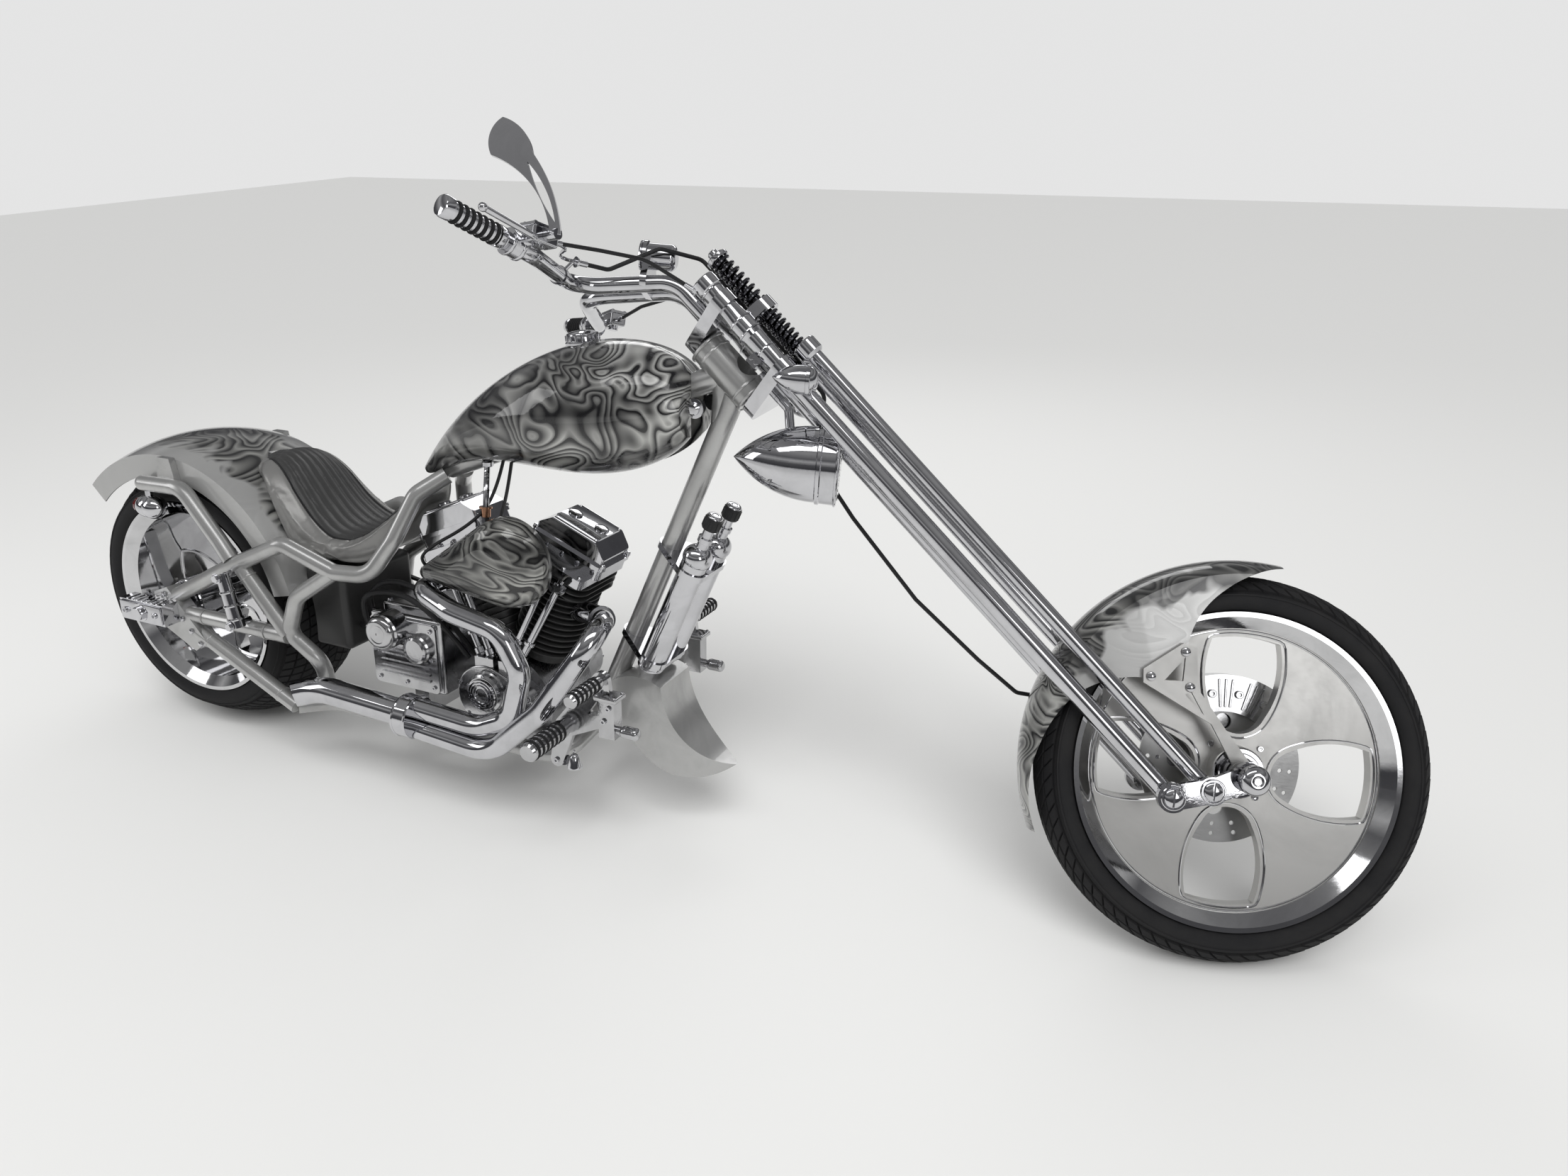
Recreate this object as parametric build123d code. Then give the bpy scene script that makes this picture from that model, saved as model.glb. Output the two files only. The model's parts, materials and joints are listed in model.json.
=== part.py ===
"""Custom chopper motorcycle: raked springer front end, air-cooled V-twin, wide rear wheel.

The model is drawn upright and straight in millimetres: X forwards, Y to the rider's left, Z up,
with the rear axle above the origin. Every solid is then steered where it belongs to the front
end, leaned onto the side stand and moved so that the floor is Z = 0.
"""
import os
from math import acos, atan2, cos, degrees, pi, radians, sin, sqrt, tan

from build123d import *

# Stance: how the parked machine stands
LEAN_DEG = 4.85
STEER_DEG = 27.7
RAKE_DEG = 48.0
WHEELBASE = 2365.0
AXLE_OFFSET = 188.0

# Clearances between pieces
SEAT_GAP = 0.3
RUNNING_FIT = 0.05

# Rear wheel and tyre
REAR_TYRE_R = 333.0
REAR_TYRE_CROWN_R = 190.0
REAR_TYRE_HALF_WIDTH = 140.0
REAR_SHOULDER_Y = 122.0
REAR_RIM_LIP_R = REAR_TYRE_R - 94.0
REAR_RIM_HALF_WIDTH = 133.0
REAR_PLATE_Y = 30.0
REAR_PLATE_HALF = 17.0
REAR_HUB_R = 52.0
REAR_HUB_HALF = 148.0
REAR_AXLE_R = 12.5
REAR_OPENING = (74.0, REAR_RIM_LIP_R - 37.0, 34.0, 50.0, 46.0)

# Belt drive on the left
BELT_Y = 157.5
BELT_HALF = 5.0
BELT_T = 7.0
BELT_GAP = 1.0
PULLEY_R = 98.0
FLANGE_RISE = 6.0
PULLEY_FLANGE = 4.0
PULLEY_HOLES = ((68.0, 10, 7.0),)  # ring radius, count, radius
FRONT_PULLEY_R = 34.0
GEAR_SHAFT = (604.0, 296.0)

# Front wheel and tyre
FRONT_TYRE_R = 350.0
FRONT_TYRE_CROWN_R = 62.0
FRONT_TYRE_HALF_WIDTH = 61.0
FRONT_SHOULDER_Y = 50.0
FRONT_RIM_LIP_R = FRONT_TYRE_R - 65.0
FRONT_RIM_HALF_WIDTH = 50.0
FRONT_PLATE_Y = -14.0
FRONT_PLATE_HALF = 13.0
FRONT_HUB_R = 46.0
FRONT_HUB_HALF = 60.0
FRONT_AXLE_R = 12.5
FRONT_OPENING = (66.0, FRONT_RIM_LIP_R - 45.0, 44.0, 66.0, 60.0)
FRONT_FENDER_HALF = 69.0

# Front brake, on the left of the hub
DISC_Y = 52.0
DISC_R = 146.0
DISC_T = 5.0
DISC_HOLES = ((80.0, 8, 15.0), (112.0, 20, 4.0), (130.0, 20, 4.0))  # ring radius, count, radius
CALIPER_GAP = 5.0
CALIPER_START = 56.0
CALIPER_ARC = 54.0

# Springer fork, measured from the steering axis
LEG_Y = 88.0
REAR_LEG_OFFSET = 68.0
FRONT_LEG_OFFSET = 126.0
REAR_LEG_R = 17.0
FRONT_LEG_R = 14.5
SLEEVE_R = 25.0
SLEEVE_CLAMP_RUN = 172.0
LEG_SLEEVE = ((0, 0), (24, 0), (25, 2), (25, 22), (23, 24), (20.5, 62, 24.5, 104), (24.5, 130),
              (22, 138), (18, 224), (0, 224))
LEG_CUP = ((0, 0), (20, 0), (22, 3), (22, 26), (17, 32), (0, 32))
AXLE_CAP = ((0, 0), (21, 0), (21, 12), (26, 14), (26, 24), (21, 33, 6, 36), (0, 36))
SPRING_Y = 50.0
SPRING_OFFSET = 118.0
SPRING_R = 20.0
SPRING_WIRE_R = 3.6
SPRING_TURNS = 7
ROCKER_Y = 114.0
ROCKER_HALF = 7.0
REAR_PIVOT_RISE = 61.0
FRONT_PIVOT_RISE = 25.0
HEAD_LOW = 1088.0
HEAD_HIGH = 1216.0
HEAD_R = 35.0
LEG_TOP = 1288.0
TREE_T = 26.0
TREE_GAP = 4.0
STEM_R = 16.0
YOKE_HEIGHT = 1062.0
YOKE_T = 20.0
YOKE_AHEAD = (104.0, 142.0)

# Headlamp and marker lamps, as turned outlines
HEADLIGHT_TIP = (-959.0, 0.0, 474.0)
HEADLIGHT_OUTLINE = ((0, 0), (57, 80, 71, 158), (74.5, 160), (74.5, 166), (72, 168), (73, 196),
                     (70, 200), (64, 200), (64, 192), (36, 198, 8, 200), (0, 200))
LAMP_HEIGHT = 1036.0
LAMP_OUTLINE = ((0, 0), (20, 26, 26, 60), (28, 61), (28, 67), (25, 68), (24, 70),
                (17, 78, 5, 81), (0, 81))

# Handlebar, from the table of the right side (x, distance from the middle, z)
BAR_R = 15.5
BAR_Y = 32.0
BAR_FOOT_AHEAD = 34.0
BAR_RISE = 89.5
BAR_ROUTE = [(1080, 36, 1102), (1062, 250, 1096)]
BAR_BENDS = [70, 60, 70]
GRIP_ROOT = (1028.0, 300.0, 1104.0)
GRIP_END = (959.0, 400.0, 1120.0)
GRIP_R = 19.0
CONTROL_BACK = 22.0
CONTROL_OFFSET = (44.0, 0.0, 16.0)
CONTROL_BLOCK = (52.0, 34.0, 28.0)
LID_OVER = 2.0
LID_T = 5.0
LEVER_GAP = 62.0
LEVER_R = 5.5
CLAMP_SPOT = (1204.0, 1126.0)
CLAMP_T = 12.0
GAUGE_RISE = 55.0
GAUGE_R = 25.0
GAUGE_OUTLINE = ((0, 0), (27, 0), (29, 2), (29, 9), (25, 11), (25, 54), (22, 60, 10, 64), (0, 64))
MIRROR_T = 9.0
MIRROR_REACH = 26.0

# Hose and cables
HOSE_R = 4.0
CABLE_R = 3.5
HOSE_TO_FORK = [(1098, -120, 1126), (1150, -70, 1130), (1235, -46, 1184)]
HOSE_IN_FORK = [(1345, 101, 0), (1000, 101, 0), (925, 10, 84)]
HOSE_TO_CALIPER = [(1640, 80, 735), (1776, 76, 592), (1905, 72, 491), (1985, 80, 436),
                   (2060, 112, 430), (2240, 112, 470), (2352, 80, 496)]
HOSE_BENDS = 20.0
CABLE_ROUTE = [(1094, 270, 1114), (1160, 190, 1130), (1229, 130, 1138), (1322, 92, 1098)]
CABLE_BENDS = 60.0

# Frame tubes
TUBE_R = 18.5
DOWN_TUBE_R = 22.0
BACKBONE_R = 24.0
GUSSET_R = 20.0
GUSSET_RUN = 95.0
CRADLE_Y = 128.0
TRUSS_Y = 190.0
AXLE_PLATE_HALF = 17.5
AXLE_PLATE = ((-30, 372), (14, 390), (120, 270), (80, 240), (-30, 296))
RIGHT_UPRIGHT = [(500, -168, 490), (395, -178, 420), (362, -TRUSS_Y + 8, 330),
                 (430, -TRUSS_Y + 28, 262), (412, -CRADLE_Y - 4, 160)]
LEFT_UPRIGHT = [(500, -168, 490), (395, -180, 420), (366, -TRUSS_Y, 330),
                (440, -TRUSS_Y, 246), (412, -CRADLE_Y - 4, 160)]  # outside the drive belt

# Rear fender
FENDER_CROWN_R = REAR_TYRE_R + 55.0
FENDER_HALF_WIDTH = 158.0
FENDER_EDGE_R = REAR_TYRE_R + 27.0
FENDER_LIP_R = REAR_TYRE_R - 25.0
FENDER_WALL = 3.0

# Seat sections: x, half width and height of the top, edge height, half width and height below
SEAT_TABLE = ((197, 66, 706, 676, 60, 640), (250, 105, 708, 672, 88, 600),
              (310, 128, 680, 630, 112, 530), (380, 138, 592, 568, 124, 500),
              (440, 140, 549, 541, 128, 498), (500, 134, 549, 542, 122, 498),
              (560, 118, 586, 574, 104, 512), (610, 92, 640, 622, 76, 560),
              (650, 60, 686, 670, 48, 620), (672, 34, 706, 695, 26, 660))
SEAT_BULGE = 6.0

# Engine
CRANK_X = 884.0
CRANK_Z = 226.0
V_HALF_DEG = 22.5
PUSHROD_R = 8.0
CYLINDER_R = 62.0
CYLINDER_LOW = 118.0
CYLINDER_HIGH = 346.0
FIN_R = 76.0
FIN_COUNT = 14
FIN_T = 3.0
HEAD_FINS = 3
HEAD_FIN_SIZE = (152.0, 164.0)
HEAD_FIN_CORNER = 34.0
HEAD_FIN_RUN = 40.0
CASE_R = 112.0
CASE_HALF = 78.0
CAM_T = 44.0
CAM_TOWER = 112.0
CAM_COVER = ((0, 0), (46, 0), (46, 7), (43, 10), (43, 20), (38, 24), (38, 26), (15, 30), (15, 27),
             (0, 27))
BOX_HALF_WIDTH = 60.0
BOX_HALF_LENGTH = 92.0
BOX_HEIGHT = 100.0
BOX_SIDE_HEIGHT = 78.0
BASE_HALF_LENGTH = 72.0
BASE_HALF_WIDTH = 88.0
BASE_HEIGHT = 20.0
FLANGE_HEIGHT = 46.0
FLANGE_T = 9.0
EGG_STEPS = ((-118.0, 0.93), (-127.0, 0.99), (-140.0, 1.0), (-154.0, 0.98), (-168.0, 0.92),
             (-180.0, 0.82), (-189.0, 0.66), (-194.0, 0.44))
DOOR_RIBS = 8
CLUTCH_CAP = ((0, 0), (34, 0), (34, 8), (31, 12), (31, 18), (26, 21), (26, 18), (0, 18))
STARTER = ((0, 0), (42, 0), (42, 42), (39, 46), (36, 54, 20, 58), (0, 60))
PRIMARY_LOW_Y = 170.0
PRIMARY_HIGH_Y = 212.0
DERBY_COVER = ((0, 0), (74, 0), (74, 5), (70, 9), (0, 11))
STATOR_COVER = ((0, 0), (42, 0), (42, 5), (38, 9), (0, 11))
PIPE_R = 23.0
PIPE_Y = 205.0
TAIL_R = 30.0

# Bottles ahead of the down tube
BOTTLE_R = 27.0
BOTTLE_RUN = 200.0
BOTTLE_AHEAD = 74.0
BOTTLE_Y = 42.0
BOTTLE_OUTLINE = ((0, 0), (20, 0), (27, 2, 27, 9), (27, 270), (26, 296, 12, 306), (12, 318),
                  (15, 320), (15, 330), (11, 332), (11, 350), (17, 352), (17, 376), (15, 380, 5, 382),
                  (0, 382))

# Forward foot controls: links between round spots (x, z, radius), and the pegs
CONTROL_SPOTS = ((1080, 180, 15), (1104, 262, 23), (1193, 382, 18), (1204, 300, 15))
CONTROL_LINKS = ((0, 1), (1, 2), (1, 3), (2, 3))
SWITCH_OUTLINE = ((0, 0), (9, 0), (9, 16), (12, 20, 13, 28), (13, 44), (11, 53, 4, 56), (0, 56))
FOOT_PEGS = ((1104, 262, 17, 20, 138), (1193, 382, 12, 15, 118))

# Side stand
STAND_PIVOT = (760.0, 173.0, 150.0)
STAND_FOOT_X = 800.0
STAND_FOOT_Y = 300.0
STAND_LEG_R = 11.0
STAND_FOOT_R = 26.0
STAND_FOOT_T = 8.0


def unit_along_rake():
    """Directions of the steering axis (up) and of the offset square to it (forwards)."""
    rake = radians(RAKE_DEG)
    return Vector(-sin(rake), 0, cos(rake)), Vector(cos(rake), 0, sin(rake))


UP_AXIS, AHEAD = unit_along_rake()


def front_wheel_height():
    """Height of the straight front axle that puts the steered, leaned tyre on the floor."""
    lean, steer = radians(LEAN_DEG), radians(STEER_DEG)
    axis = Axis((0, 0, 0), UP_AXIS)
    ahead = AHEAD.rotate(axis, STEER_DEG)
    side = Vector(0, -1, 0).rotate(axis, STEER_DEG)
    side_z = -side.Y * sin(lean) + side.Z * cos(lean)
    ring = FRONT_TYRE_R - FRONT_TYRE_CROWN_R
    centre = ring * sqrt(1 - side_z ** 2) + FRONT_TYRE_CROWN_R
    shift = (ahead - AHEAD) * AXLE_OFFSET
    return (centre + shift.Y * sin(lean)) / cos(lean) - shift.Z


REAR_AXLE_Z = REAR_TYRE_R - REAR_TYRE_CROWN_R + REAR_TYRE_CROWN_R / cos(radians(LEAN_DEG))
REAR_AXLE = Vector(0, 0, REAR_AXLE_Z)
FRONT_AXLE = Vector(WHEELBASE, 0, front_wheel_height())
AXIS_FOOT = FRONT_AXLE - AHEAD * AXLE_OFFSET
STEER_AXIS = Axis(AXIS_FOOT, UP_AXIS)


def fork(up, ahead, y=0.0):
    """Point of the front end from its height along the steering axis and offset from it."""
    return AXIS_FOOT + UP_AXIS * up + AHEAD * ahead + Vector(0, y, 0)


SPINE_TOP = fork(HEAD_LOW + 62, 0)
SPINE_END = Vector(706, 0, 716)
DOWN_TOP = fork(HEAD_LOW + 34, -6)
DOWN_LOW = Vector(1072, 0, 206)


def rod(start, end, radius):
    """Straight round bar between two points."""
    start, end = Vector(start), Vector(end)
    along = end - start
    return Solid.make_cylinder(radius, along.length, Plane(origin=start, z_dir=along))


def cross_rod(x, y_from, y_to, z, radius):
    """Round bar across the machine."""
    return rod((x, y_from, z), (x, y_to, z), radius)


def taper(start, end, radius_start, radius_end):
    """Cone between two points."""
    start, end = Vector(start), Vector(end)
    along = end - start
    plane = Plane(origin=start, z_dir=along)
    return Solid.make_cone(radius_start, radius_end, along.length, plane)


def bent(points, radius, bend):
    """Round bar along straight runs joined by tangent arcs."""
    path = FilletPolyline(*[Vector(p) for p in points], radius=bend)
    section = Plane(origin=path @ 0, z_dir=path % 0) * Circle(radius)
    return sweep(section, path=path)


def turned(outline):
    """Solid of revolution about the axle line from (radius, side) points."""
    face = make_face(Polyline(*outline, close=True))
    return revolve(face, axis=Axis.Y)


def plate(outline, y_low, y_high):
    """Flat plate with a closed (x, z) outline, between two sides."""
    face = make_face(Polyline(*[(x, z) for x, z in outline], close=True))
    solid = extrude(face, y_high - y_low)
    return Pos(0, y_high, 0) * Rot(90, 0, 0) * solid


def mirrored(shape):
    """The same piece on the machine's other side."""
    return mirror(shape, about=Plane.XZ)


def both(shape):
    """A piece and its mirror image, as solids that don't touch."""
    return [shape, mirrored(shape)]


def largest(shape):
    """The biggest solid of a cut piece."""
    return max(shape.solids(), key=lambda solid: solid.volume)


def slab(x, y, z):
    """Block from three (low, high) pairs."""
    size = [pair[1] - pair[0] for pair in (x, y, z)]
    centre = [(pair[1] + pair[0]) / 2 for pair in (x, y, z)]
    return Pos(*centre) * Box(*size)


def sided(point, side):
    """A right-side table point, put on one side: side is -1 for right and 1 for left."""
    return Vector(point[0], side * point[1], point[2])


def spun(start, along, outline):
    """Turned solid on a line. Outline rows are (radius, run), or an arc to its end as
    (radius through, run through, radius, run)."""
    here = outline[0]
    edges = []
    for row in outline[1:]:
        first, last = (here[0], 0, here[1]), (row[-2], 0, row[-1])
        if len(row) == 4:
            edges.append(ThreePointArc(first, (row[0], 0, row[1]), last))
        else:
            edges.append(Line(first, last))
        here = row[-2:]
    edges.append(Line((here[0], 0, here[1]), (outline[0][0], 0, outline[0][1])))
    return Plane(origin=Vector(*start), z_dir=Vector(*along)) * revolve(make_face(edges),
                                                                       axis=Axis.Z)


def link(first, second, y_low, y_high):
    """Flat bar with round ends between two (x, z, radius) spots."""
    edges = []
    for x, z, radius in (first, second):
        edges += (Pos(x, z) * Circle(radius)).edges()
    return Pos(0, y_high, 0) * Rot(90, 0, 0) * extrude(make_hull(edges), y_high - y_low)


def rounded_box(x, y, z, radius):
    """Block from three (low, high) pairs with all its edges rounded."""
    block = slab(x, y, z)
    return fillet(block.edges(), radius)


def hole_rings(rings, y_low, y_high):
    """Pins that cut rings of round holes about the axle line."""
    pins = []
    for ring_r, count, radius in rings:
        for turn in range(count):
            angle = 2 * pi * turn / count
            pins.append(cross_rod(ring_r * cos(angle), y_low, y_high, ring_r * sin(angle), radius))
    return pins


def rim(lip_r, half_width, plate_y, plate_half, hub_r, hub_half, axle_r, opening):
    """Dished one-piece rim with a plate that has four curved openings, axle along Y."""
    lip = 7.0
    seat_r = lip_r - 18.0
    barrel_r = lip_r - 30.0
    ring = turned([
        (lip_r, half_width), (lip_r, half_width - lip), (seat_r, half_width - lip - 2),
        (seat_r, -half_width + lip + 2), (lip_r, -half_width + lip), (lip_r, -half_width),
        (lip_r - 9, -half_width), (barrel_r, -half_width + 20),
        (barrel_r, half_width - 20), (lip_r - 9, half_width)])
    low, high = plate_y - plate_half, plate_y + plate_half
    web = turned([(axle_r + RUNNING_FIT, low), (barrel_r + 2, low),
                  (barrel_r + 2, high), (axle_r + RUNNING_FIT, high)])
    hub = turned([(axle_r + RUNNING_FIT, -hub_half), (hub_r - 4, -hub_half), (hub_r, -hub_half + 3),
                  (hub_r, hub_half - 3), (hub_r - 4, hub_half), (axle_r + RUNNING_FIT, hub_half)])
    solid = ring + web + hub
    for turn in range(4):
        hole = Pos(0, high + 5, 0) * Rot(90, 0, 0) * extrude(opening, 2 * plate_half + 10)
        solid -= Rot(0, 90.0 * turn, 0) * hole
    return solid


def wheel_opening(inner_r, outer_r, inner_half, middle_half, outer_half):
    """One opening between two broad spokes: round towards the hub, curved flanks."""
    flank_r = inner_r + 30.0
    side_x = sqrt(outer_r ** 2 - outer_half ** 2)
    mid_x = (flank_r + side_x) / 2
    lower = ThreePointArc((flank_r, -inner_half), (mid_x, -middle_half), (side_x, -outer_half))
    outer = ThreePointArc((side_x, -outer_half), (outer_r, 0), (side_x, outer_half))
    upper = ThreePointArc((side_x, outer_half), (mid_x, middle_half), (flank_r, inner_half))
    inner = ThreePointArc((flank_r, inner_half), (inner_r, 0), (flank_r, -inner_half))
    return make_face([lower, outer, upper, inner])


def tyre(outer_r, crown_r, half_width, shoulder_y, lip_r, rim_half):
    """Tyre as one closed ring: crown arc, bulged walls and beads inside the rim's lips."""
    bead_y = rim_half - 7.0 - 2.0 - SEAT_GAP
    seat_r = lip_r - 18.0 + SEAT_GAP
    shoulder_r = outer_r - crown_r + sqrt(crown_r ** 2 - shoulder_y ** 2)
    wall_r = (shoulder_r + lip_r) / 2 + 2
    wall_y = half_width
    edge_r = lip_r + 3.0
    edge_y = rim_half - 2.0
    crown = ThreePointArc((shoulder_r, -shoulder_y), (outer_r, 0), (shoulder_r, shoulder_y))
    left = ThreePointArc((shoulder_r, shoulder_y), (wall_r, wall_y), (edge_r, edge_y))
    foot = Polyline((edge_r, edge_y), (lip_r + 1.0, bead_y), (seat_r, bead_y),
                    (seat_r, -bead_y), (lip_r + 1.0, -bead_y), (edge_r, -edge_y))
    right = ThreePointArc((edge_r, -edge_y), (wall_r, -wall_y), (shoulder_r, -shoulder_y))
    return revolve(make_face([crown, left, foot, right]), axis=Axis.Y)


def make_front_wheel():
    """Front rim, tyre and brake disc about the front axle."""
    place = Pos(*FRONT_AXLE)
    opening = wheel_opening(*FRONT_OPENING)
    wheel = rim(FRONT_RIM_LIP_R, FRONT_RIM_HALF_WIDTH, FRONT_PLATE_Y, FRONT_PLATE_HALF,
                FRONT_HUB_R, FRONT_HUB_HALF, FRONT_AXLE_R, opening)
    rubber = tyre(FRONT_TYRE_R, FRONT_TYRE_CROWN_R, FRONT_TYRE_HALF_WIDTH, FRONT_SHOULDER_Y,
                  FRONT_RIM_LIP_R, FRONT_RIM_HALF_WIDTH)
    inner_r = FRONT_HUB_R + SEAT_GAP
    disc = turned([(inner_r, DISC_Y), (DISC_R, DISC_Y), (DISC_R, DISC_Y + DISC_T),
                   (inner_r, DISC_Y + DISC_T)])
    disc -= hole_rings(DISC_HOLES, DISC_Y - DISC_T, DISC_Y + 2 * DISC_T)
    return {"front_rim": place * wheel, "front_tyre": place * rubber,
            "front_brake_disc": place * disc}


def make_rear_wheel():
    """Wide rear rim, tyre and the belt pulley on its left side."""
    place = Pos(*REAR_AXLE)
    wheel = rim(REAR_RIM_LIP_R, REAR_RIM_HALF_WIDTH, REAR_PLATE_Y, REAR_PLATE_HALF,
                REAR_HUB_R, REAR_HUB_HALF, REAR_AXLE_R, wheel_opening(*REAR_OPENING))
    rubber = tyre(REAR_TYRE_R, REAR_TYRE_CROWN_R, REAR_TYRE_HALF_WIDTH, REAR_SHOULDER_Y,
                  REAR_RIM_LIP_R, REAR_RIM_HALF_WIDTH)
    low, high = BELT_Y - BELT_HALF, BELT_Y + BELT_HALF
    bore, flange_r, flange = REAR_AXLE_R + RUNNING_FIT, PULLEY_R + FLANGE_RISE, PULLEY_FLANGE
    pulley = turned([
        (bore, low - flange), (flange_r, low - flange), (flange_r, low - 1), (PULLEY_R, low - 1),
        (PULLEY_R, high + 1), (flange_r, high + 1), (flange_r, high + flange),
        (PULLEY_R - 22, high + flange), (PULLEY_R - 26, BELT_Y + 3), (REAR_HUB_R + 8, BELT_Y + 3),
        (REAR_HUB_R, high + flange), (bore, high + flange)])
    pulley -= hole_rings(PULLEY_HOLES, low - 2 * flange, high + 2 * flange)
    return {"rear_rim": place * wheel, "rear_tyre": place * rubber,
            "rear_pulley": place * pulley}


def rocker_plate():
    """Curved rocker that joins the rear leg, the front leg and the axle on one side."""
    rear = FRONT_AXLE + UP_AXIS * REAR_PIVOT_RISE - AHEAD * (AXLE_OFFSET - REAR_LEG_OFFSET)
    middle = FRONT_AXLE + UP_AXIS * FRONT_PIVOT_RISE - AHEAD * (AXLE_OFFSET - FRONT_LEG_OFFSET)
    spots = [(rear, 26.0), (middle, 25.0), (FRONT_AXLE, 27.0)]
    body = None
    for centre, radius in spots:
        disc = cross_rod(centre.X, ROCKER_Y - ROCKER_HALF, ROCKER_Y + ROCKER_HALF,
                         centre.Z, radius)
        body = disc if body is None else body + disc
    for (first, r_first), (second, r_second) in zip(spots, spots[1:]):
        along = (second - first).normalized()
        across = Vector(-along.Z, 0, along.X)
        ends = [(first, r_first - 4), (second, r_second - 4)]
        corners = [(p + across * r) for p, r in ends] + [(p - across * r) for p, r in ends[::-1]]
        body += plate([(c.X, c.Z) for c in corners], ROCKER_Y - ROCKER_HALF, ROCKER_Y + ROCKER_HALF)
    return body, rear, middle


def make_fork():
    """Springer fork: rear legs with trees, front legs with yoke, springs, rockers and axle."""
    rocker, rear, middle = rocker_plate()
    pin_y = ROCKER_Y - ROCKER_HALF
    top = fork(LEG_TOP, REAR_LEG_OFFSET, -LEG_Y)
    rear_leg = rod((rear.X, -LEG_Y, rear.Z), top, REAR_LEG_R)
    rear_leg += spun(top, -UP_AXIS, LEG_SLEEVE)
    rear_leg += cross_rod(rear.X, -pin_y + SEAT_GAP, -LEG_Y + REAR_LEG_R - 4, rear.Z, 20.0)
    clamp_at = fork(LEG_TOP - SLEEVE_CLAMP_RUN, REAR_LEG_OFFSET - SLEEVE_R - 4, -LEG_Y)
    rear_leg += Plane(origin=clamp_at, x_dir=AHEAD, z_dir=UP_AXIS) * Box(20, 24, 22)
    rear_frame = rear_leg + mirrored(rear_leg)
    for low in (HEAD_HIGH + TREE_GAP, HEAD_LOW - TREE_GAP - TREE_T):
        rear_frame += tree(low, low + TREE_T)
    rear_frame += rod(fork(HEAD_LOW - TREE_T, 0), fork(HEAD_HIGH + TREE_T, 0), STEM_R)
    front_leg = rod((middle.X, -LEG_Y, middle.Z), fork(YOKE_HEIGHT, FRONT_LEG_OFFSET, -LEG_Y),
                    FRONT_LEG_R)
    front_leg += spun(fork(YOKE_HEIGHT + YOKE_T, FRONT_LEG_OFFSET, -LEG_Y), -UP_AXIS, LEG_CUP)
    front_leg += cross_rod(middle.X, -pin_y + SEAT_GAP, -LEG_Y + FRONT_LEG_R - 4, middle.Z, 18.0)
    front_legs = front_leg + mirrored(front_leg)
    front_legs += fork_block((YOKE_HEIGHT + 2, YOKE_HEIGHT + YOKE_T), YOKE_AHEAD, LEG_Y)
    springs, perch = make_springs()
    hose_room = hose(HOSE_R + SEAT_GAP)
    rocker_pair = both(mirrored(rocker))
    axle = cross_rod(FRONT_AXLE.X, -pin_y, pin_y, FRONT_AXLE.Z, FRONT_AXLE_R)
    cap = spun(FRONT_AXLE - Vector(0, ROCKER_Y + ROCKER_HALF, 0), (0, -1, 0), AXLE_CAP)
    return {"fork_rear_legs": [rear_frame - hose_room, largest(perch - hose_room)],
            "fork_front_legs": largest(front_legs - hose_room), "fork_springs": springs,
            "fork_rockers": rocker_pair, "front_axle": [axle] + both(cap)}


def hose(radius):
    """Front brake hose: from the right grip's block, down between the springs, out under the
    legs on the left and past the fender to the caliper."""
    points = [Vector(*point) for point in HOSE_TO_FORK]
    points += [fork(*point) for point in HOSE_IN_FORK]
    points += [Vector(*point) for point in HOSE_TO_CALIPER]
    return bent(points, radius, HOSE_BENDS)


def fork_block(up, ahead, half_y):
    """Block in the fork's own directions, symmetric across the machine."""
    plane = Plane(origin=fork((up[0] + up[1]) / 2, (ahead[0] + ahead[1]) / 2),
                  x_dir=AHEAD, z_dir=UP_AXIS)
    return plane * Box(ahead[1] - ahead[0], 2 * half_y, up[1] - up[0])


def tree(low, high):
    """Fork tree: a waisted plate from the stem to both rear legs."""
    plane = Plane(origin=fork(low, 0), x_dir=AHEAD, z_dir=UP_AXIS)
    outline = make_hull([
        *(Pos(0, 0) * Circle(30)).edges(),
        *(Pos(REAR_LEG_OFFSET, LEG_Y) * Circle(26)).edges(),
        *(Pos(REAR_LEG_OFFSET, -LEG_Y) * Circle(26)).edges()])
    return plane * extrude(outline, high - low)


def coil_stack(length):
    """Spring of one length along Y, as rounds on a core, standing for its turns."""
    pitch = length / SPRING_TURNS
    waist = SPRING_R - SPRING_WIRE_R
    lines = [Line((0, 0), (waist, 0))]
    for turn in range(SPRING_TURNS):
        low = turn * pitch
        lines.append(ThreePointArc((waist, low), (SPRING_R, low + pitch / 2), (waist, low + pitch)))
    lines += [Line((waist, length), (0, length)), Line((0, length), (0, 0))]
    return revolve(make_face(lines), axis=Axis.Y)


def make_springs():
    """Upper and lower coil springs on each side, and the perch between them."""
    coils = []
    seats = [(YOKE_HEIGHT + YOKE_T, 1172.0), (1198.0, 1306.0)]
    for side in (-1, 1):
        for low, high in seats:
            base = fork(low + SEAT_GAP, SPRING_OFFSET, side * SPRING_Y)
            plane = Plane(origin=base, x_dir=AHEAD, z_dir=UP_AXIS)
            coils.append(plane * Rot(90, 0, 0) * coil_stack(high - low - 2 * SEAT_GAP))
    perch = fork_block((1174, 1196), (REAR_LEG_OFFSET + SLEEVE_R - 6, SPRING_OFFSET), LEG_Y)
    for side in (-1, 1):
        perch += rod(fork(1172.5, SPRING_OFFSET, side * SPRING_Y),
                     fork(1197.5, SPRING_OFFSET, side * SPRING_Y), 26.0)
    for side in (-1, 1):
        perch -= rod(fork(1150, REAR_LEG_OFFSET, side * LEG_Y),
                     fork(1230, REAR_LEG_OFFSET, side * LEG_Y), SLEEVE_R + SEAT_GAP)
    return coils, perch


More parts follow.
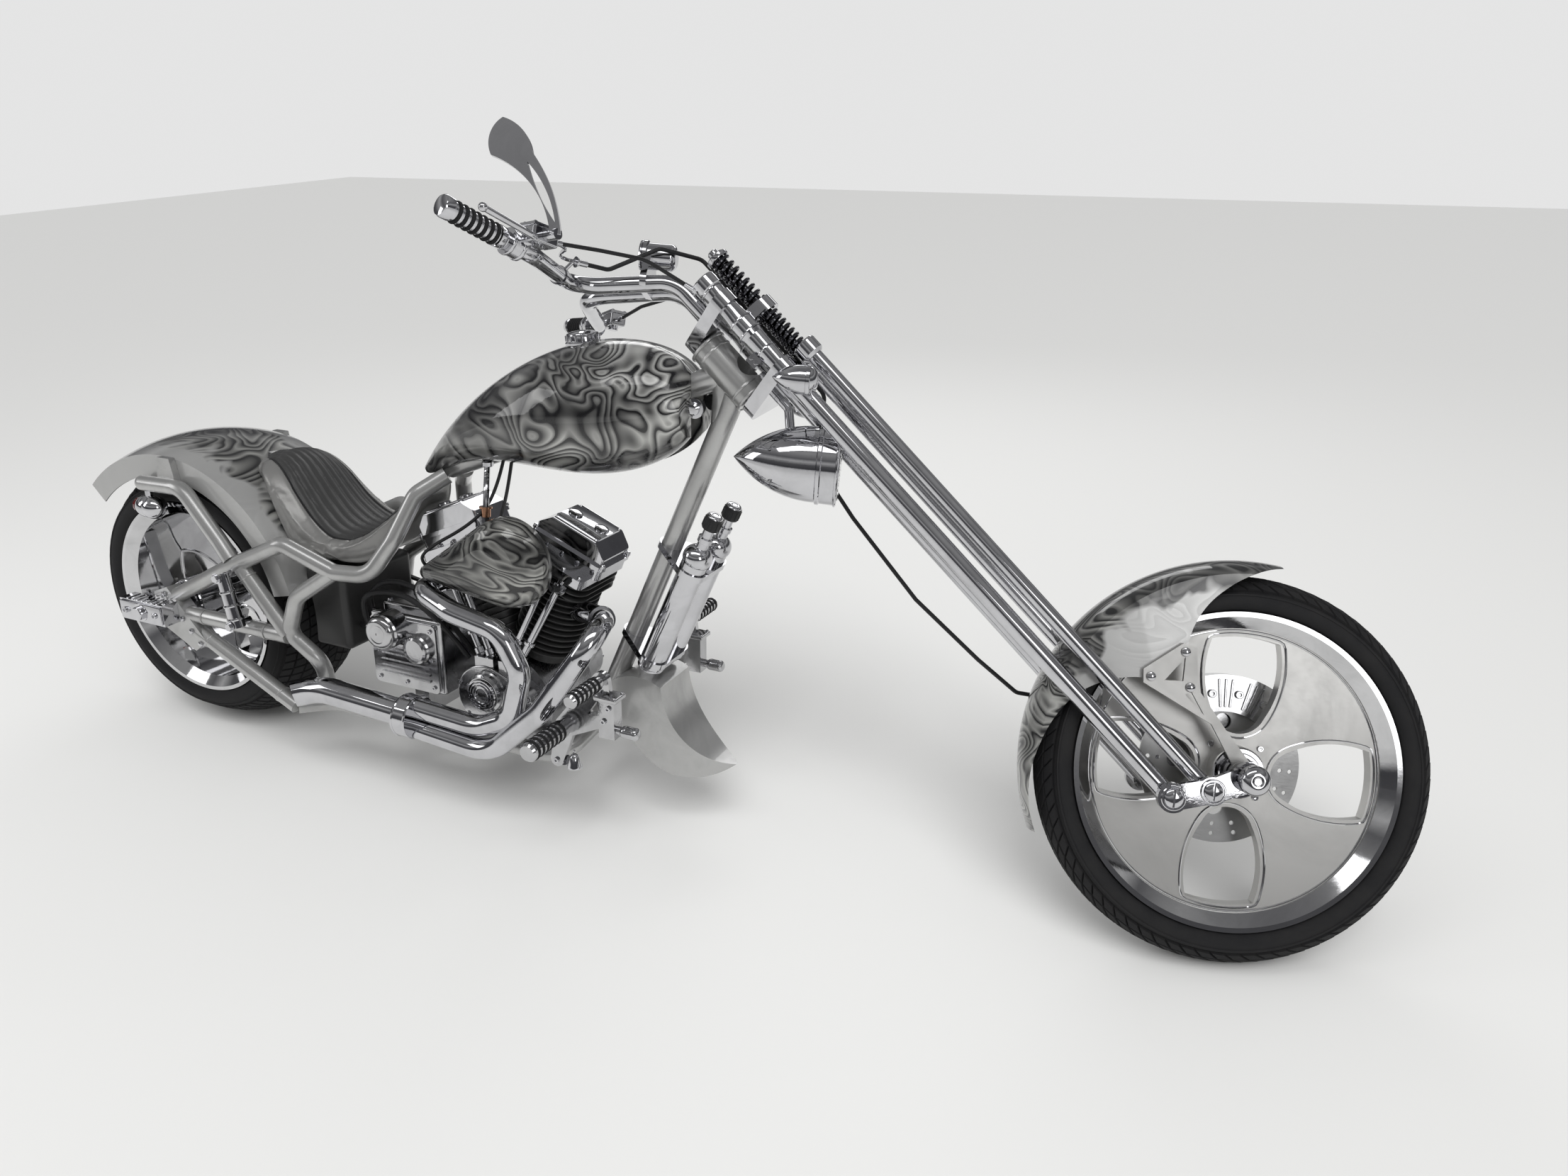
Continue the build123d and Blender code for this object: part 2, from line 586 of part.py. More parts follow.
def make_calipers():
    """Front brake caliper over the disc on the left, with its arm round the axle."""
    inner_low, inner_high = DISC_Y - CALIPER_GAP - 17, DISC_Y - CALIPER_GAP
    outer_low, outer_high = DISC_Y + DISC_T + CALIPER_GAP, DISC_Y + DISC_T + CALIPER_GAP + 9
    low_r, top_r, bridge_r = DISC_R - 46, DISC_R + 22, DISC_R + 6
    section = make_face(Polyline(
        (low_r, inner_low), (top_r, inner_low), (top_r, outer_high), (low_r, outer_high),
        (low_r, outer_low), (bridge_r, outer_low), (bridge_r, inner_high), (low_r, inner_high),
        close=True))
    body = Rot(0, -CALIPER_START, 0) * revolve(section, axis=Axis.Y, revolution_arc=-CALIPER_ARC)
    middle = radians(CALIPER_START + CALIPER_ARC / 2)
    spot = (low_r + 14) * cos(middle), (low_r + 14) * sin(middle)
    body += link((0, 0, 24), (spot[0], spot[1], 20), outer_low, outer_high - 1)
    body -= cross_rod(0, 0, 90, 0, FRONT_AXLE_R + SEAT_GAP)
    return {"front_caliper": Pos(*FRONT_AXLE) * body}


def make_front_fender():
    """Pointed front fender: a crowned shell with side skirts, cut to its flowing outline."""
    outer_r, wall, half = 378.0, 3.0, FRONT_FENDER_HALF
    crown = ThreePointArc((352, -half), (outer_r, 0), (352, half))
    outer = [crown, Line((352, half), (235, half)), Line((235, half), (235, half - wall)),
             Line((235, half - wall), (352, half - wall)),
             ThreePointArc((352, half - wall), (outer_r - wall, 0), (352, -half + wall)),
             Line((352, -half + wall), (235, -half + wall)),
             Line((235, -half + wall), (235, -half)), Line((235, -half), (352, -half))]
    shell = Rot(0, -80, 0) * revolve(make_face(outer), axis=Axis.Y, revolution_arc=-125)
    keep = make_face([
        ThreePointArc((48, 382), (-95, 385), (-215, 325)),
        ThreePointArc((-215, 325), (-385, 60), (-352, -150)),
        Line((-352, -150), (-338, -150)),
        ThreePointArc((-338, -150), (-352, 10), (-300, 105)),
        ThreePointArc((-300, 105), (-240, 140), (-186, 150)),
        Line((-186, 150), (-112, 178)),
        ThreePointArc((-112, 178), (-106, 250), (-60, 318)),
        ThreePointArc((-60, 318), (-10, 352), (48, 368)),
        Line((48, 368), (48, 382))])
    cutter = Pos(0, 120, 0) * Rot(90, 0, 0) * extrude(keep, 240)
    return {"front_fender": Pos(*FRONT_AXLE) * (shell & cutter)}


def make_fender_brackets():
    """Arm on each side from the front axle to the fender's skirt, with cut-outs."""
    outline = [(-18, 14), (-62, 82), (-186, 142), (-188, 166), (-124, 218), (-100, 212),
               (-92, 142), (-34, 72), (18, 14)]
    x, z = FRONT_AXLE.X, FRONT_AXLE.Z
    arm = plate([(x + dx, z + dz) for dx, dz in outline], -80, -73)
    arm += cross_rod(x, -82, -70, z, 23.0)
    for corners in ([(-150, 150), (-118, 152), (-118, 194)], [(-112, 128), (-76, 96), (-104, 138)]):
        arm -= plate([(x + dx, z + dz) for dx, dz in corners], -84, -70)
    for dx, dz in ((-166, 158), (-119, 205)):
        arm += cross_rod(x + dx, -80, -FRONT_FENDER_HALF - SEAT_GAP, z + dz, 8.0)
    arm -= cross_rod(x, -90, -60, z, FRONT_AXLE_R + SEAT_GAP)
    return {"front_fender_brackets": both(arm)}


def make_cables():
    """Front brake hose, and the control cable from each grip to the top of its leg."""
    cables = []
    for side in (-1, 1):
        points = [sided(point, side) for point in CABLE_ROUTE]
        cable = bent(points, CABLE_R, CABLE_BENDS)
        sleeve = rod(fork(LEG_TOP - 80, REAR_LEG_OFFSET, side * LEG_Y),
                     fork(LEG_TOP + 20, REAR_LEG_OFFSET, side * LEG_Y), SLEEVE_R + SEAT_GAP)
        cables.append(largest(cable - sleeve - control_block(side, SEAT_GAP)))
    line = largest(hose(HOSE_R) - control_block(-1, SEAT_GAP))
    return {"control_cables": cables, "brake_hose": line}


def make_headlight():
    """Bullet headlamp behind the legs, with its bracket, and two small bullet lamps."""
    tip = FRONT_AXLE + Vector(*HEADLIGHT_TIP)
    shell = spun(tip, (1, 0, 0), HEADLIGHT_OUTLINE)
    start = fork(HEAD_LOW - TREE_GAP - TREE_T - SEAT_GAP, 34)
    arm = bent([start, fork(HEAD_LOW - 62, 34), tip + Vector(104, 0, 40)], 9.0, 20)
    lamps = []
    reach = REAR_LEG_R + 30
    for side in (-1, 1):
        centre = fork(LAMP_HEIGHT, REAR_LEG_OFFSET, side * (LEG_Y + reach))
        lamp = spun(centre - Vector(40, 0, 0), (1, 0, 0), LAMP_OUTLINE)
        lamps.append(lamp + rod(centre, centre - Vector(0, side * (30 - SEAT_GAP), 0), 7.0))
    return {"headlight": shell + arm, "front_marker_lamps": lamps}


def bar_line(side, radius):
    """One half of the handlebar, from the upper tree to the root of its grip."""
    base = fork(HEAD_HIGH + TREE_GAP + TREE_T + SEAT_GAP, BAR_FOOT_AHEAD, side * BAR_Y)
    points = [base, base + UP_AXIS * BAR_RISE]
    points += [sided(point, side) for point in BAR_ROUTE + [GRIP_ROOT]]
    return bent(points, radius, BAR_BENDS)


def grip_line(side):
    """Root of one grip and the direction and length that it has from there."""
    root = sided(GRIP_ROOT, side)
    along = sided(GRIP_END, side) - root
    return root, along.normalized(), along.length


def grip(side):
    """Round grip with a rounded end."""
    root, along, length = grip_line(side)
    return spun(root, along, [
        (0, SEAT_GAP), (GRIP_R - 1, SEAT_GAP), (GRIP_R, SEAT_GAP + 1), (GRIP_R, length - 6),
        (GRIP_R - 1, length - 2, GRIP_R - 6, length), (0, length)])


def control_block(side, gap=0.0):
    """Fluid block on its perch beside one grip, grown by a gap."""
    root, along, _ = grip_line(side)
    centre = root - along * CONTROL_BACK + Vector(*CONTROL_OFFSET)
    flat = Vector(along.X, along.Y, 0)
    place = Plane(origin=centre, x_dir=flat, z_dir=(0, 0, 1))
    length, width, height = [size + 2 * gap for size in CONTROL_BLOCK]
    block = fillet(Box(length, width, height).edges(), 4.0)
    lid = Pos(0, 0, height / 2) * Box(length + 2 * LID_OVER, width + 2 * LID_OVER, LID_T)
    return place * (block + lid)


def make_handlebar():
    """Pull-back bars from the upper tree, with grips, controls, mirror and gauge."""
    bars = [bar_line(side, BAR_R) for side in (-1, 1)]
    rooms = [bar_line(side, BAR_R + SEAT_GAP) for side in (-1, 1)]
    controls = []
    for side, room in zip((-1, 1), rooms):
        root, along, length = grip_line(side)
        middle = root - along * CONTROL_BACK
        centre = middle + Vector(*CONTROL_OFFSET)
        body = rod(middle - along * 13, middle + along * 13, BAR_R + 7) + control_block(side)
        body += rod(middle + (centre - middle) * 0.3, centre, 11.0)
        pivot = root - along * 16 + Vector(LEVER_GAP - 16, 0, 4)
        body += rod(pivot - Vector(0, 0, 9), pivot + Vector(0, 0, 9), 10.0)
        tip = root + along * (length - 8) + Vector(LEVER_GAP, 0, 4)
        body += bent([pivot, root + along * 10 + Vector(LEVER_GAP, 0, 4), tip], LEVER_R, 30)
        body += Pos(*tip) * Sphere(LEVER_R + 2)
        controls.append(body - room)
    return {"handlebar": bars, "grips": [grip(side) for side in (-1, 1)],
            "bar_controls": controls, "gauge_clamp": bar_clamp(rooms), "mirror": make_mirror()}


def bar_clamp(rooms):
    """Plate clamp across both bars with the round gauge above it."""
    x, z = CLAMP_SPOT
    edges = []
    for y, rise, radius in ((-BAR_Y, 0.0, BAR_R + 5), (BAR_Y, 0.0, BAR_R + 5),
                            (0.0, GAUGE_RISE, GAUGE_R - 6)):
        edges += (Pos(y, z + rise) * Circle(radius)).edges()
    body = Plane(origin=(x, 0, 0), x_dir=(0, 1, 0), z_dir=(1, 0, 0)) * extrude(make_hull(edges),
                                                                              CLAMP_T)
    for room in rooms:
        body -= room
    return body + spun((x - 8, 0, z + GAUGE_RISE), (1, 0, 0), GAUGE_OUTLINE)


def make_mirror():
    """Blade mirror on the right control: head and split stem in one upright plate."""
    root, along, _ = grip_line(-1)
    flat = Vector(along.X, along.Y, 0).normalized()
    out = Vector(-flat.Y, flat.X, 0)
    face = (root - along * CONTROL_BACK + Vector(*CONTROL_OFFSET)
            + out * (CONTROL_BLOCK[1] / 2 + LID_OVER))
    boss = rod(face - out * (LID_OVER - SEAT_GAP), face + out * MIRROR_REACH, 9.0)
    foot = face + out * (MIRROR_REACH - 6)
    blade = make_face([
        ThreePointArc((-119, 118), (-125, 150), (-106, 181)),
        ThreePointArc((-106, 181), (-70, 162), (-51, 128)),
        ThreePointArc((-51, 128), (-14, 72), (9, 0)),
        Line((9, 0), (-9, 0)),
        ThreePointArc((-9, 0), (-48, 76), (-119, 118))])
    slit = make_face([
        ThreePointArc((-58, 112), (-22, 68), (-2, 18)),
        ThreePointArc((-2, 18), (-34, 62), (-58, 112))])
    thick = MIRROR_T / 2
    plate_solid = Rot(90, 0, 0) * (extrude(blade, MIRROR_T) - extrude(slit, MIRROR_T))
    return Pos(foot.X, foot.Y + thick, foot.Z) * plate_solid + boss


def cradle_rail(radius, reach=0.0):
    """Right lower rail, from the foot of the down tube to the rear truss."""
    foot = Vector(366, -TRUSS_Y + 2, 150)
    beyond = (foot - Vector(420, -CRADLE_Y, 146)).normalized() * reach
    return bent([(1066, -SEAT_GAP / 2, 186), (1052, -CRADLE_Y, 150), (420, -CRADLE_Y, 146),
                 foot + beyond], radius, [60, 60])


def middle_tube(radius):
    """Level tube of the right truss, from the axle plate to its front junction."""
    return rod((60, -TRUSS_Y, 326), (362, -TRUSS_Y + 6, 322), radius)


def truss_diagonal(radius):
    """Short slanted tube of the right truss."""
    return rod((252, -TRUSS_Y, 470), (362, -TRUSS_Y + 6, 326), radius)


def seat_rail(radius, reach=0.0):
    """Right upper tube: from the backbone round the seat and over the truss to the axle."""
    top = Vector(720, -30, 706)
    beyond = (top - Vector(672, -78, 668)).normalized() * reach
    return bent([top + beyond, (672, -78, 668), (636, -122, 570), (586, -150, 492),
                 (505, -168, 492), (385, -TRUSS_Y, 546), (215, -TRUSS_Y, 467),
                 (18, -TRUSS_Y, 362)], radius, [40, 60, 60, 40, 30, 200])


def room_of(tube):
    """A right-side tube and its mirror image, a seat gap larger all round."""
    return both(tube(TUBE_R + SEAT_GAP, SEAT_GAP))


def backbone(radius, reach=0.0):
    """Straight backbone tube under the fuel tank."""
    return rod(SPINE_TOP, SPINE_END + (SPINE_END - SPINE_TOP).normalized() * reach, radius)


def make_frame():
    """Frame: head tube and backbone, down tube, cradle rails, seat rails and rear truss."""
    neck = rod(fork(HEAD_LOW, 0), fork(HEAD_HIGH, 0), HEAD_R)
    neck += backbone(BACKBONE_R)
    along = (DOWN_LOW - DOWN_TOP).normalized()
    neck += rod(fork(HEAD_LOW + 62, -22), DOWN_TOP + along * GUSSET_RUN, GUSSET_R)
    down_room = rod(DOWN_TOP - along * 60, DOWN_LOW, DOWN_TUBE_R + SEAT_GAP)
    head_room = rod(fork(HEAD_LOW - 60, 0), fork(HEAD_HIGH + 60, 0), HEAD_R + SEAT_GAP)
    down_tube = rod(DOWN_TOP, DOWN_LOW, DOWN_TUBE_R) - head_room
    down_tube = largest(down_tube - backbone(BACKBONE_R + SEAT_GAP))
    neck -= rod(fork(HEAD_LOW - 5, 0), fork(HEAD_HIGH + 5, 0), STEM_R + RUNNING_FIT)
    neck = largest(neck - down_room)
    rails = [piece - down_room for piece in both(cradle_rail(TUBE_R))]
    lower = rod((366, -TRUSS_Y, 150), (70, -TRUSS_Y, 290), TUBE_R)
    plain = seat_rail(TUBE_R) + lower + middle_tube(TUBE_R) + truss_diagonal(TUBE_R)
    plain += plate(AXLE_PLATE, -TRUSS_Y - AXLE_PLATE_HALF, -TRUSS_Y + AXLE_PLATE_HALF)
    keep = slab((-200, 900), (-400, -SEAT_GAP / 2), (0, 900))
    sides = []
    for route, bends in ((RIGHT_UPRIGHT, [60, 40, 60]), (LEFT_UPRIGHT, [60, 40, 24])):
        truss = plain + bent(route, TUBE_R, bends)
        truss -= cradle_rail(TUBE_R + SEAT_GAP, SEAT_GAP)
        truss -= backbone(BACKBONE_R + SEAT_GAP, SEAT_GAP)
        sides.append(largest(truss & keep))
    return {"frame_neck": neck, "frame_down_tube": down_tube, "cradle_rails": rails,
            "frame_right_truss": sides[0], "frame_left_truss": mirrored(sides[1])}


def make_rear_details():
    """Axle with its square blocks, dampers, fender and its struts and marker lamps."""
    inner = TRUSS_Y - AXLE_PLATE_HALF - SEAT_GAP
    outer = TRUSS_Y + AXLE_PLATE_HALF + SEAT_GAP
    axle = cross_rod(0, -inner, inner, REAR_AXLE_Z, REAR_AXLE_R)
    block = slab((-98, 42), (-outer - 40, -outer), (REAR_AXLE_Z - 26, REAR_AXLE_Z + 26))
    damper_y = -outer - 19
    damper = taper((256, damper_y, 340), (230, damper_y, 462), 17.0, 14.0)
    for x, z in ((252, 346), (232, 458)):
        damper += cross_rod(x, damper_y, -TRUSS_Y, z, 8.0)
    for tube in (seat_rail(TUBE_R + SEAT_GAP), middle_tube(TUBE_R + SEAT_GAP),
                 truss_diagonal(TUBE_R + SEAT_GAP)):
        damper -= tube
    strut = bent([(-40, -178, 628), (86, -180, 632), (190, -TRUSS_Y + 4, 520),
                  (222, -TRUSS_Y, 484)], TUBE_R, [60, 50])
    strut += plate([(0, 628), (62, 628), (50, 694), (12, 694)], -174,
                   -FENDER_HALF_WIDTH - SEAT_GAP)
    strut -= seat_rail(TUBE_R + SEAT_GAP)
    lamp = make_face([
        Line((0, 0), (58, 0)), ThreePointArc((58, 0), (44, 22), (16, 26)),
        ThreePointArc((16, 26), (-14, 20), (-30, 0)), Line((-30, 0), (0, 0))])
    strut += Pos(-40, -178, 628) * Sphere(TUBE_R)
    marker = Pos(-52, -172, 570) * revolve(lamp, axis=Axis.X)
    marker += rod((-38, -171, 580), (-38, -171, 628 - TUBE_R - SEAT_GAP), 8.0)
    return {"rear_axle": [axle] + both(block), "rear_dampers": both(damper),
            "fender_struts": both(strut), "rear_marker_lamps": both(marker)}


def fender_profile(inset, low_r):
    """Filled (radius, side) face under the rear fender's outside, shrunk by an inset."""
    half = FENDER_HALF_WIDTH - inset
    crown_r = FENDER_CROWN_R - inset
    edge_r = FENDER_EDGE_R
    return make_face([
        ThreePointArc((edge_r, -half), (crown_r, 0), (edge_r, half)),
        Line((edge_r, half), (low_r, half)), Line((low_r, half), (low_r, -half)),
        Line((low_r, -half), (edge_r, -half))])


def fender_room():
    """Space that the fender and tyre fill, with the seat gap round it."""
    face = fender_profile(-SEAT_GAP, REAR_RIM_LIP_R)
    return Pos(*REAR_AXLE) * revolve(face, axis=Axis.Y)


def make_rear_fender():
    """Wide rear fender shell round the tyre."""
    outer = revolve(fender_profile(0, FENDER_LIP_R), axis=Axis.Y, revolution_arc=-122)
    inner = revolve(fender_profile(FENDER_WALL, FENDER_LIP_R - 1), axis=Axis.Y)
    return {"rear_fender": Pos(*REAR_AXLE) * Rot(0, -12, 0) * (outer - inner)}


def seat_section(x, top_half, top, edge, low_half, low):
    """One section of the seat: dished top, bulged flanks and a flat underside."""
    left, right = (x, top_half, edge), (x, -top_half, edge)
    middle = (edge + low) / 2
    bulge = (top_half + low_half) / 2 + SEAT_BULGE
    return make_face([
        ThreePointArc(right, (x, 0, top), left),
        ThreePointArc(left, (x, bulge, middle), (x, low_half, low)),
        Line((x, low_half, low), (x, -low_half, low)),
        ThreePointArc((x, -low_half, low), (x, -bulge, middle), right)])


def seat_solid():
    """Solo seat: a swooping saddle on the fender and the seat rails."""
    body = loft([seat_section(*row) for row in SEAT_TABLE])
    body -= fender_room()
    for rail in room_of(seat_rail):
        body -= rail
    return largest(body)


def tank_section(x, half, top, middle, bottom):
    """One section of the tank as four arcs: rounded shoulders over a fuller belly."""
    k = sin(radians(45))
    belly = 0.82
    a = (x, 0, top)
    b = (x, half, middle)
    c = (x, 0, bottom)
    d = (x, -half, middle)
    ab = (x, half * k, middle + (top - middle) * k)
    bc = (x, half * belly, middle - (middle - bottom) * 0.72)
    cd = (x, -half * belly, middle - (middle - bottom) * 0.72)
    da = (x, -half * k, middle + (top - middle) * k)
    arcs = [ThreePointArc(a, ab, b), ThreePointArc(b, bc, c), ThreePointArc(c, cd, d),
            ThreePointArc(d, da, a)]
    return make_face(arcs)


def make_tank():
    """Peaked fuel tank over the backbone, with its cap."""
    table = [  # x, half width, top, middle, bottom
        (636, 12, 706, 692, 680),
        (725, 58, 806, 760, 726),
        (850, 104, 910, 832, 760),
        (1000, 134, 992, 868, 762),
        (1130, 140, 1022, 880, 768),
        (1240, 118, 1012, 896, 800),
        (1312, 74, 962, 902, 856)]
    body = loft([tank_section(*row) for row in table])
    start, end = SPINE_TOP, SPINE_END
    tunnel_r = BACKBONE_R + SEAT_GAP
    tunnel = rod(start, end + (end - start) * 0.2, tunnel_r)
    rise = plate([(start.X, start.Z), (start.X - 10, start.Z - 400), (600, 400),
                  (560, end.Z - 64)], -tunnel_r, tunnel_r)
    body = body - tunnel - rise
    body -= rod(fork(HEAD_LOW - 120, 0), fork(HEAD_HIGH + 100, 0), HEAD_R + 24)
    for rail in room_of(seat_rail):
        body -= rail
    cap = rod((1060, 0, 1005), (1057, 0, 1036), 36.0)
    cap -= body
    return {"fuel_tank": body, "fuel_cap": cap}


def cylinder_axis(side):
    """Direction of one cylinder: side 1 is the front one, -1 the rear one."""
    angle = radians(V_HALF_DEG) * side
    return Vector(sin(angle), 0, cos(angle))


def rocker_box(side, gap):
    """Rocker box on one cylinder with a raised lid, grown by a gap all round."""
    along = cylinder_axis(side)
    across = Vector(along.Z, 0, -along.X)
    foot = Vector(CRANK_X, 0, CRANK_Z) + along * (CYLINDER_HIGH + SEAT_GAP - gap)
    half, wall, top = BOX_HALF_LENGTH + gap, BOX_SIDE_HEIGHT + 2 * gap, BOX_HEIGHT + 2 * gap
    outline = [(half, 0), (half, wall), (half * 0.72, top), (-half * 0.72, top), (-half, wall),
               (-half, 0)]
    corners = [foot + across * run + along * rise for run, rise in outline]
    box = plate([(c.X, c.Z) for c in corners], -BOX_HALF_WIDTH - gap, BOX_HALF_WIDTH + gap)
    base_half, base_top = BASE_HALF_LENGTH + gap, BASE_HEIGHT + 2 * gap
    outline = [(base_half, 0), (base_half, base_top), (-base_half, base_top), (-base_half, 0)]
    corners = [foot + across * run + along * rise for run, rise in outline]
    return box + plate([(c.X, c.Z) for c in corners], -BASE_HALF_WIDTH - gap,
                       BASE_HALF_WIDTH + gap)


def rocker_plane(side):
    """Plane at the foot of one rocker box: x along the machine, z up the cylinder."""
    along = cylinder_axis(side)
    foot = Vector(CRANK_X, 0, CRANK_Z) + along * (CYLINDER_HIGH + SEAT_GAP)
    return Plane(origin=foot, x_dir=Vector(along.Z, 0, -along.X), z_dir=along)


def rocker_cover(side):
    """Rocker box on one cylinder: base, body, bolted flange and a lid with sloped ends."""
    def layer(half_length, half_width, low, high, corner):
        block = Pos(0, 0, (low + high) / 2) * Box(2 * half_length, 2 * half_width, high - low)
        return fillet(block.edges().filter_by(Axis.Z), corner)

    base = layer(BASE_HALF_LENGTH, BASE_HALF_WIDTH, 0, BASE_HEIGHT, 12.0)
    body = layer(BOX_HALF_LENGTH - 5, BOX_HALF_WIDTH - 5, BASE_HEIGHT, FLANGE_HEIGHT, 12.0)
    flange = layer(BOX_HALF_LENGTH, BOX_HALF_WIDTH, FLANGE_HEIGHT, FLANGE_HEIGHT + FLANGE_T, 16.0)
    run, wide, low = BOX_HALF_LENGTH - 8, BOX_HALF_WIDTH - 8, FLANGE_HEIGHT + FLANGE_T
    lid = make_face(Polyline((-run, low), (-run, BOX_SIDE_HEIGHT - 8), (-run * 0.62, BOX_HEIGHT),
                             (run * 0.62, BOX_HEIGHT), (run, BOX_SIDE_HEIGHT - 8), (run, low),
                             close=True))
    lid = Pos(0, wide, 0) * Rot(90, 0, 0) * extrude(lid, 2 * wide)
    lid = fillet(lid.edges().filter_by(Axis.Z) + lid.edges().group_by(Axis.Z)[-1], 6.0)
    return rocker_plane(side) * (base + body + flange + lid)


def make_engine():
    """Air-cooled V-twin: cases, finned cylinders, rocker boxes, cam cover and pushrods."""
    crank = Vector(CRANK_X, 0, CRANK_Z)
    cases = cross_rod(CRANK_X, -CASE_HALF, CASE_HALF, CRANK_Z, CASE_R)
    cases += slab((CRANK_X - 110, CRANK_X + 74), (-CASE_HALF, CASE_HALF),
                  (CRANK_Z - CASE_R, CRANK_Z + 20))
    cases += slab((CRANK_X - 96, CRANK_X - 60), (-146, 146), (132, 164))
    cases += cross_rod(CRANK_X, CASE_HALF, PRIMARY_LOW_Y - SEAT_GAP, CRANK_Z, 66.0)
    for rail in room_of(cradle_rail):
        cases -= rail
    cam = link((CRANK_X - 30, CRANK_Z + 18, 76), (CRANK_X + 46, CRANK_Z + 20, 46),
               -CASE_HALF - CAM_T, -CASE_HALF - SEAT_GAP)
    cam = fillet(cam.faces().sort_by(Axis.Y)[0].edges(), 5.0)
    cover_at = (CRANK_X - 18, -CASE_HALF - CAM_T + 1, CRANK_Z + 40)
    cylinders, rods = [], []
    deck_room = slab((CRANK_X - 90, CRANK_X + 90), (-130, -70),
                     (CRANK_Z, CRANK_Z + CAM_TOWER + SEAT_GAP))
    for side in (1, -1):
        along = cylinder_axis(side)
        across = Vector(along.Z, 0, -along.X)
        low, high = crank + along * CYLINDER_LOW, crank + along * CYLINDER_HIGH
        barrel = rod(low, high, CYLINDER_R)
        step = (CYLINDER_HIGH - CYLINDER_LOW - 34) / (FIN_COUNT - 1)
        for fin in range(FIN_COUNT):
            spot = low + along * (26 + fin * step)
            if fin < FIN_COUNT - HEAD_FINS:
                barrel += rod(spot, spot + along * FIN_T, FIN_R)
            else:
                place = Plane(origin=spot, x_dir=across, z_dir=along)
                blade = extrude(RectangleRounded(*HEAD_FIN_SIZE, HEAD_FIN_CORNER), FIN_T)
                barrel += place * blade
        other = slab((CRANK_X - side * 200 - 200, CRANK_X - side * 200 + 200), (-100, 100),
                     (CRANK_Z, CRANK_Z + 400))
        barrel -= Pos(side * 0.5, 0, 0) * other
        box_room = rocker_box(side, SEAT_GAP)
        for offset in (0, 1):
            foot = crank + Vector(side * (18 + 26 * offset), -100, 100)
            head = crank + along * (CYLINDER_HIGH + 8) + across * side * (34 * offset - 8)
            head += Vector(0, -77, 0)
            barrel -= rod(foot, head, PUSHROD_R + SEAT_GAP)
            rods.append(rod(foot, head, PUSHROD_R) - box_room - deck_room)
        cylinders.append(largest(barrel))
    for side in (-1, 1):
        cam += slab((CRANK_X + side * 31 - 24, CRANK_X + side * 31 + 24), (-118, -84),
                    (CRANK_Z + 50, CRANK_Z + CAM_TOWER))
    cam += spun(cover_at, (0, -1, 0), CAM_COVER)
    cases = largest(cases - cylinders[0] - cylinders[1])
    return {"engine_cases": cases, "cam_chest": cam, "cylinders": cylinders,
            "rocker_boxes": [rocker_cover(1), rocker_cover(-1)], "pushrod_tubes": rods}


def make_cylinder_room():
    """Plain rounds a seat gap larger than the finned cylinders, front and rear."""
    crank = Vector(CRANK_X, 0, CRANK_Z)
    length, width = [size + 2 * SEAT_GAP for size in HEAD_FIN_SIZE]
    rooms = []
    for side in (1, -1):
        along = cylinder_axis(side)
        top = crank + along * CYLINDER_HIGH
        place = Plane(origin=top, x_dir=Vector(along.Z, 0, -along.X), z_dir=along)
        head = extrude(RectangleRounded(length, width, HEAD_FIN_CORNER), -HEAD_FIN_RUN)
        rooms.append(rod(crank, top, FIN_R + SEAT_GAP) + place * head)
    return rooms


def make_drive():
    """Gearbox with starter, primary drive and belt on the left, and the oil tank."""
    x, z = GEAR_SHAFT
    gearbox = rounded_box((520, 722), (-96, 104), (206, 388), 9.0)
    gearbox += rounded_box((540, 704), (-72, 80), (380, 402), 5.0)
    corners = [(542, 226), (700, 226), (700, 366), (542, 366)]
    edges = []
    for corner_x, corner_z in corners:
        edges += (Pos(corner_x, corner_z) * Circle(12)).edges()
    gearbox += Pos(0, -95, 0) * Rot(90, 0, 0) * extrude(make_hull(edges), 9)
    for rib in range(DOOR_RIBS):
        rib_z = 240 + rib * 15.0
        gearbox += slab((552, 690), (-108, -95), (rib_z, rib_z + 5))
    gearbox += spun((664, -103, 318), (0, -1, 0), CLUTCH_CAP)
    gearbox += spun((592, -94, 356), (0, -1, 0), STARTER)
    gearbox += slab((600, 640), (-60, 60), (150, 208)) + slab((600, 640), (-146, 146), (132, 166))
    gearbox += cross_rod(x, 100, BELT_Y - BELT_HALF - 4, z, 40.0)
    for rail in room_of(cradle_rail):
        gearbox -= rail
    gearbox += cross_rod(x, BELT_Y - BELT_HALF - 5, PRIMARY_LOW_Y - SEAT_GAP, z, FRONT_PULLEY_R)
    primary = link((CRANK_X, CRANK_Z + 6, 62), (x, z, 108), PRIMARY_LOW_Y, PRIMARY_HIGH_Y)
    primary = fillet(primary.faces().sort_by(Axis.Y)[-1].edges(), 12.0)
    primary += spun((x, PRIMARY_HIGH_Y - 1, z), (0, 1, 0), DERBY_COVER)
    primary += spun((CRANK_X, PRIMARY_HIGH_Y - 1, CRANK_Z + 6), (0, 1, 0), STATOR_COVER)
    oil = rounded_box((352, 470), (-112, 112), (276, 462), 16.0) - fender_room()
    return {"gearbox": largest(gearbox), "primary_cover": primary, "oil_tank": largest(oil),
            "drive_belt": make_belt()}


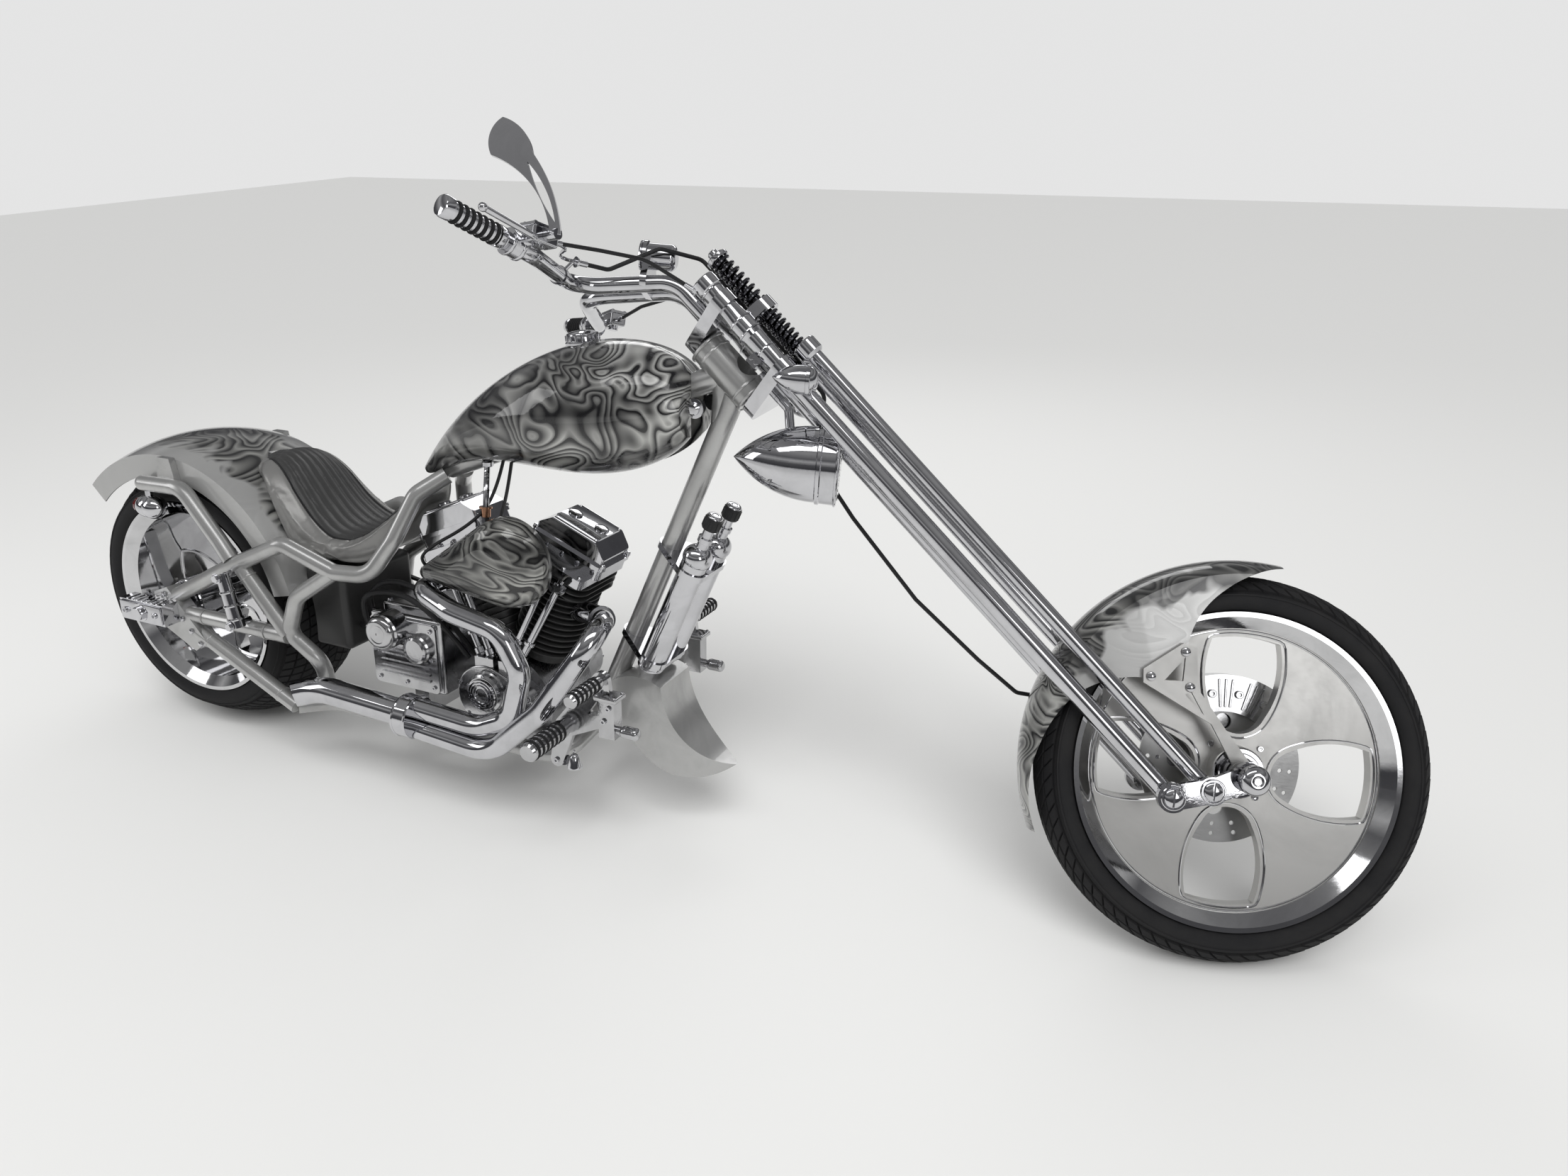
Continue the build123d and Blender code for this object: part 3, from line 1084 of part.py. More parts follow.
def make_belt():
    """Flat drive belt round both pulleys on the left."""
    x, z = GEAR_SHAFT
    loops = []
    for grow in (BELT_GAP + BELT_T, BELT_GAP):
        edges = (Pos(0, REAR_AXLE_Z) * Circle(PULLEY_R + grow)).edges()
        edges += (Pos(x, z) * Circle(FRONT_PULLEY_R + grow)).edges()
        loops.append(extrude(make_hull(edges), 2 * BELT_HALF))
    return Pos(0, BELT_Y + BELT_HALF, 0) * Rot(90, 0, 0) * (loops[0] - loops[1])


def make_air_cleaner():
    """Egg-shaped air cleaner with a pointed rear, on the right of the cylinders."""
    middle_x, middle_z = CRANK_X + 21.0, CRANK_Z + 343.0

    def egg(share, side):
        circles = [(50.0, 8.0, 95.0), (-160.0, -41.0, 14.0)]  # ahead, up, radius
        edges = []
        for ahead, up, radius in circles:
            edges += (Pos(middle_x + ahead * share, middle_z + up * share)
                      * Circle(radius * share)).edges()
        return Pos(0, side, 0) * Rot(90, 0, 0) * make_hull(edges)

    rings = [egg(share, side) for side, share in EGG_STEPS]
    body = loft(rings[:2], ruled=True)
    for first, second in zip(rings[1:], rings[2:]):
        body += loft([first, second], ruled=True)
    body += cross_rod(CRANK_X, -118.5, 10, middle_z - 40, 26.0)
    manifold = rod((CRANK_X - 130, 0, middle_z - 40), (CRANK_X + 130, 0, middle_z - 40), 21.0)
    for side, room in zip((1, -1), make_cylinder_room()):
        manifold = manifold - room - rocker_box(side, SEAT_GAP)
    body += largest(manifold)
    return {"air_cleaner": body}


def make_exhaust():
    """Two looping header pipes that join in one slash-cut tailpipe on the right."""
    rear = bent([(770, -30, 480), (716, -70, 476), (744, -170, 492), (850, -PIPE_Y, 474),
                 (970, -PIPE_Y, 452), (1015, -PIPE_Y, 370), (985, -PIPE_Y, 262),
                 (900, -PIPE_Y, 222), (720, -PIPE_Y, 232)],
                PIPE_R, [34, 60, 120, 60, 60, 55, 120])
    front = bent([(1010, -20, 450), (1120, -60, 458), (1196, -178, 494),
                  (1060, -PIPE_Y - 8, 292), (930, -PIPE_Y - 8, 172), (720, -PIPE_Y - 2, 184)],
                 PIPE_R, [60, 60, 120, 120])
    tail = bent([(722, -PIPE_Y, 208), (600, -PIPE_Y, 214), (470, -PIPE_Y - 6, 224),
                 (340, -PIPE_Y - 12, 178)], TAIL_R, [200, 140])
    tail += rod((736, -PIPE_Y, 208), (700, -PIPE_Y, 209), 47.0)
    slash = Pos(356, -PIPE_Y, 150) * Rot(0, 60, 0) * Box(400, 200, 90)
    tail = tail - slash
    barrels = make_cylinder_room()
    header = (rear + front) - tail - barrels[0] - barrels[1]
    return {"exhaust_headers": header, "exhaust_tail": tail}


def make_bottles():
    """Two clamped bottles ahead of the down tube, and the chin scoop below them."""
    top, low = DOWN_TOP, DOWN_LOW
    along = (top - low).normalized()
    ahead = Vector(along.Z, 0, -along.X)
    found = []
    for side in (-1, 1):
        base = low + along * BOTTLE_RUN + ahead * BOTTLE_AHEAD + Vector(0, side * BOTTLE_Y, 0)
        found.append(spun(base, along, BOTTLE_OUTLINE))
    clamps = []
    for height in (BOTTLE_RUN + 16.0, BOTTLE_RUN + 240.0):
        centre = low + along * height
        plane = Plane(origin=centre, x_dir=ahead, z_dir=along)
        edges = list(Circle(DOWN_TUBE_R + 5).edges())
        for side in (-1, 1):
            edges += (Pos(BOTTLE_AHEAD, side * BOTTLE_Y) * Circle(BOTTLE_R + 4)).edges()
        band = plane * extrude(make_hull(edges), 14)
        band -= rod(centre - along * 20, centre + along * 40, DOWN_TUBE_R + SEAT_GAP)
        for side in (-1, 1):
            spot = centre + ahead * BOTTLE_AHEAD + Vector(0, side * BOTTLE_Y, 0)
            band -= rod(spot - along * 20, spot + along * 40, BOTTLE_R + SEAT_GAP)
        clamps.append(band)
    side_face = make_face([
        ThreePointArc((1136, 318), (1196, 340), (1256, 326)),
        ThreePointArc((1256, 326), (1292, 228), (1404, 156)),
        ThreePointArc((1404, 156), (1290, 128), (1190, 186)),
        ThreePointArc((1190, 186), (1146, 240), (1136, 318))])
    scoop = Pos(0, 70, 0) * Rot(90, 0, 0) * extrude(side_face, 140)
    top_face = make_face([
        Line((1100, 62), (1230, 62)), ThreePointArc((1230, 62), (1350, 38), (1408, 0)),
        ThreePointArc((1408, 0), (1350, -38), (1230, -62)), Line((1230, -62), (1100, -62)),
        Line((1100, -62), (1100, 62))])
    scoop &= Pos(0, 0, 50) * extrude(top_face, 350)
    scoop -= rod(top, low - along * 60, DOWN_TUBE_R + SEAT_GAP)
    return {"bottles": found, "bottle_clamps": clamps, "chin_scoop": largest(scoop)}


def make_controls():
    """Forward foot controls on both sides: skeleton bracket, pegs and the pedal's cylinder."""
    low, high = -CRADLE_Y - 60, -CRADLE_Y - 48
    bracket = None
    for first, second in CONTROL_LINKS:
        bar = link(CONTROL_SPOTS[first], CONTROL_SPOTS[second], low, high)
        bracket = bar if bracket is None else bracket + bar
    bracket += rod((1094, -CRADLE_Y - 52, 180), (1034, -CRADLE_Y + 18, 154), 12.0)
    for x, z, root_r, peg_r, length in FOOT_PEGS:
        start = Vector(x, high - 4, z)
        bracket += spun(start, (0, -1, 0), [
            (0, 0), (root_r, 0), (root_r, 18), (peg_r, 22), (peg_r, length - 5),
            (peg_r - 4, length), (0, length)])
    bracket += slab((1192, 1228), (low - 10, high + 8), (262, 346))
    bracket += rounded_box((1184, 1236), (low - 16, high + 14), (344, 354), 3.0)
    bracket += spun((1222, low + 2, 280), (1, 0, 0), SWITCH_OUTLINE)
    bracket = largest(bracket - cradle_rail(TUBE_R + SEAT_GAP))
    return {"foot_controls": both(bracket)}


def floor_height(y):
    """Height of the floor under a point of the upright drawing, because the machine leans."""
    return y * tan(radians(LEAN_DEG))


def make_stand():
    """Side stand: pivot lug on the left rail, and the leg with its foot on the floor."""
    pivot = Vector(*STAND_PIVOT)
    foot_z = floor_height(STAND_FOOT_Y)
    foot = Vector(STAND_FOOT_X, STAND_FOOT_Y, foot_z)
    floor_up = Vector(0, -sin(radians(LEAN_DEG)), cos(radians(LEAN_DEG)))
    pad = rod(foot, foot + floor_up * STAND_FOOT_T, STAND_FOOT_R)
    leg = rod(pivot, foot + floor_up * (STAND_FOOT_T + STAND_LEG_R), STAND_LEG_R)
    folded = Vector(-1, 0.02, 0.06).normalized()
    axis = (foot - pivot).normalized().cross(folded).normalized()
    eye = rod(pivot - axis * 12, pivot + axis * 12, 17.0)
    bolt_r = 8.0
    bore = rod(pivot - axis * 20, pivot + axis * 20, bolt_r + RUNNING_FIT)
    leg = leg + eye + pad + rod(foot + floor_up * STAND_FOOT_T,
                                foot + floor_up * (STAND_FOOT_T + 12), 15.0)
    leg -= bore
    lug = rod(pivot - axis * 13, pivot - axis * 38, 17.0)
    lug += rod(pivot + axis * 13, pivot + axis * 21, 17.0)
    lug += rod(pivot - axis * 21, pivot + axis * 21, bolt_r)
    lug -= room_of(cradle_rail)[1]
    return leg, lug, pivot, axis, degrees(acos((foot - pivot).normalized().dot(folded)))


def build_bodies():
    """Every node by body, in the upright drawing."""
    front = {}
    for part in (make_fork(), make_calipers(), make_front_fender(), make_fender_brackets(),
                 make_cables(), make_headlight(), make_handlebar()):
        front.update(part)
    frame = {}
    for part in (make_frame(), make_rear_details(), make_rear_fender(), make_tank(),
                 make_engine(), make_drive(), make_air_cleaner(), make_exhaust(),
                 make_bottles(), make_controls()):
        frame.update(part)
    frame["seat"] = seat_solid()
    leg, lug, *_ = make_stand()
    frame["stand_lug"] = lug
    return {"frame": frame, "front_end": front, "front_wheel": make_front_wheel(),
            "rear_wheel": make_rear_wheel(), "side_stand": {"side_stand": leg}}


def solids_of(item):
    """A node's separate solids."""
    items = item if isinstance(item, (list, tuple)) else [item]
    found = []
    for piece in items:
        found.extend(piece.solids())
    return found


def lean_over(shape):
    """Lean a piece onto the side stand."""
    return shape.rotate(Axis.X, -LEAN_DEG)


def stand_up_nodes():
    """Steer, lean and centre every node; returns them with the shift that was used."""
    placed = {}
    for body, nodes in build_bodies().items():
        for name, item in nodes.items():
            pieces = solids_of(item)
            if body in ("front_end", "front_wheel"):
                pieces = [piece.rotate(STEER_AXIS, STEER_DEG) for piece in pieces]
            placed[name] = (body, [lean_over(piece) for piece in pieces])
    whole = Compound([s for _, pieces in placed.values() for s in pieces]).bounding_box()
    shift = Vector(-(whole.min.X + whole.max.X) / 2, -(whole.min.Y + whole.max.Y) / 2, 0)
    moved = {name: (body, [piece.moved(Location(shift)) for piece in pieces])
             for name, (body, pieces) in placed.items()}
    return moved, shift


NODES, SHIFT = stand_up_nodes()
os.makedirs("parts", exist_ok=True)
for node_name, (_, node_solids) in NODES.items():
    export_step(Compound(node_solids), f"parts/{node_name}.step")
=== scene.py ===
"""Looks of a parked custom chopper: finishes for the CAD pieces and the finer pieces on them.

Every piece is drawn in metres on the upright, straight machine: X forwards, Y to the rider's
left, Z up, with the rear axle above the origin. A matrix per body then steers and leans it.
"""
import json
import logging
import math
from dataclasses import dataclass
from enum import Enum
from functools import wraps
from typing import Callable, Dict, Iterable, List, Optional, Sequence, Tuple

import bmesh
import bpy
from mathutils import Matrix, Vector
from mathutils.bvhtree import BVHTree


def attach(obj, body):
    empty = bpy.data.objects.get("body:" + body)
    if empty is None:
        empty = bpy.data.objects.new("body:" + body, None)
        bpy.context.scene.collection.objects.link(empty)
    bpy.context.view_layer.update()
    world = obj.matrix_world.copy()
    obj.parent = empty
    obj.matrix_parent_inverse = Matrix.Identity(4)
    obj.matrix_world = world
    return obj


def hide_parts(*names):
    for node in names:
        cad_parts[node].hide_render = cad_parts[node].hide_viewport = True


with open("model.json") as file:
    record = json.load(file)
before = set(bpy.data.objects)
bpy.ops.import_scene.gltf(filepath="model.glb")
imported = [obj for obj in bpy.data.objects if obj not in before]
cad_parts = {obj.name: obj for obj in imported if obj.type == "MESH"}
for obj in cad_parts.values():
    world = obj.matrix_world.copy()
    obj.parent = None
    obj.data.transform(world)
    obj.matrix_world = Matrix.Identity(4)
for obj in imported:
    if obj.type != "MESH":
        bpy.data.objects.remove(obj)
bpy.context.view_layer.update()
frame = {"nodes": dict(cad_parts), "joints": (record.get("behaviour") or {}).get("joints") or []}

LOG = logging.getLogger("chopper")
Point = Tuple[float, float, float]
Outline = Sequence[Tuple[float, float]]
Colour = Tuple[float, float, float]
Shape = bmesh.types.BMesh
Socket = bpy.types.NodeSocket
Node = bpy.types.Node
LEFT, RIGHT = (0.0, 1.0, 0.0), (0.0, -1.0, 0.0)
FORWARDS, REARWARDS = (1.0, 0.0, 0.0), (-1.0, 0.0, 0.0)
UPWARDS = (0.0, 0.0, 1.0)
SHARP_ANGLE = math.radians(32)


class Body(Enum):
    """CAD body that a piece rides on."""

    FRAME = "frame"
    FRONT_END = "front_end"
    FRONT_WHEEL = "front_wheel"
    REAR_WHEEL = "rear_wheel"


class BoltHead(Enum):
    """Kinds of bolt head."""

    HEX = "hex"
    DOME = "dome"
    SOCKET = "socket"


# ---- Stance --------------------


@dataclass(frozen=True)
class Stance:
    """How the machine stands, and the matrices from the upright drawing to the frame.

    Attributes:
        lean: Angle towards the side stand.
        steer: Angle of the bars to the left.
        rake: Angle of the steering axis from the vertical.
        rear_axle_height: Height of the rear axle on the upright machine.
        axle_offset: Distance of the front axle ahead of the steering axis.
    """

    lean: float = math.radians(4.85)
    steer: float = math.radians(27.7)
    rake: float = math.radians(48.0)
    rear_axle_height: float = 0.33368
    axle_offset: float = 0.188

    def joint(self, name: str) -> Dict:
        """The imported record's entry of one joint."""
        return next(joint for joint in frame["joints"] if joint["name"] == name)

    def upright(self) -> Matrix:
        """Matrix that leans the upright drawing over and puts it in the frame."""
        rear = Vector(self.joint("rear_wheel_spin")["pos_m"])
        return (Matrix.Translation(rear) @ Matrix.Rotation(-self.lean, 4, "X")
                @ Matrix.Translation((0.0, 0.0, -self.rear_axle_height)))

    def steered(self) -> Matrix:
        """Matrix for pieces of the front end, drawn with the bars straight."""
        joint = self.joint("steering")
        spot = Vector(joint["pos_m"])
        turn = Matrix.Rotation(self.steer, 4, Vector(joint["axis"]))
        return Matrix.Translation(spot) @ turn @ Matrix.Translation(-spot) @ self.upright()

    def matrix(self, body: Body) -> Matrix:
        """Matrix from the drawing to the frame for one body."""
        front = body in (Body.FRONT_END, Body.FRONT_WHEEL)
        return self.steered() if front else self.upright()

    def front_axle(self) -> Vector:
        """Centre of the front axle on the straight, upright machine."""
        return self.steered().inverted() @ Vector(self.joint("front_wheel_spin")["pos_m"])

    def rear_axle(self) -> Vector:
        """Centre of the rear axle on the upright machine."""
        return Vector((0.0, 0.0, self.rear_axle_height))

    def up_axis(self) -> Vector:
        """Direction up the steering axis on the upright machine."""
        return Vector((-math.sin(self.rake), 0.0, math.cos(self.rake)))

    def ahead(self) -> Vector:
        """Direction square to the steering axis, forwards."""
        return Vector((math.cos(self.rake), 0.0, math.sin(self.rake)))

    def fork(self, up: float, ahead: float, side: float = 0.0) -> Vector:
        """Point of the front end.

        Args:
            up: Distance along the steering axis from the foot of the axle's offset.
            ahead: Distance ahead of the steering axis.
            side: Distance to the left.

        Returns:
            The point on the upright, straight machine.
        """
        foot = self.front_axle() - self.ahead() * self.axle_offset
        return foot + self.up_axis() * up + self.ahead() * ahead + Vector((0.0, side, 0.0))


STANCE = Stance()


# ---- Mesh making --------------------


def toward(origin: Point, direction: Point, across: Point = LEFT) -> Matrix:
    """Matrix that puts a shape's Z along a direction.

    Args:
        origin: Where the shape's origin goes.
        direction: Where its Z axis points.
        across: What its X axis stays square to, as far as it can.

    Returns:
        The matrix.
    """
    z_axis = Vector(direction).normalized()
    hint = Vector(across)
    if abs(z_axis.dot(hint.normalized())) > 0.98:
        hint = Vector(FORWARDS)
    x_axis = hint.cross(z_axis).normalized()
    y_axis = z_axis.cross(x_axis)
    turn = Matrix((x_axis, y_axis, z_axis)).transposed().to_4x4()
    return Matrix.Translation(Vector(origin)) @ turn


def lathe(outline: Outline, steps: int = 48) -> Shape:
    """Turned solid about Z.

    Args:
        outline: (radius, height) points from one end to the other.
        steps: Facets round the axis.

    Returns:
        A closed mesh, if the outline starts and ends on the axis or meets itself.
    """
    bm = bmesh.new()
    verts = [bm.verts.new((radius, 0.0, height)) for radius, height in outline]
    edges = [bm.edges.new(pair) for pair in zip(verts, verts[1:]) if pair[0] is not pair[1]]
    bmesh.ops.spin(bm, geom=verts + edges, cent=(0, 0, 0), axis=(0, 0, 1), dvec=(0, 0, 0),
                   angle=2 * math.pi, steps=steps, use_merge=True)
    bmesh.ops.remove_doubles(bm, verts=bm.verts, dist=1e-6)
    bmesh.ops.recalc_face_normals(bm, faces=bm.faces)
    return bm


def ring(outline: Outline, steps: int = 64) -> Shape:
    """Closed ring about Z, from a closed outline of (radius, height) points."""
    return lathe(list(outline) + [outline[0]], steps)


def round_ring(radius: float, out: float, along: float, steps: int) -> Shape:
    """Ring of oval section about Z, with half sizes outwards and along the axis."""
    turns = [k * math.pi / 4 for k in range(9)]
    return lathe([(radius + out * math.cos(a), along * math.sin(a)) for a in turns], steps)


def compass(count: int, radius: float, first: float = 0.0) -> List[Tuple[float, float]]:
    """Points spaced evenly round a circle, from a first angle."""
    turns = [first + 2 * math.pi * k / count for k in range(count)]
    return [(radius * math.cos(a), radius * math.sin(a)) for a in turns]


def rounded(bm: Shape, width: float, segments: int = 2, angle: float = math.radians(40)) -> Shape:
    """Rounds the sharp edges of a mesh.

    Args:
        bm: The mesh, changed in place.
        width: Width of the rounding.
        segments: Facets across it.
        angle: Least angle between faces for an edge to be rounded.

    Returns:
        The same mesh.
    """
    edges = [edge for edge in bm.edges
             if len(edge.link_faces) == 2 and edge.calc_face_angle(0.0) > angle]
    bmesh.ops.bevel(bm, geom=edges, offset=width, offset_type="OFFSET", segments=segments,
                    profile=0.5, affect="EDGES", material=-1, clamp_overlap=True)
    return bm


def slab(size: Point, bevel: float = 0.0, segments: int = 2) -> Shape:
    """Block about the origin with rounded edges."""
    bm = bmesh.new()
    bmesh.ops.create_cube(bm, size=1.0)
    bmesh.ops.scale(bm, vec=size, verts=bm.verts)
    return rounded(bm, bevel, segments) if bevel else bm


def pipe(points: Sequence[Point], radius: float, facets: int = 12, closed: bool = False,
         ease: int = 8) -> Shape:
    """Round wire or tube along a smooth line.

    Args:
        points: Control points of the line.
        radius: Radius of the wire.
        facets: Facets round it.
        closed: The line returns to its start.
        ease: Steps for each stretch of the line.

    Returns:
        The wire, capped unless it is closed.
    """
    curve = bpy.data.curves.new("line", "CURVE")
    curve.dimensions = "3D"
    curve.bevel_depth = radius
    curve.bevel_resolution = max(0, facets // 4 - 1)
    curve.use_fill_caps = not closed
    curve.resolution_u = ease
    spline = curve.splines.new("NURBS")
    spline.points.add(len(points) - 1)
    for spot, point in zip(spline.points, points):
        spot.co = (*point, 1.0)
    spline.use_cyclic_u = closed
    spline.order_u = 3
    spline.use_endpoint_u = not closed
    holder = bpy.data.objects.new("line", curve)
    mesh = bpy.data.meshes.new_from_object(holder)
    bm = bmesh.new()
    bm.from_mesh(mesh)
    bpy.data.objects.remove(holder)
    bpy.data.curves.remove(curve)
    bpy.data.meshes.remove(mesh)
    bmesh.ops.remove_doubles(bm, verts=bm.verts, dist=1e-6)
    bmesh.ops.recalc_face_normals(bm, faces=bm.faces)
    return bm


def rod(start: Point, end: Point, radius: float, facets: int = 24, bevel: float = 0.0) -> Shape:
    """Straight round bar between two points, with eased ends if asked."""
    length = (Vector(end) - Vector(start)).length
    ease = min(bevel, radius * 0.6)
    outline = [(0.0, 0.0), (radius - ease, 0.0), (radius, ease), (radius, length - ease),
               (radius - ease, length), (0.0, length)]
    bm = lathe(outline, facets)
    return stood(bm, start, Vector(end) - Vector(start))


def moved(bm: Shape, matrix: Matrix) -> Shape:
    """The same mesh, transformed; a mirroring matrix has its faces turned back."""
    bmesh.ops.transform(bm, matrix=matrix, verts=bm.verts)
    if matrix.determinant() < 0:
        bmesh.ops.reverse_faces(bm, faces=bm.faces)
    return bm


def stood(bm: Shape, spot: Point, way: Point, across: Point = LEFT) -> Shape:
    """A mesh drawn about Z, with its foot at a spot and its Z along a direction."""
    return moved(bm, toward(spot, way, across))


def placed(bm: Shape, spot: Point) -> Shape:
    """The same mesh, moved."""
    return moved(bm, Matrix.Translation(Vector(spot)))


def joined(parts: Iterable[Shape]) -> Shape:
    """One mesh with every part in it; the parts are used up."""
    whole = bmesh.new()
    for part in parts:
        mesh = bpy.data.meshes.new("part")
        part.to_mesh(mesh)
        part.free()
        whole.from_mesh(mesh)
        bpy.data.meshes.remove(mesh)
    return whole


def twinned(draw: Callable[[object], Shape]) -> Callable[[object], Shape]:
    """Has a method that draws the right side add its mirror image on the left."""

    @wraps(draw)
    def both(self: object) -> Shape:
        """The drawn side and its mirror image."""
        flip = Matrix.Scale(-1.0, 4, Vector(LEFT))
        return joined([draw(self), moved(draw(self), flip)])

    return both


def sided(spot: Point, side: int) -> Vector:
    """A point or direction of the left side, or with -1 its mirror image."""
    return Vector((spot[0], side * spot[1], spot[2]))


def collar(bore: float, edge: float, full: float, low: float, high: float, ease: float,
           steps: int) -> Shape:
    """Collar about Z between two heights, its ends eased from one radius to another."""
    return ring([(bore, low), (edge, low), (full, low + ease), (full, high - ease),
                 (edge, high), (bore, high)], steps)


def arc(start: Tuple[float, float], middle: Tuple[float, float], end: Tuple[float, float],
        steps: int = 8) -> List[Tuple[float, float]]:
    """Points on the circle through three points, both ends among them."""
    (ax, ay), (bx, by), (cx, cy) = start, middle, end
    double = 2 * (ax * (by - cy) + bx * (cy - ay) + cx * (ay - by))
    if abs(double) < 1e-12:
        return [start, middle, end]
    ux = ((ax ** 2 + ay ** 2) * (by - cy) + (bx ** 2 + by ** 2) * (cy - ay)
          + (cx ** 2 + cy ** 2) * (ay - by)) / double
    uy = ((ax ** 2 + ay ** 2) * (cx - bx) + (bx ** 2 + by ** 2) * (ax - cx)
          + (cx ** 2 + cy ** 2) * (bx - ax)) / double
    radius = math.hypot(ax - ux, ay - uy)
    first, mid, last = (math.atan2(y - uy, x - ux) for x, y in (start, middle, end))
    sweep = (last - first) % (2 * math.pi)
    if (mid - first) % (2 * math.pi) > sweep:
        sweep -= 2 * math.pi
    return [(ux + radius * math.cos(first + sweep * step / steps),
             uy + radius * math.sin(first + sweep * step / steps)) for step in range(steps + 1)]


def bolt(kind: BoltHead, radius: float, height: Optional[float] = None) -> Shape:
    """Bolt head standing on the origin along Z.

    Args:
        kind: Hexagon, domed or socket head.
        radius: Radius of the head.
        height: Its height; by default it follows from the radius.

    Returns:
        The head, closed.
    """
    tall = height or radius * 0.75
    if kind is BoltHead.HEX:
        bm = bmesh.new()
        bmesh.ops.create_cone(bm, cap_ends=True, segments=6, radius1=radius, radius2=radius,
                              depth=tall)
        bmesh.ops.translate(bm, vec=(0, 0, tall / 2), verts=bm.verts)
        rounded(bm, radius * 0.1, 1)
        washer = lathe([(0, 0), (radius * 1.3, 0), (radius * 1.3, tall * 0.16), (0, tall * 0.16)],
                       16)
        return joined([bm, washer])
    if kind is BoltHead.DOME:
        return lathe([(0, 0), (radius, 0), (radius, tall * 0.3), (radius * 0.86, tall * 0.72),
                      (radius * 0.5, tall * 0.96), (0, tall)], 16)
    hollow = radius * 0.52
    return lathe([(0, 0), (radius, 0), (radius, tall * 0.85), (radius * 0.88, tall),
                  (hollow, tall), (hollow, tall * 0.45), (0, tall * 0.4)], 14)


def bolts(spots: Iterable[Point], direction: Point, kind: BoltHead,
          radius: float, height: Optional[float] = None) -> Shape:
    """Bolt heads at several spots, all facing one way."""
    return joined([stood(bolt(kind, radius, height), spot, direction) for spot in spots])


# ---- Shader helpers --------------------


class Graph:
    """Node tree with short calls for adding and linking nodes."""

    def __init__(self, tree: bpy.types.NodeTree) -> None:
        """Starts on an empty tree."""
        self.tree = tree
        tree.nodes.clear()

    def add(self, kind: str, **values: object) -> Node:
        """Adds a node.

        Args:
            kind: Blender's node type.
            **values: Properties by name, or input values by name with _ for a space.

        Returns:
            The node.
        """
        return self.fill(self.tree.nodes.new(kind), **values)

    def fill(self, node: Node, **values: object) -> Node:
        """Sets a node's properties, and its inputs by name with _ for a space."""
        for name, value in values.items():
            if name in node.bl_rna.properties:
                setattr(node, name, value)
            else:
                node.inputs[name.replace("_", " ")].default_value = value
        return node

    def link(self, source: Socket, target: Socket) -> None:
        """Links an output to an input."""
        self.tree.links.new(source, target)

    def place(self) -> Socket:
        """The piece's own coordinates."""
        return self.add("ShaderNodeTexCoord").outputs["Object"]

    def surface(self, **values: object) -> Node:
        """Adds the surface shader and its output."""
        shader = self.add("ShaderNodeBsdfPrincipled", **values)
        out = self.add("ShaderNodeOutputMaterial")
        self.link(shader.outputs["BSDF"], out.inputs["Surface"])
        return shader

    def bump(self, shader: Node, height: Socket, strength: float, depth: float) -> None:
        """Raises a shader's surface by a height."""
        node = self.add("ShaderNodeBump", Strength=strength, Distance=depth)
        self.link(height, node.inputs["Height"])
        self.link(node.outputs[0], shader.inputs["Normal"])

    def arithmetic(self, operation: str, *values: object) -> Socket:
        """One step of arithmetic on sockets and plain numbers."""
        node = self.add("ShaderNodeMath", operation=operation)
        for socket, value in zip(node.inputs, values):
            if isinstance(value, Socket):
                self.link(value, socket)
            else:
                socket.default_value = value
        return node.outputs[0]

    def ramp(self, source: Socket, stops: Sequence[Tuple[float, Sequence[float]]]) -> Socket:
        """Colour ramp on a value; stops are (place, colour)."""
        node = self.add("ShaderNodeValToRGB")
        marks = node.color_ramp.elements
        while len(marks) > 1:
            marks.remove(marks[-1])
        for index, (place, colour) in enumerate(stops):
            mark = marks[0] if index == 0 else marks.new(place)
            mark.position = place
            mark.color = (*colour[:3], 1.0)
        self.link(source, node.inputs["Fac"])
        return node.outputs["Color"]

    def spread(self, source: Socket, low: float, high: float,
               from_low: float = 0.0, from_high: float = 1.0) -> Socket:
        """Maps a value from one range to another, clamped."""
        node = self.add("ShaderNodeMapRange")
        for name, value in (("From Min", from_low), ("From Max", from_high),
                            ("To Min", low), ("To Max", high)):
            node.inputs[name].default_value = value
        self.link(source, node.inputs["Value"])
        return node.outputs["Result"]

    def mix(self, share: Socket, first: object, second: object) -> Socket:
        """Mixes two colours, each a socket or a colour, by a value."""
        node = self.add("ShaderNodeMix", data_type="RGBA")
        self.link(share, node.inputs[0])
        for socket, colour in ((node.inputs[6], first), (node.inputs[7], second)):
            if isinstance(colour, Socket):
                self.link(colour, socket)
            else:
                socket.default_value = (*colour[:3], 1.0)
        return node.outputs[2]


def effect(name: str, inputs: Sequence[Tuple[str, float]], outputs: Sequence[str],
           build: Callable[[Graph, Node, Node], None]) -> bpy.types.NodeTree:
    """Shared node group.

    Args:
        name: Name of the effect.
        inputs: (name, default value) of its number inputs.
        outputs: Names of its number outputs.
        build: Draws the inside from the graph, its input and its output node.

    Returns:
        The group, built the first time and reused after that.
    """
    found = bpy.data.node_groups.get(name)
    if found:
        return found
    tree = bpy.data.node_groups.new(name, "ShaderNodeTree")
    for label, value in inputs:
        socket = tree.interface.new_socket(label, in_out="INPUT", socket_type="NodeSocketFloat")
        socket.default_value = value
    for label in outputs:
        tree.interface.new_socket(label, in_out="OUTPUT", socket_type="NodeSocketFloat")
    graph = Graph(tree)
    build(graph, graph.add("NodeGroupInput"), graph.add("NodeGroupOutput"))
    return tree


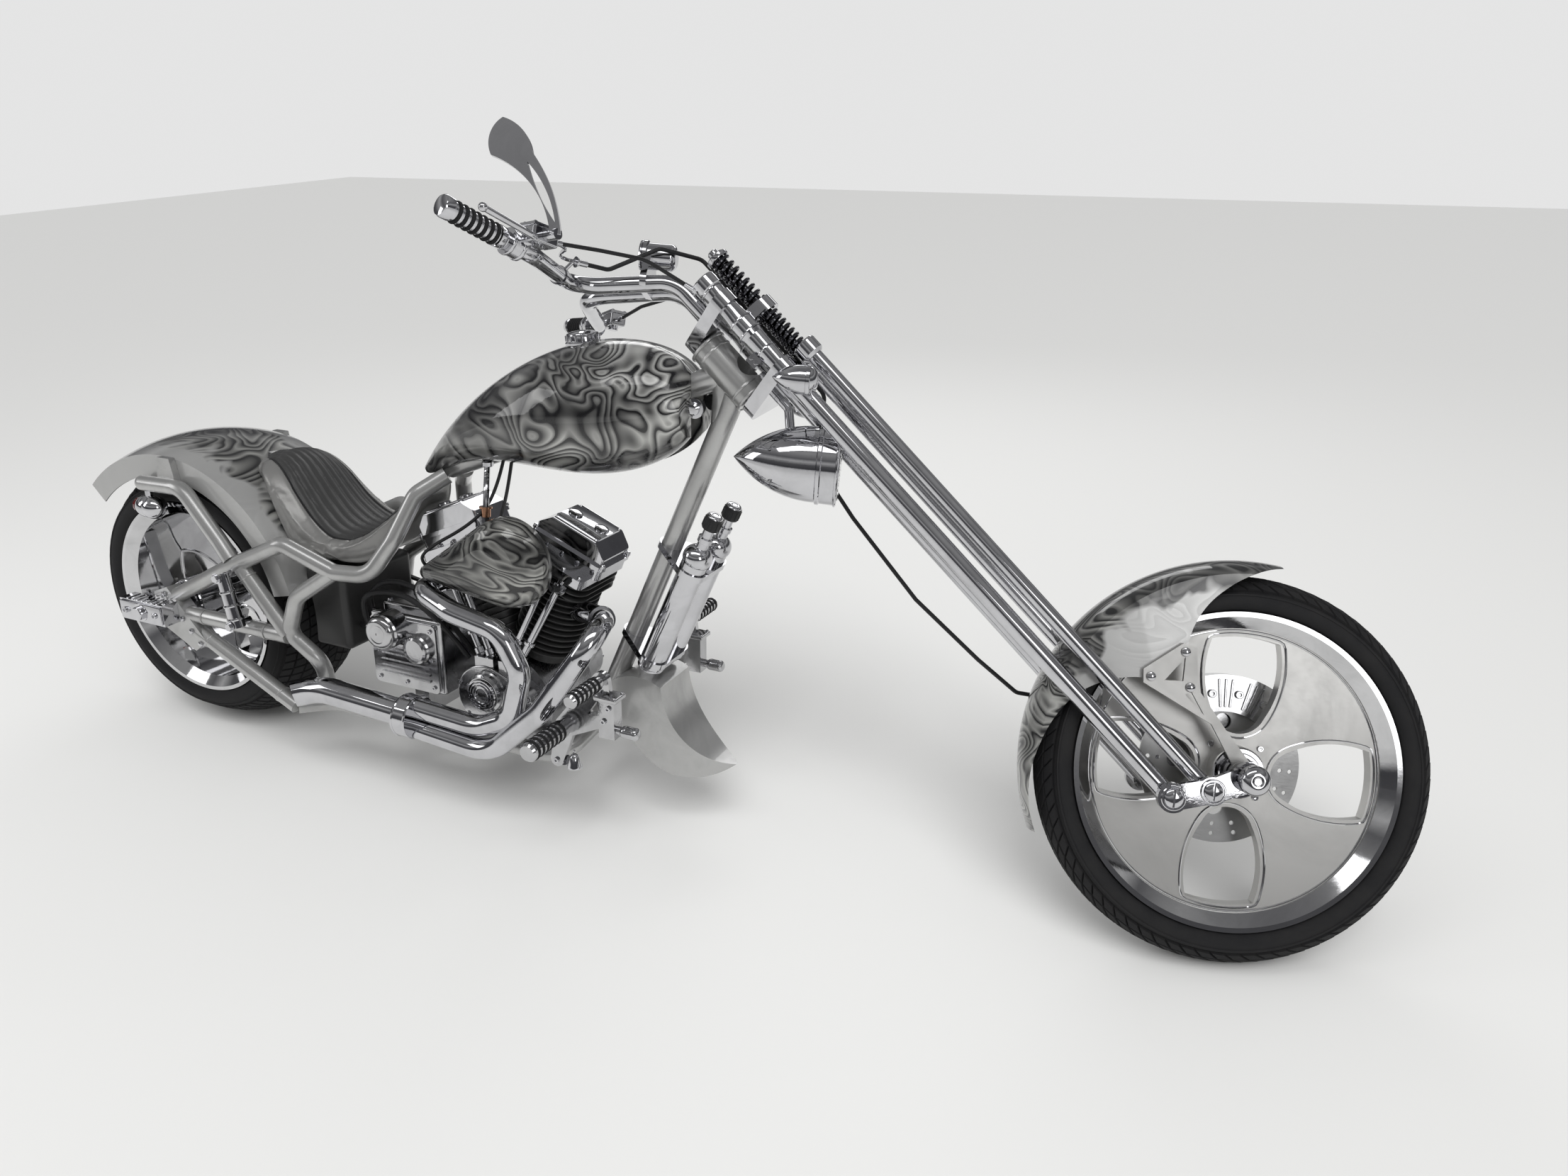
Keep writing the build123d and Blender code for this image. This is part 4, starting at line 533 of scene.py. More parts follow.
def smudge_effect() -> bpy.types.NodeTree:
    """Handling marks and fine waviness: a mask and a height on Object coordinates."""

    def build(graph: Graph, given: Node, out: Node) -> None:
        """Noise at two sizes."""
        place = graph.place()
        broad = graph.add("ShaderNodeTexNoise", Detail=5.0, Roughness=0.62, Distortion=0.6)
        fine = graph.add("ShaderNodeTexNoise", Detail=3.0)
        graph.link(given.outputs["Scale"], broad.inputs["Scale"])
        finer = graph.arithmetic("MULTIPLY", given.outputs["Scale"], 14.0)
        graph.link(finer, fine.inputs["Scale"])
        for noise in (broad, fine):
            graph.link(place, noise.inputs["Vector"])
        graph.link(graph.spread(broad.outputs["Fac"], 0.0, 1.0, 0.42, 0.68), out.inputs["Mask"])
        graph.link(fine.outputs["Fac"], out.inputs["Height"])

    return effect("handling_marks", [("Scale", 14.0)], ["Mask", "Height"], build)


def smoke_effect() -> bpy.types.NodeTree:
    """Airbrushed strands: one saw-tooth shade for each contour of a stirred field."""

    def build(graph: Graph, given: Node, out: Node) -> None:
        """Contours of one noise, and clouds of another that dim them."""
        place = graph.place()
        flow = graph.add("ShaderNodeMapping", Scale=(0.6, 1.0, 1.0))
        graph.link(place, flow.inputs["Vector"])
        stirred = graph.add("ShaderNodeTexNoise", Detail=1.0, Roughness=0.35)
        for name in ("Scale", "Distortion"):
            graph.link(given.outputs[name], stirred.inputs[name])
        cloud = graph.add("ShaderNodeTexNoise", Scale=5.0, Detail=2.0, Distortion=0.8)
        for noise in (stirred, cloud):
            graph.link(flow.outputs[0], noise.inputs["Vector"])
        count = graph.arithmetic("MULTIPLY", stirred.outputs["Fac"], given.outputs["Contours"])
        graph.link(graph.arithmetic("FRACT", count), out.inputs["Shade"])
        graph.link(graph.spread(cloud.outputs["Fac"], 0.0, 1.0, 0.36, 0.62), out.inputs["Cloud"])

    return effect("airbrushed_strands", [("Scale", 5.0), ("Distortion", 1.6), ("Contours", 16.0)],
                  ["Shade", "Cloud"], build)


def grain_effect() -> bpy.types.NodeTree:
    """Fine grain: small cells and soft wrinkles, as a height and a mask."""

    def build(graph: Graph, given: Node, out: Node) -> None:
        """Cells for the grain and noise for the wrinkles."""
        place = graph.place()
        cells = graph.add("ShaderNodeTexVoronoi", feature="DISTANCE_TO_EDGE")
        wrinkle = graph.add("ShaderNodeTexNoise", Scale=22.0, Detail=6.0, Roughness=0.6)
        graph.link(given.outputs["Scale"], cells.inputs["Scale"])
        for node in (cells, wrinkle):
            graph.link(place, node.inputs["Vector"])
        pores = graph.spread(cells.outputs["Distance"], 0.0, 1.0, 0.0, 0.14)
        height = graph.arithmetic("MULTIPLY_ADD", pores, 0.6, wrinkle.outputs["Fac"])
        graph.link(height, out.inputs["Height"])
        graph.link(graph.spread(wrinkle.outputs["Fac"], 0.0, 1.0, 0.4, 0.7), out.inputs["Mask"])

    return effect("fine_grain", [("Scale", 900.0)], ["Height", "Mask"], build)


# ---- Finishes --------------------


@dataclass(frozen=True)
class Finish:
    """A surface finish; each kind draws its own material.

    Attributes:
        name: Name of the material.
        slot: The record's material slot that it belongs to; not used.
        colour: Base colour, linear.
        roughness: Lowest and highest roughness.
    """

    name: str
    slot: str
    colour: Colour
    roughness: Tuple[float, float]

    def draw(self, graph: Graph, shader: Node) -> None:
        """Feeds the shader's sockets; plain finishes only vary in roughness."""
        marks = graph.add("ShaderNodeGroup", node_tree=smudge_effect(), Scale=14.0)
        self.roughen(graph, shader, marks.outputs["Mask"])
        graph.fill(shader, Base_Color=(*self.colour, 1.0))

    def roughen(self, graph: Graph, shader: Node, mask: Socket) -> None:
        """Spreads a mask over the finish's roughness."""
        graph.link(graph.spread(mask, *self.roughness), shader.inputs["Roughness"])

    def material(self) -> bpy.types.Material:
        """The material, built the first time and reused after that."""
        found = bpy.data.materials.get(self.name)
        if found:
            return found
        made = bpy.data.materials.new(self.name)
        made.use_nodes = True
        graph = Graph(made.node_tree)
        self.draw(graph, graph.surface())
        return made


@dataclass(frozen=True)
class Metal(Finish):
    """Bare or plated metal.

    Attributes:
        marks: Scale of the handling marks, per metre.
        wave: Strength of the fine waviness.
        grain: Depth of brushing lines, 0 for a polished face.
        grain_scale: Scale of the brushing lines, per metre.
    """

    marks: float = 14.0
    wave: float = 0.02
    grain: float = 0.0
    grain_scale: float = 260.0

    def draw(self, graph: Graph, shader: Node) -> None:
        """Plated shine with handling marks, and brushing where it is asked for."""
        graph.fill(shader, Metallic=1.0)
        marks = graph.add("ShaderNodeGroup", node_tree=smudge_effect(), Scale=self.marks)
        tint = graph.mix(marks.outputs["Mask"], self.colour,
                         tuple(channel * 0.86 for channel in self.colour))
        graph.link(tint, shader.inputs["Base Color"])
        rough = graph.spread(marks.outputs["Mask"], *self.roughness)
        height = marks.outputs["Height"]
        if self.grain:
            lines = graph.add("ShaderNodeTexNoise", Scale=self.grain_scale, Detail=2.0)
            squeeze = graph.add("ShaderNodeMapping", Scale=(0.04, 1.0, 1.0))
            graph.link(graph.place(), squeeze.inputs["Vector"])
            graph.link(squeeze.outputs[0], lines.inputs["Vector"])
            rough = graph.arithmetic("MULTIPLY_ADD", lines.outputs["Fac"], self.grain, rough)
            height = lines.outputs["Fac"]
        graph.link(rough, shader.inputs["Roughness"])
        graph.bump(shader, height, self.wave, 0.001)


@dataclass(frozen=True)
class Enamel(Finish):
    """Paint under clear lacquer, with fine flake.

    Attributes:
        flake: How much the flake lightens the colour.
        metallic: Share of metal in the paint.
        coat: Weight of the lacquer.
    """

    flake: float = 0.0
    metallic: float = 0.0
    coat: float = 1.0

    def draw(self, graph: Graph, shader: Node) -> None:
        """Colour with flake and soft mottling under a coat."""
        graph.fill(shader, Metallic=self.metallic, Coat_Weight=self.coat, Coat_Roughness=0.06)
        marks = graph.add("ShaderNodeGroup", node_tree=smudge_effect(), Scale=9.0)
        flakes = graph.add("ShaderNodeTexVoronoi", Scale=2200.0)
        graph.link(graph.place(), flakes.inputs["Vector"])
        sparkle = graph.spread(flakes.outputs["Distance"], self.flake, 0.0, 0.0, 0.35)
        base = graph.mix(marks.outputs["Mask"], self.colour,
                         tuple(channel * 0.8 for channel in self.colour))
        bright = tuple(min(1.0, channel * 2.2 + 0.05) for channel in self.colour)
        graph.link(graph.mix(sparkle, base, bright), shader.inputs["Base Color"])
        self.roughen(graph, shader, marks.outputs["Mask"])


@dataclass(frozen=True)
class SmokePaint(Finish):
    """Airbrushed strands in silver and black under thick lacquer.

    Attributes:
        scale: Scale of the field that the strands follow, per metre.
        curl: How strongly it is stirred.
        contours: Number of strands between the lowest and highest of the field.
        pale: Colour of the palest strand.
        silver: Colour of the bare ground, where the paint has zones.
        body: Body whose wheel the zones are drawn about, if there are zones.
        inner: Radius from which the strands cover the silver.
        flame: Height of the flames along that edge.
    """

    scale: float = 5.0
    curl: float = 1.6
    contours: float = 16.0
    pale: Colour = (0.42, 0.42, 0.40)
    silver: Colour = (0.40, 0.40, 0.395)
    body: Optional[Body] = None
    inner: float = 0.35
    flame: float = 0.06

    def draw(self, graph: Graph, shader: Node) -> None:
        """Silver strands with black shadows, and silver ground inside the edge."""
        smoke = graph.add("ShaderNodeGroup", node_tree=smoke_effect(), Scale=self.scale,
                          Distortion=self.curl, Contours=self.contours)
        dark = self.colour
        middle = tuple(a * 0.6 + b * 0.4 for a, b in zip(dark, self.pale))
        shade = graph.ramp(smoke.outputs["Shade"],
                           [(0.0, dark), (0.1, dark), (0.35, middle), (0.7, self.pale),
                            (0.9, middle), (0.96, dark), (1.0, dark)])
        shade = graph.mix(graph.spread(smoke.outputs["Cloud"], 0.0, 0.8), shade, dark)
        if self.body:
            shade = graph.mix(self.zone(graph), self.silver, shade)
        graph.link(shade, shader.inputs["Base Color"])
        self.roughen(graph, shader, smoke.outputs["Shade"])
        graph.fill(shader, Metallic=0.55, Coat_Weight=1.0, Coat_Roughness=0.03)

    def zone(self, graph: Graph) -> Socket:
        """Mask of the strands: 1 outside a flame-edged circle about the wheel."""
        front = self.body is Body.FRONT_END
        axle = STANCE.front_axle() if front else STANCE.rear_axle()
        wheel = Matrix.Translation(-axle) @ STANCE.matrix(self.body).inverted()
        turned = graph.add("ShaderNodeMapping", Location=wheel.translation,
                           Rotation=wheel.to_euler())
        flat = graph.add("ShaderNodeVectorMath", operation="MULTIPLY")
        flat.inputs[1].default_value = (1.0, 0.0, 1.0)
        radius = graph.add("ShaderNodeVectorMath", operation="LENGTH")
        lick = graph.add("ShaderNodeTexNoise", Scale=9.0, Detail=1.0, Distortion=2.0)
        graph.link(graph.place(), turned.inputs["Vector"])
        graph.link(turned.outputs[0], flat.inputs[0])
        graph.link(flat.outputs[0], radius.inputs[0])
        graph.link(turned.outputs[0], lick.inputs["Vector"])
        licks = graph.spread(lick.outputs["Fac"], -self.flame / 2, self.flame / 2, 0.3, 0.7)
        edge = graph.arithmetic("ADD", radius.outputs["Value"], licks)
        fade = self.flame * 0.25
        return graph.spread(edge, 0.0, 1.0, self.inner - fade, self.inner + fade)


@dataclass(frozen=True)
class Grained(Finish):
    """Leather, rubber or moulded plastic with a fine grain.

    Attributes:
        grain: Grain cells per metre.
        depth: Height of the grain in metres.
        dust: Colour that settles in the worn places.
        sheen: Weight of the soft sheen.
        metallic: Share of metal, for a metallised leather.
        shine: Strength of its reflections.
    """

    grain: float = 900.0
    depth: float = 0.0003
    dust: Colour = (0.1, 0.1, 0.1)
    sheen: float = 0.0
    metallic: float = 0.0
    shine: float = 0.3

    def draw(self, graph: Graph, shader: Node) -> None:
        """Grain as bump, with a little dust."""
        cells = graph.add("ShaderNodeGroup", node_tree=grain_effect(), Scale=self.grain)
        dusty = graph.mix(graph.spread(cells.outputs["Mask"], 0.0, 0.35), self.colour, self.dust)
        graph.link(dusty, shader.inputs["Base Color"])
        self.roughen(graph, shader, cells.outputs["Mask"])
        graph.bump(shader, cells.outputs["Height"], 0.6, self.depth)
        graph.fill(shader, Sheen_Weight=self.sheen, Metallic=self.metallic,
                   Specular_IOR_Level=self.shine)


@dataclass(frozen=True)
class Lens(Finish):
    """Clear or tinted lamp glass, as a bright gloss over its reflector."""

    def draw(self, graph: Graph, shader: Node) -> None:
        """Transmissive glass with a faint unevenness."""
        super().draw(graph, shader)
        graph.fill(shader, Transmission_Weight=0.85, IOR=1.5, Coat_Weight=0.5)


CHROME = Metal("chrome_plate", "chrome", (0.62, 0.62, 0.64), (0.03, 0.09))
DARK_CHROME = Metal("black_chrome", "black_chrome", (0.07, 0.07, 0.075), (0.08, 0.18))
CASTING = Metal("polished_casting", "chrome", (0.55, 0.55, 0.56), (0.1, 0.2), wave=0.12)
SATIN_METAL = Metal("satin_casting", "engine_metal", (0.36, 0.36, 0.37), (0.24, 0.38), wave=0.25)
CALIPER_METAL = Metal("machined_caliper", "caliper_metal", (0.5, 0.5, 0.51), (0.14, 0.24),
                      wave=0.1)
RIM_METAL = Metal("brushed_rim", "rim_metal", (0.60, 0.595, 0.58), (0.34, 0.42), marks=6.0,
                  grain=0.05, wave=0.03)
LIP_METAL = Metal("polished_lip", "rim_metal", (0.64, 0.64, 0.65), (0.04, 0.1))
BOTTLE_METAL = Metal("polished_bottle", "bottle_metal", (0.62, 0.62, 0.64), (0.05, 0.12))
DISC_STEEL = Metal("ground_disc", "disc_steel", (0.4, 0.4, 0.4), (0.25, 0.35), grain=0.1, wave=0.1)
FRAME_PAINT = Enamel("silver_enamel", "frame_metal", (0.43, 0.43, 0.425), (0.3, 0.4),
                     flake=0.3, metallic=0.75, coat=1.0)
ENGINE_BLACK = Enamel("engine_black", "engine_black", (0.012, 0.012, 0.013), (0.35, 0.5), coat=0.3)
TANK_PAINT = SmokePaint("smoke_tank", "tank_paint", (0.010, 0.010, 0.011), (0.25, 0.4),
                        scale=4.6, curl=2.6, contours=12.0, pale=(0.5, 0.5, 0.48))
REAR_FENDER_PAINT = SmokePaint("smoke_rear_fender", "fender_paint", (0.012, 0.012, 0.013),
                               (0.28, 0.4), scale=4.0, curl=2.2, body=Body.FRAME,
                               inner=0.376, flame=0.016)
FENDER_PAINT = SmokePaint("smoke_front_fender", "fender_paint", (0.012, 0.012, 0.013), (0.28, 0.4),
                          scale=5.5, curl=2.2, body=Body.FRONT_END, inner=0.334, flame=0.06)
EGG_PAINT = SmokePaint("smoke_egg", "air_cleaner_paint", (0.012, 0.012, 0.012), (0.22, 0.4),
                       scale=7.0, curl=2.0, contours=10.0, pale=(0.52, 0.52, 0.49))
TYRE_RUBBER = Grained("tyre_rubber", "tyre", (0.013, 0.013, 0.014), (0.66, 0.82),
                      grain=700.0, dust=(0.03, 0.029, 0.028), shine=0.2)
SEAT_LEATHER = Grained("seat_leather", "seat_leather", (0.009, 0.0085, 0.0085), (0.36, 0.5),
                       grain=1100.0, depth=0.0003, dust=(0.016, 0.016, 0.016), shine=0.22)
SEAT_SIDES = Grained("seat_sides", "seat_leather", (0.26, 0.258, 0.252), (0.32, 0.36),
                     grain=900.0, depth=0.00005, dust=(0.245, 0.243, 0.238), metallic=0.6)
COPPER = Metal("copper_fitting", "engine_metal", (0.50, 0.27, 0.17), (0.14, 0.26))
GLASS = Lens("clear_lens", "chrome", (0.9, 0.9, 0.9), (0.02, 0.05))
RED_GLASS = Lens("red_lens", "chrome", (0.5, 0.02, 0.015), (0.03, 0.08))
PALE_MARK = Enamel("pale_mark", "chrome", (0.7, 0.7, 0.68), (0.4, 0.5), coat=0.0)
SOFT_BLACK = Grained("black_moulding", "cable_black", (0.012, 0.012, 0.013), (0.35, 0.5),
                     grain=1500.0, depth=0.0001, dust=(0.022, 0.022, 0.022))

NODE_FINISHES: Dict[Finish, Sequence[str]] = {
    CHROME: ["fork_rear_legs", "fork_front_legs", "fork_rockers", "front_axle", "rocker_boxes",
             "pushrod_tubes", "exhaust_headers", "rear_axle", "rear_dampers", "handlebar",
             "bar_controls", "gauge_clamp", "headlight", "front_marker_lamps",
             "rear_marker_lamps", "fuel_cap", "side_stand", "bottle_clamps", "mirror"],
    CASTING: ["foot_controls", "gearbox", "cam_chest"],
    SOFT_BLACK: ["control_cables", "brake_hose", "drive_belt"],
    SATIN_METAL: ["engine_cases", "primary_cover"],
    CALIPER_METAL: ["front_caliper"],
    RIM_METAL: ["front_rim", "rear_pulley", "front_fender_brackets"],
    LIP_METAL: ["rear_rim"],
    BOTTLE_METAL: ["bottles"],
    DISC_STEEL: ["front_brake_disc"],
    FRAME_PAINT: ["frame_neck", "frame_down_tube", "cradle_rails", "frame_right_truss",
                  "frame_left_truss", "fender_struts", "chin_scoop", "stand_lug"],
    ENGINE_BLACK: ["cylinders", "oil_tank"],
    TANK_PAINT: ["fuel_tank"],
    REAR_FENDER_PAINT: ["rear_fender"],
    FENDER_PAINT: ["front_fender"],
    EGG_PAINT: ["air_cleaner"],
}


# ---- Pieces --------------------


def linked(name: str, data: bpy.types.ID) -> bpy.types.Object:
    """A new object in the scene, at the origin."""
    made = bpy.data.objects.new(name, data)
    bpy.context.scene.collection.objects.link(made)
    return made


def piece(name: str, bm: Shape, body: Body, finish: Finish,
          replaces: Sequence[str] = (), sharp: float = SHARP_ANGLE) -> bpy.types.Object:
    """Turns a drawn mesh into a finished piece on its body.

    Args:
        name: Name of the piece.
        bm: Its mesh on the upright, straight machine; it is used up.
        body: Body that it rides on.
        finish: Its finish.
        replaces: CAD nodes that it stands for.
        sharp: Angle from which an edge stays sharp.

    Returns:
        The object, at the origin, with its place in its mesh.
    """
    moved(bm, STANCE.matrix(body))
    for face in bm.faces:
        face.smooth = True
    mesh = bpy.data.meshes.new(name)
    bm.to_mesh(mesh)
    bm.free()
    mesh.set_sharp_from_angle(angle=sharp)
    made = linked(name, mesh)
    mesh.materials.append(finish.material())
    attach(made, body.value)
    if replaces:
        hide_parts(*replaces)
    LOG.info("%s: %d faces on %s", name, len(mesh.polygons), body.value)
    return made


def dress_nodes() -> None:
    """Gives every CAD node the finish of its material."""
    for finish, names in NODE_FINISHES.items():
        for name in names:
            node = frame["nodes"][name]
            node.data.materials.clear()
            node.data.materials.append(finish.material())
            LOG.info("%s: %s", name, finish.name)


# ---- Wheels --------------------


def about_axle(bm: Shape, centre: Vector) -> Shape:
    """A mesh turned about Z, put on an axle along Y."""
    return stood(bm, centre, LEFT)


def opening(inner: float, outer: float, halves: Tuple[float, float, float],
            steps: int = 7) -> List[Tuple[float, float]]:
    """Outline of one wheel opening.

    Args:
        inner: Radius of its point towards the hub.
        outer: Radius of its rounded outer side.
        halves: Half widths near the hub, in the middle and at the outer corners.
        steps: Points on each of the four arcs.

    Returns:
        Points in the wheel's plane, the opening centred on +X.
    """
    near, middle, far = halves
    flank, side = inner + 0.03, math.sqrt(outer ** 2 - far ** 2)
    mid = (flank + side) / 2
    arcs = [arc((flank, -near), (mid, -middle), (side, -far), steps),
            arc((side, -far), (outer, 0.0), (side, far), steps),
            arc((side, far), (mid, middle), (flank, near), steps),
            arc((flank, near), (inner, 0.0), (flank, -near), steps)]
    return [point for line in arcs for point in line[:-1]]


@dataclass(frozen=True)
class Tyre:
    """Tyre with angled blocks over its crown and ribs on its walls.

    Attributes:
        name: Name of the CAD node that it stands for.
        body: Body that it rides on.
        radius: Radius over the tread.
        crown: Radius of the tread across.
        shoulder: Half width of the tread.
        half_width: Half width of the walls.
        lip: Radius of the rim's lip.
        rim_half: Half width of the rim.
        steps: Blocks round the tyre.
        bands: Blocks across it.
        slant: How far the blocks lean, in steps for each band.
        depth: Depth of the tread.
        groove: Half width of the grooves between the blocks.
    """

    name: str
    body: Body
    radius: float
    crown: float
    shoulder: float
    half_width: float
    lip: float
    rim_half: float
    steps: int
    bands: int
    slant: float = 0.45
    depth: float = 0.0035
    groove: float = 0.0018

    def outline(self) -> Outline:
        """Half section from bead to bead, with the tread's floor as its crown."""
        reach = math.asin(self.shoulder / self.crown)
        middle, floor = self.radius - self.crown, self.crown - self.depth
        crown = [(middle + floor * math.cos(angle), floor * math.sin(angle))
                 for angle in (reach * (2 * band / self.bands - 1)
                               for band in range(self.bands + 1))]
        edge, bead = (self.lip + 0.003, self.rim_half - 0.002), self.rim_half - 0.0095
        bulge = ((crown[0][0] + self.lip) / 2 + 0.002, self.half_width - 0.0012)
        wall = arc(edge, bulge, (crown[-1][0], crown[-1][1]), 9)[:-1]
        rib = wall[6]
        wall[6:7] = [rib, (rib[0] + 0.001, rib[1] + 0.0012), (rib[0] + 0.004, rib[1] + 0.0008)]
        foot = [(self.lip - 0.015, bead), (self.lip + 0.001, bead)]
        left = [(r, -y) for r, y in foot + wall]
        return left + crown + (foot + wall)[::-1]

    def build(self, centre: Vector) -> None:
        """Makes the tyre about an axle."""
        bm = ring(self.outline(), self.steps)
        turn = 2 * math.pi / self.steps
        for vert in bm.verts:
            share = abs(vert.co.z) / self.shoulder * self.bands / 2
            if vert.co.xy.length > self.lip + 0.02 and abs(vert.co.z) < self.shoulder + 0.001:
                vert.co.rotate(Matrix.Rotation(share * self.slant * turn, 3, "Z"))
        reach = self.shoulder * 0.999
        blocks = [face for face in bm.faces if abs(face.calc_center_median().z) < reach
                  and face.calc_center_median().xy.length > self.radius - self.crown * 0.5
                  and max(abs(vert.co.z) for vert in face.verts) < self.shoulder * 1.01]
        bmesh.ops.inset_individual(bm, faces=blocks, thickness=self.groove, depth=self.depth,
                                   use_even_offset=True)
        piece(self.name + "_tread", about_axle(bm, centre), self.body, TYRE_RUBBER,
              replaces=[self.name])


@dataclass(frozen=True)
class WheelTrim:
    """Raised beads, hub cap, bolts and valve on one wheel's plate.

    Attributes:
        name: Name of the trim.
        body: Body that it rides on.
        hole: Inner radius, outer radius and half widths of its openings.
        faces: Side of each face of its plate, the right one first.
        lip: Radius of the rim's lips and half of their distance apart.
        hub: Radius and side of the hub's right end.
        bolt_circle: Radius of the circle of the plate's bolts.
        valve_angle: Where the valve is on the barrel.
    """

    name: str
    body: Body
    hole: Tuple[float, float, Tuple[float, float, float]]
    faces: Tuple[float, ...]
    lip: Tuple[float, float]
    hub: Tuple[float, float]
    bolt_circle: float = 0.062
    valve_angle: float = math.radians(52)

    def beads(self, centre: Vector) -> Shape:
        """Round beads along the openings and near the barrel."""
        inner, outer, halves = self.hole
        grown = opening(inner - 0.008, outer + 0.006, tuple(half + 0.007 for half in halves))
        parts = []
        for side in self.faces:
            for quarter in range(4):
                angle = quarter * math.pi / 2
                line = [(x * math.cos(angle) - z * math.sin(angle), side,
                         x * math.sin(angle) + z * math.cos(angle)) for x, z in grown]
                parts.append(pipe(line, 0.0021, 8, closed=True, ease=2))
            around = round_ring(outer + 0.0115, 0.002, 0.002, 96)
            parts.append(about_axle(around, Vector((0.0, side, 0.0))))
        return placed(joined(parts), centre)

    def lips(self, centre: Vector) -> Shape:
        """Polished stepped lip inside each edge of the rim."""
        radius, half = self.lip
        parts = []
        for side in (-1, 1):
            outline = [(radius - 0.0295, 0.0), (radius - 0.028, 0.0008), (radius - 0.0245, 0.001),
                       (radius - 0.0235, 0.0032), (radius - 0.0195, 0.0036),
                       (radius - 0.0185, 0.0062), (radius - 0.015, 0.0064),
                       (radius - 0.015, 0.002), (radius - 0.0295, -0.002)]
            bm = ring([(r, side * (h + half - 0.0195)) for r, h in outline], 128)
            parts.append(about_axle(bm, Vector((0.0, 0.0, 0.0))))
        return placed(joined(parts), centre)

    def hub_cap(self, centre: Vector) -> Shape:
        """Stepped cap with screws on the hub's right end, the plate's bolts and the valve."""
        radius, side = self.hub
        cap = lathe([(0.017, 0.0), (radius - 0.001, 0.0), (radius - 0.003, 0.003),
                     (radius * 0.8, 0.0035), (radius * 0.76, 0.006), (0.022, 0.0065),
                     (0.017, 0.005), (0.017, 0.0)], 48)
        parts = [stood(cap, (0.0, side, 0.0), RIGHT)]
        screws = [(x, side - 0.0062, z) for x, z in compass(4, radius * 0.62, math.pi / 4)]
        parts.append(bolts(screws, RIGHT, BoltHead.SOCKET, 0.0042))
        face = self.faces[0]
        heads = [(x, face, z) for x, z in compass(4, self.bolt_circle, math.pi / 4)]
        parts.append(bolts(heads, RIGHT, BoltHead.SOCKET, 0.0055))
        reach, angle = self.lip[0] - 0.031, self.valve_angle
        foot = Vector((reach * math.cos(angle), face * 0.4, reach * math.sin(angle)))
        inward = -foot.normalized()
        parts.append(rod(foot, foot + inward * 0.03, 0.003, 10, 0.0005))
        parts.append(rod(foot + inward * 0.026, foot + inward * 0.037, 0.0042, 10, 0.001))
        return placed(joined(parts), centre)

    def build(self, centre: Vector) -> None:
        """Makes the trim about an axle."""
        piece(self.name + "_beads", self.beads(centre), self.body, LIP_METAL)
        piece(self.name + "_lips", self.lips(centre), self.body, LIP_METAL)
        piece(self.name + "_hub_cap", self.hub_cap(centre), self.body, CHROME)


def polish_barrel(node: str, centre: Vector, body: Body, inner: float) -> None:
    """Polishes a rim's barrel and lips, outside a radius, and leaves its plate brushed."""
    rim = frame["nodes"][node]
    rim.data.materials.append(LIP_METAL.material())
    back = STANCE.matrix(body).inverted() @ rim.matrix_world
    for face in rim.data.polygons:
        spot = back @ face.center - centre
        if math.hypot(spot.x, spot.z) > inner:
            face.material_index = len(rim.data.materials) - 1


def build_wheels() -> None:
    """Tyres and trim of both wheels."""
    front, rear = STANCE.front_axle(), STANCE.rear_axle()
    polish_barrel("front_rim", front, Body.FRONT_WHEEL, 0.252)
    Tyre("front_tyre", Body.FRONT_WHEEL, 0.350, 0.062, 0.050, 0.061, 0.285, 0.050,
         steps=76, bands=6, slant=0.9, depth=0.0045).build(front)
    Tyre("rear_tyre", Body.REAR_WHEEL, 0.333, 0.190, 0.122, 0.140, 0.239, 0.133,
         steps=76, bands=10, slant=0.5, depth=0.0045, groove=0.0022).build(rear)
    WheelTrim("front_wheel", Body.FRONT_WHEEL, (0.066, 0.240, (0.044, 0.066, 0.060)),
              (-0.027, -0.001), (0.285, 0.050), (0.046, -0.060)).build(front)
    WheelTrim("rear_wheel", Body.REAR_WHEEL, (0.074, 0.202, (0.034, 0.050, 0.046)),
              (0.013, 0.047), (0.239, 0.133), (0.052, -0.148)).build(rear)


# ---- Fork and front end --------------------


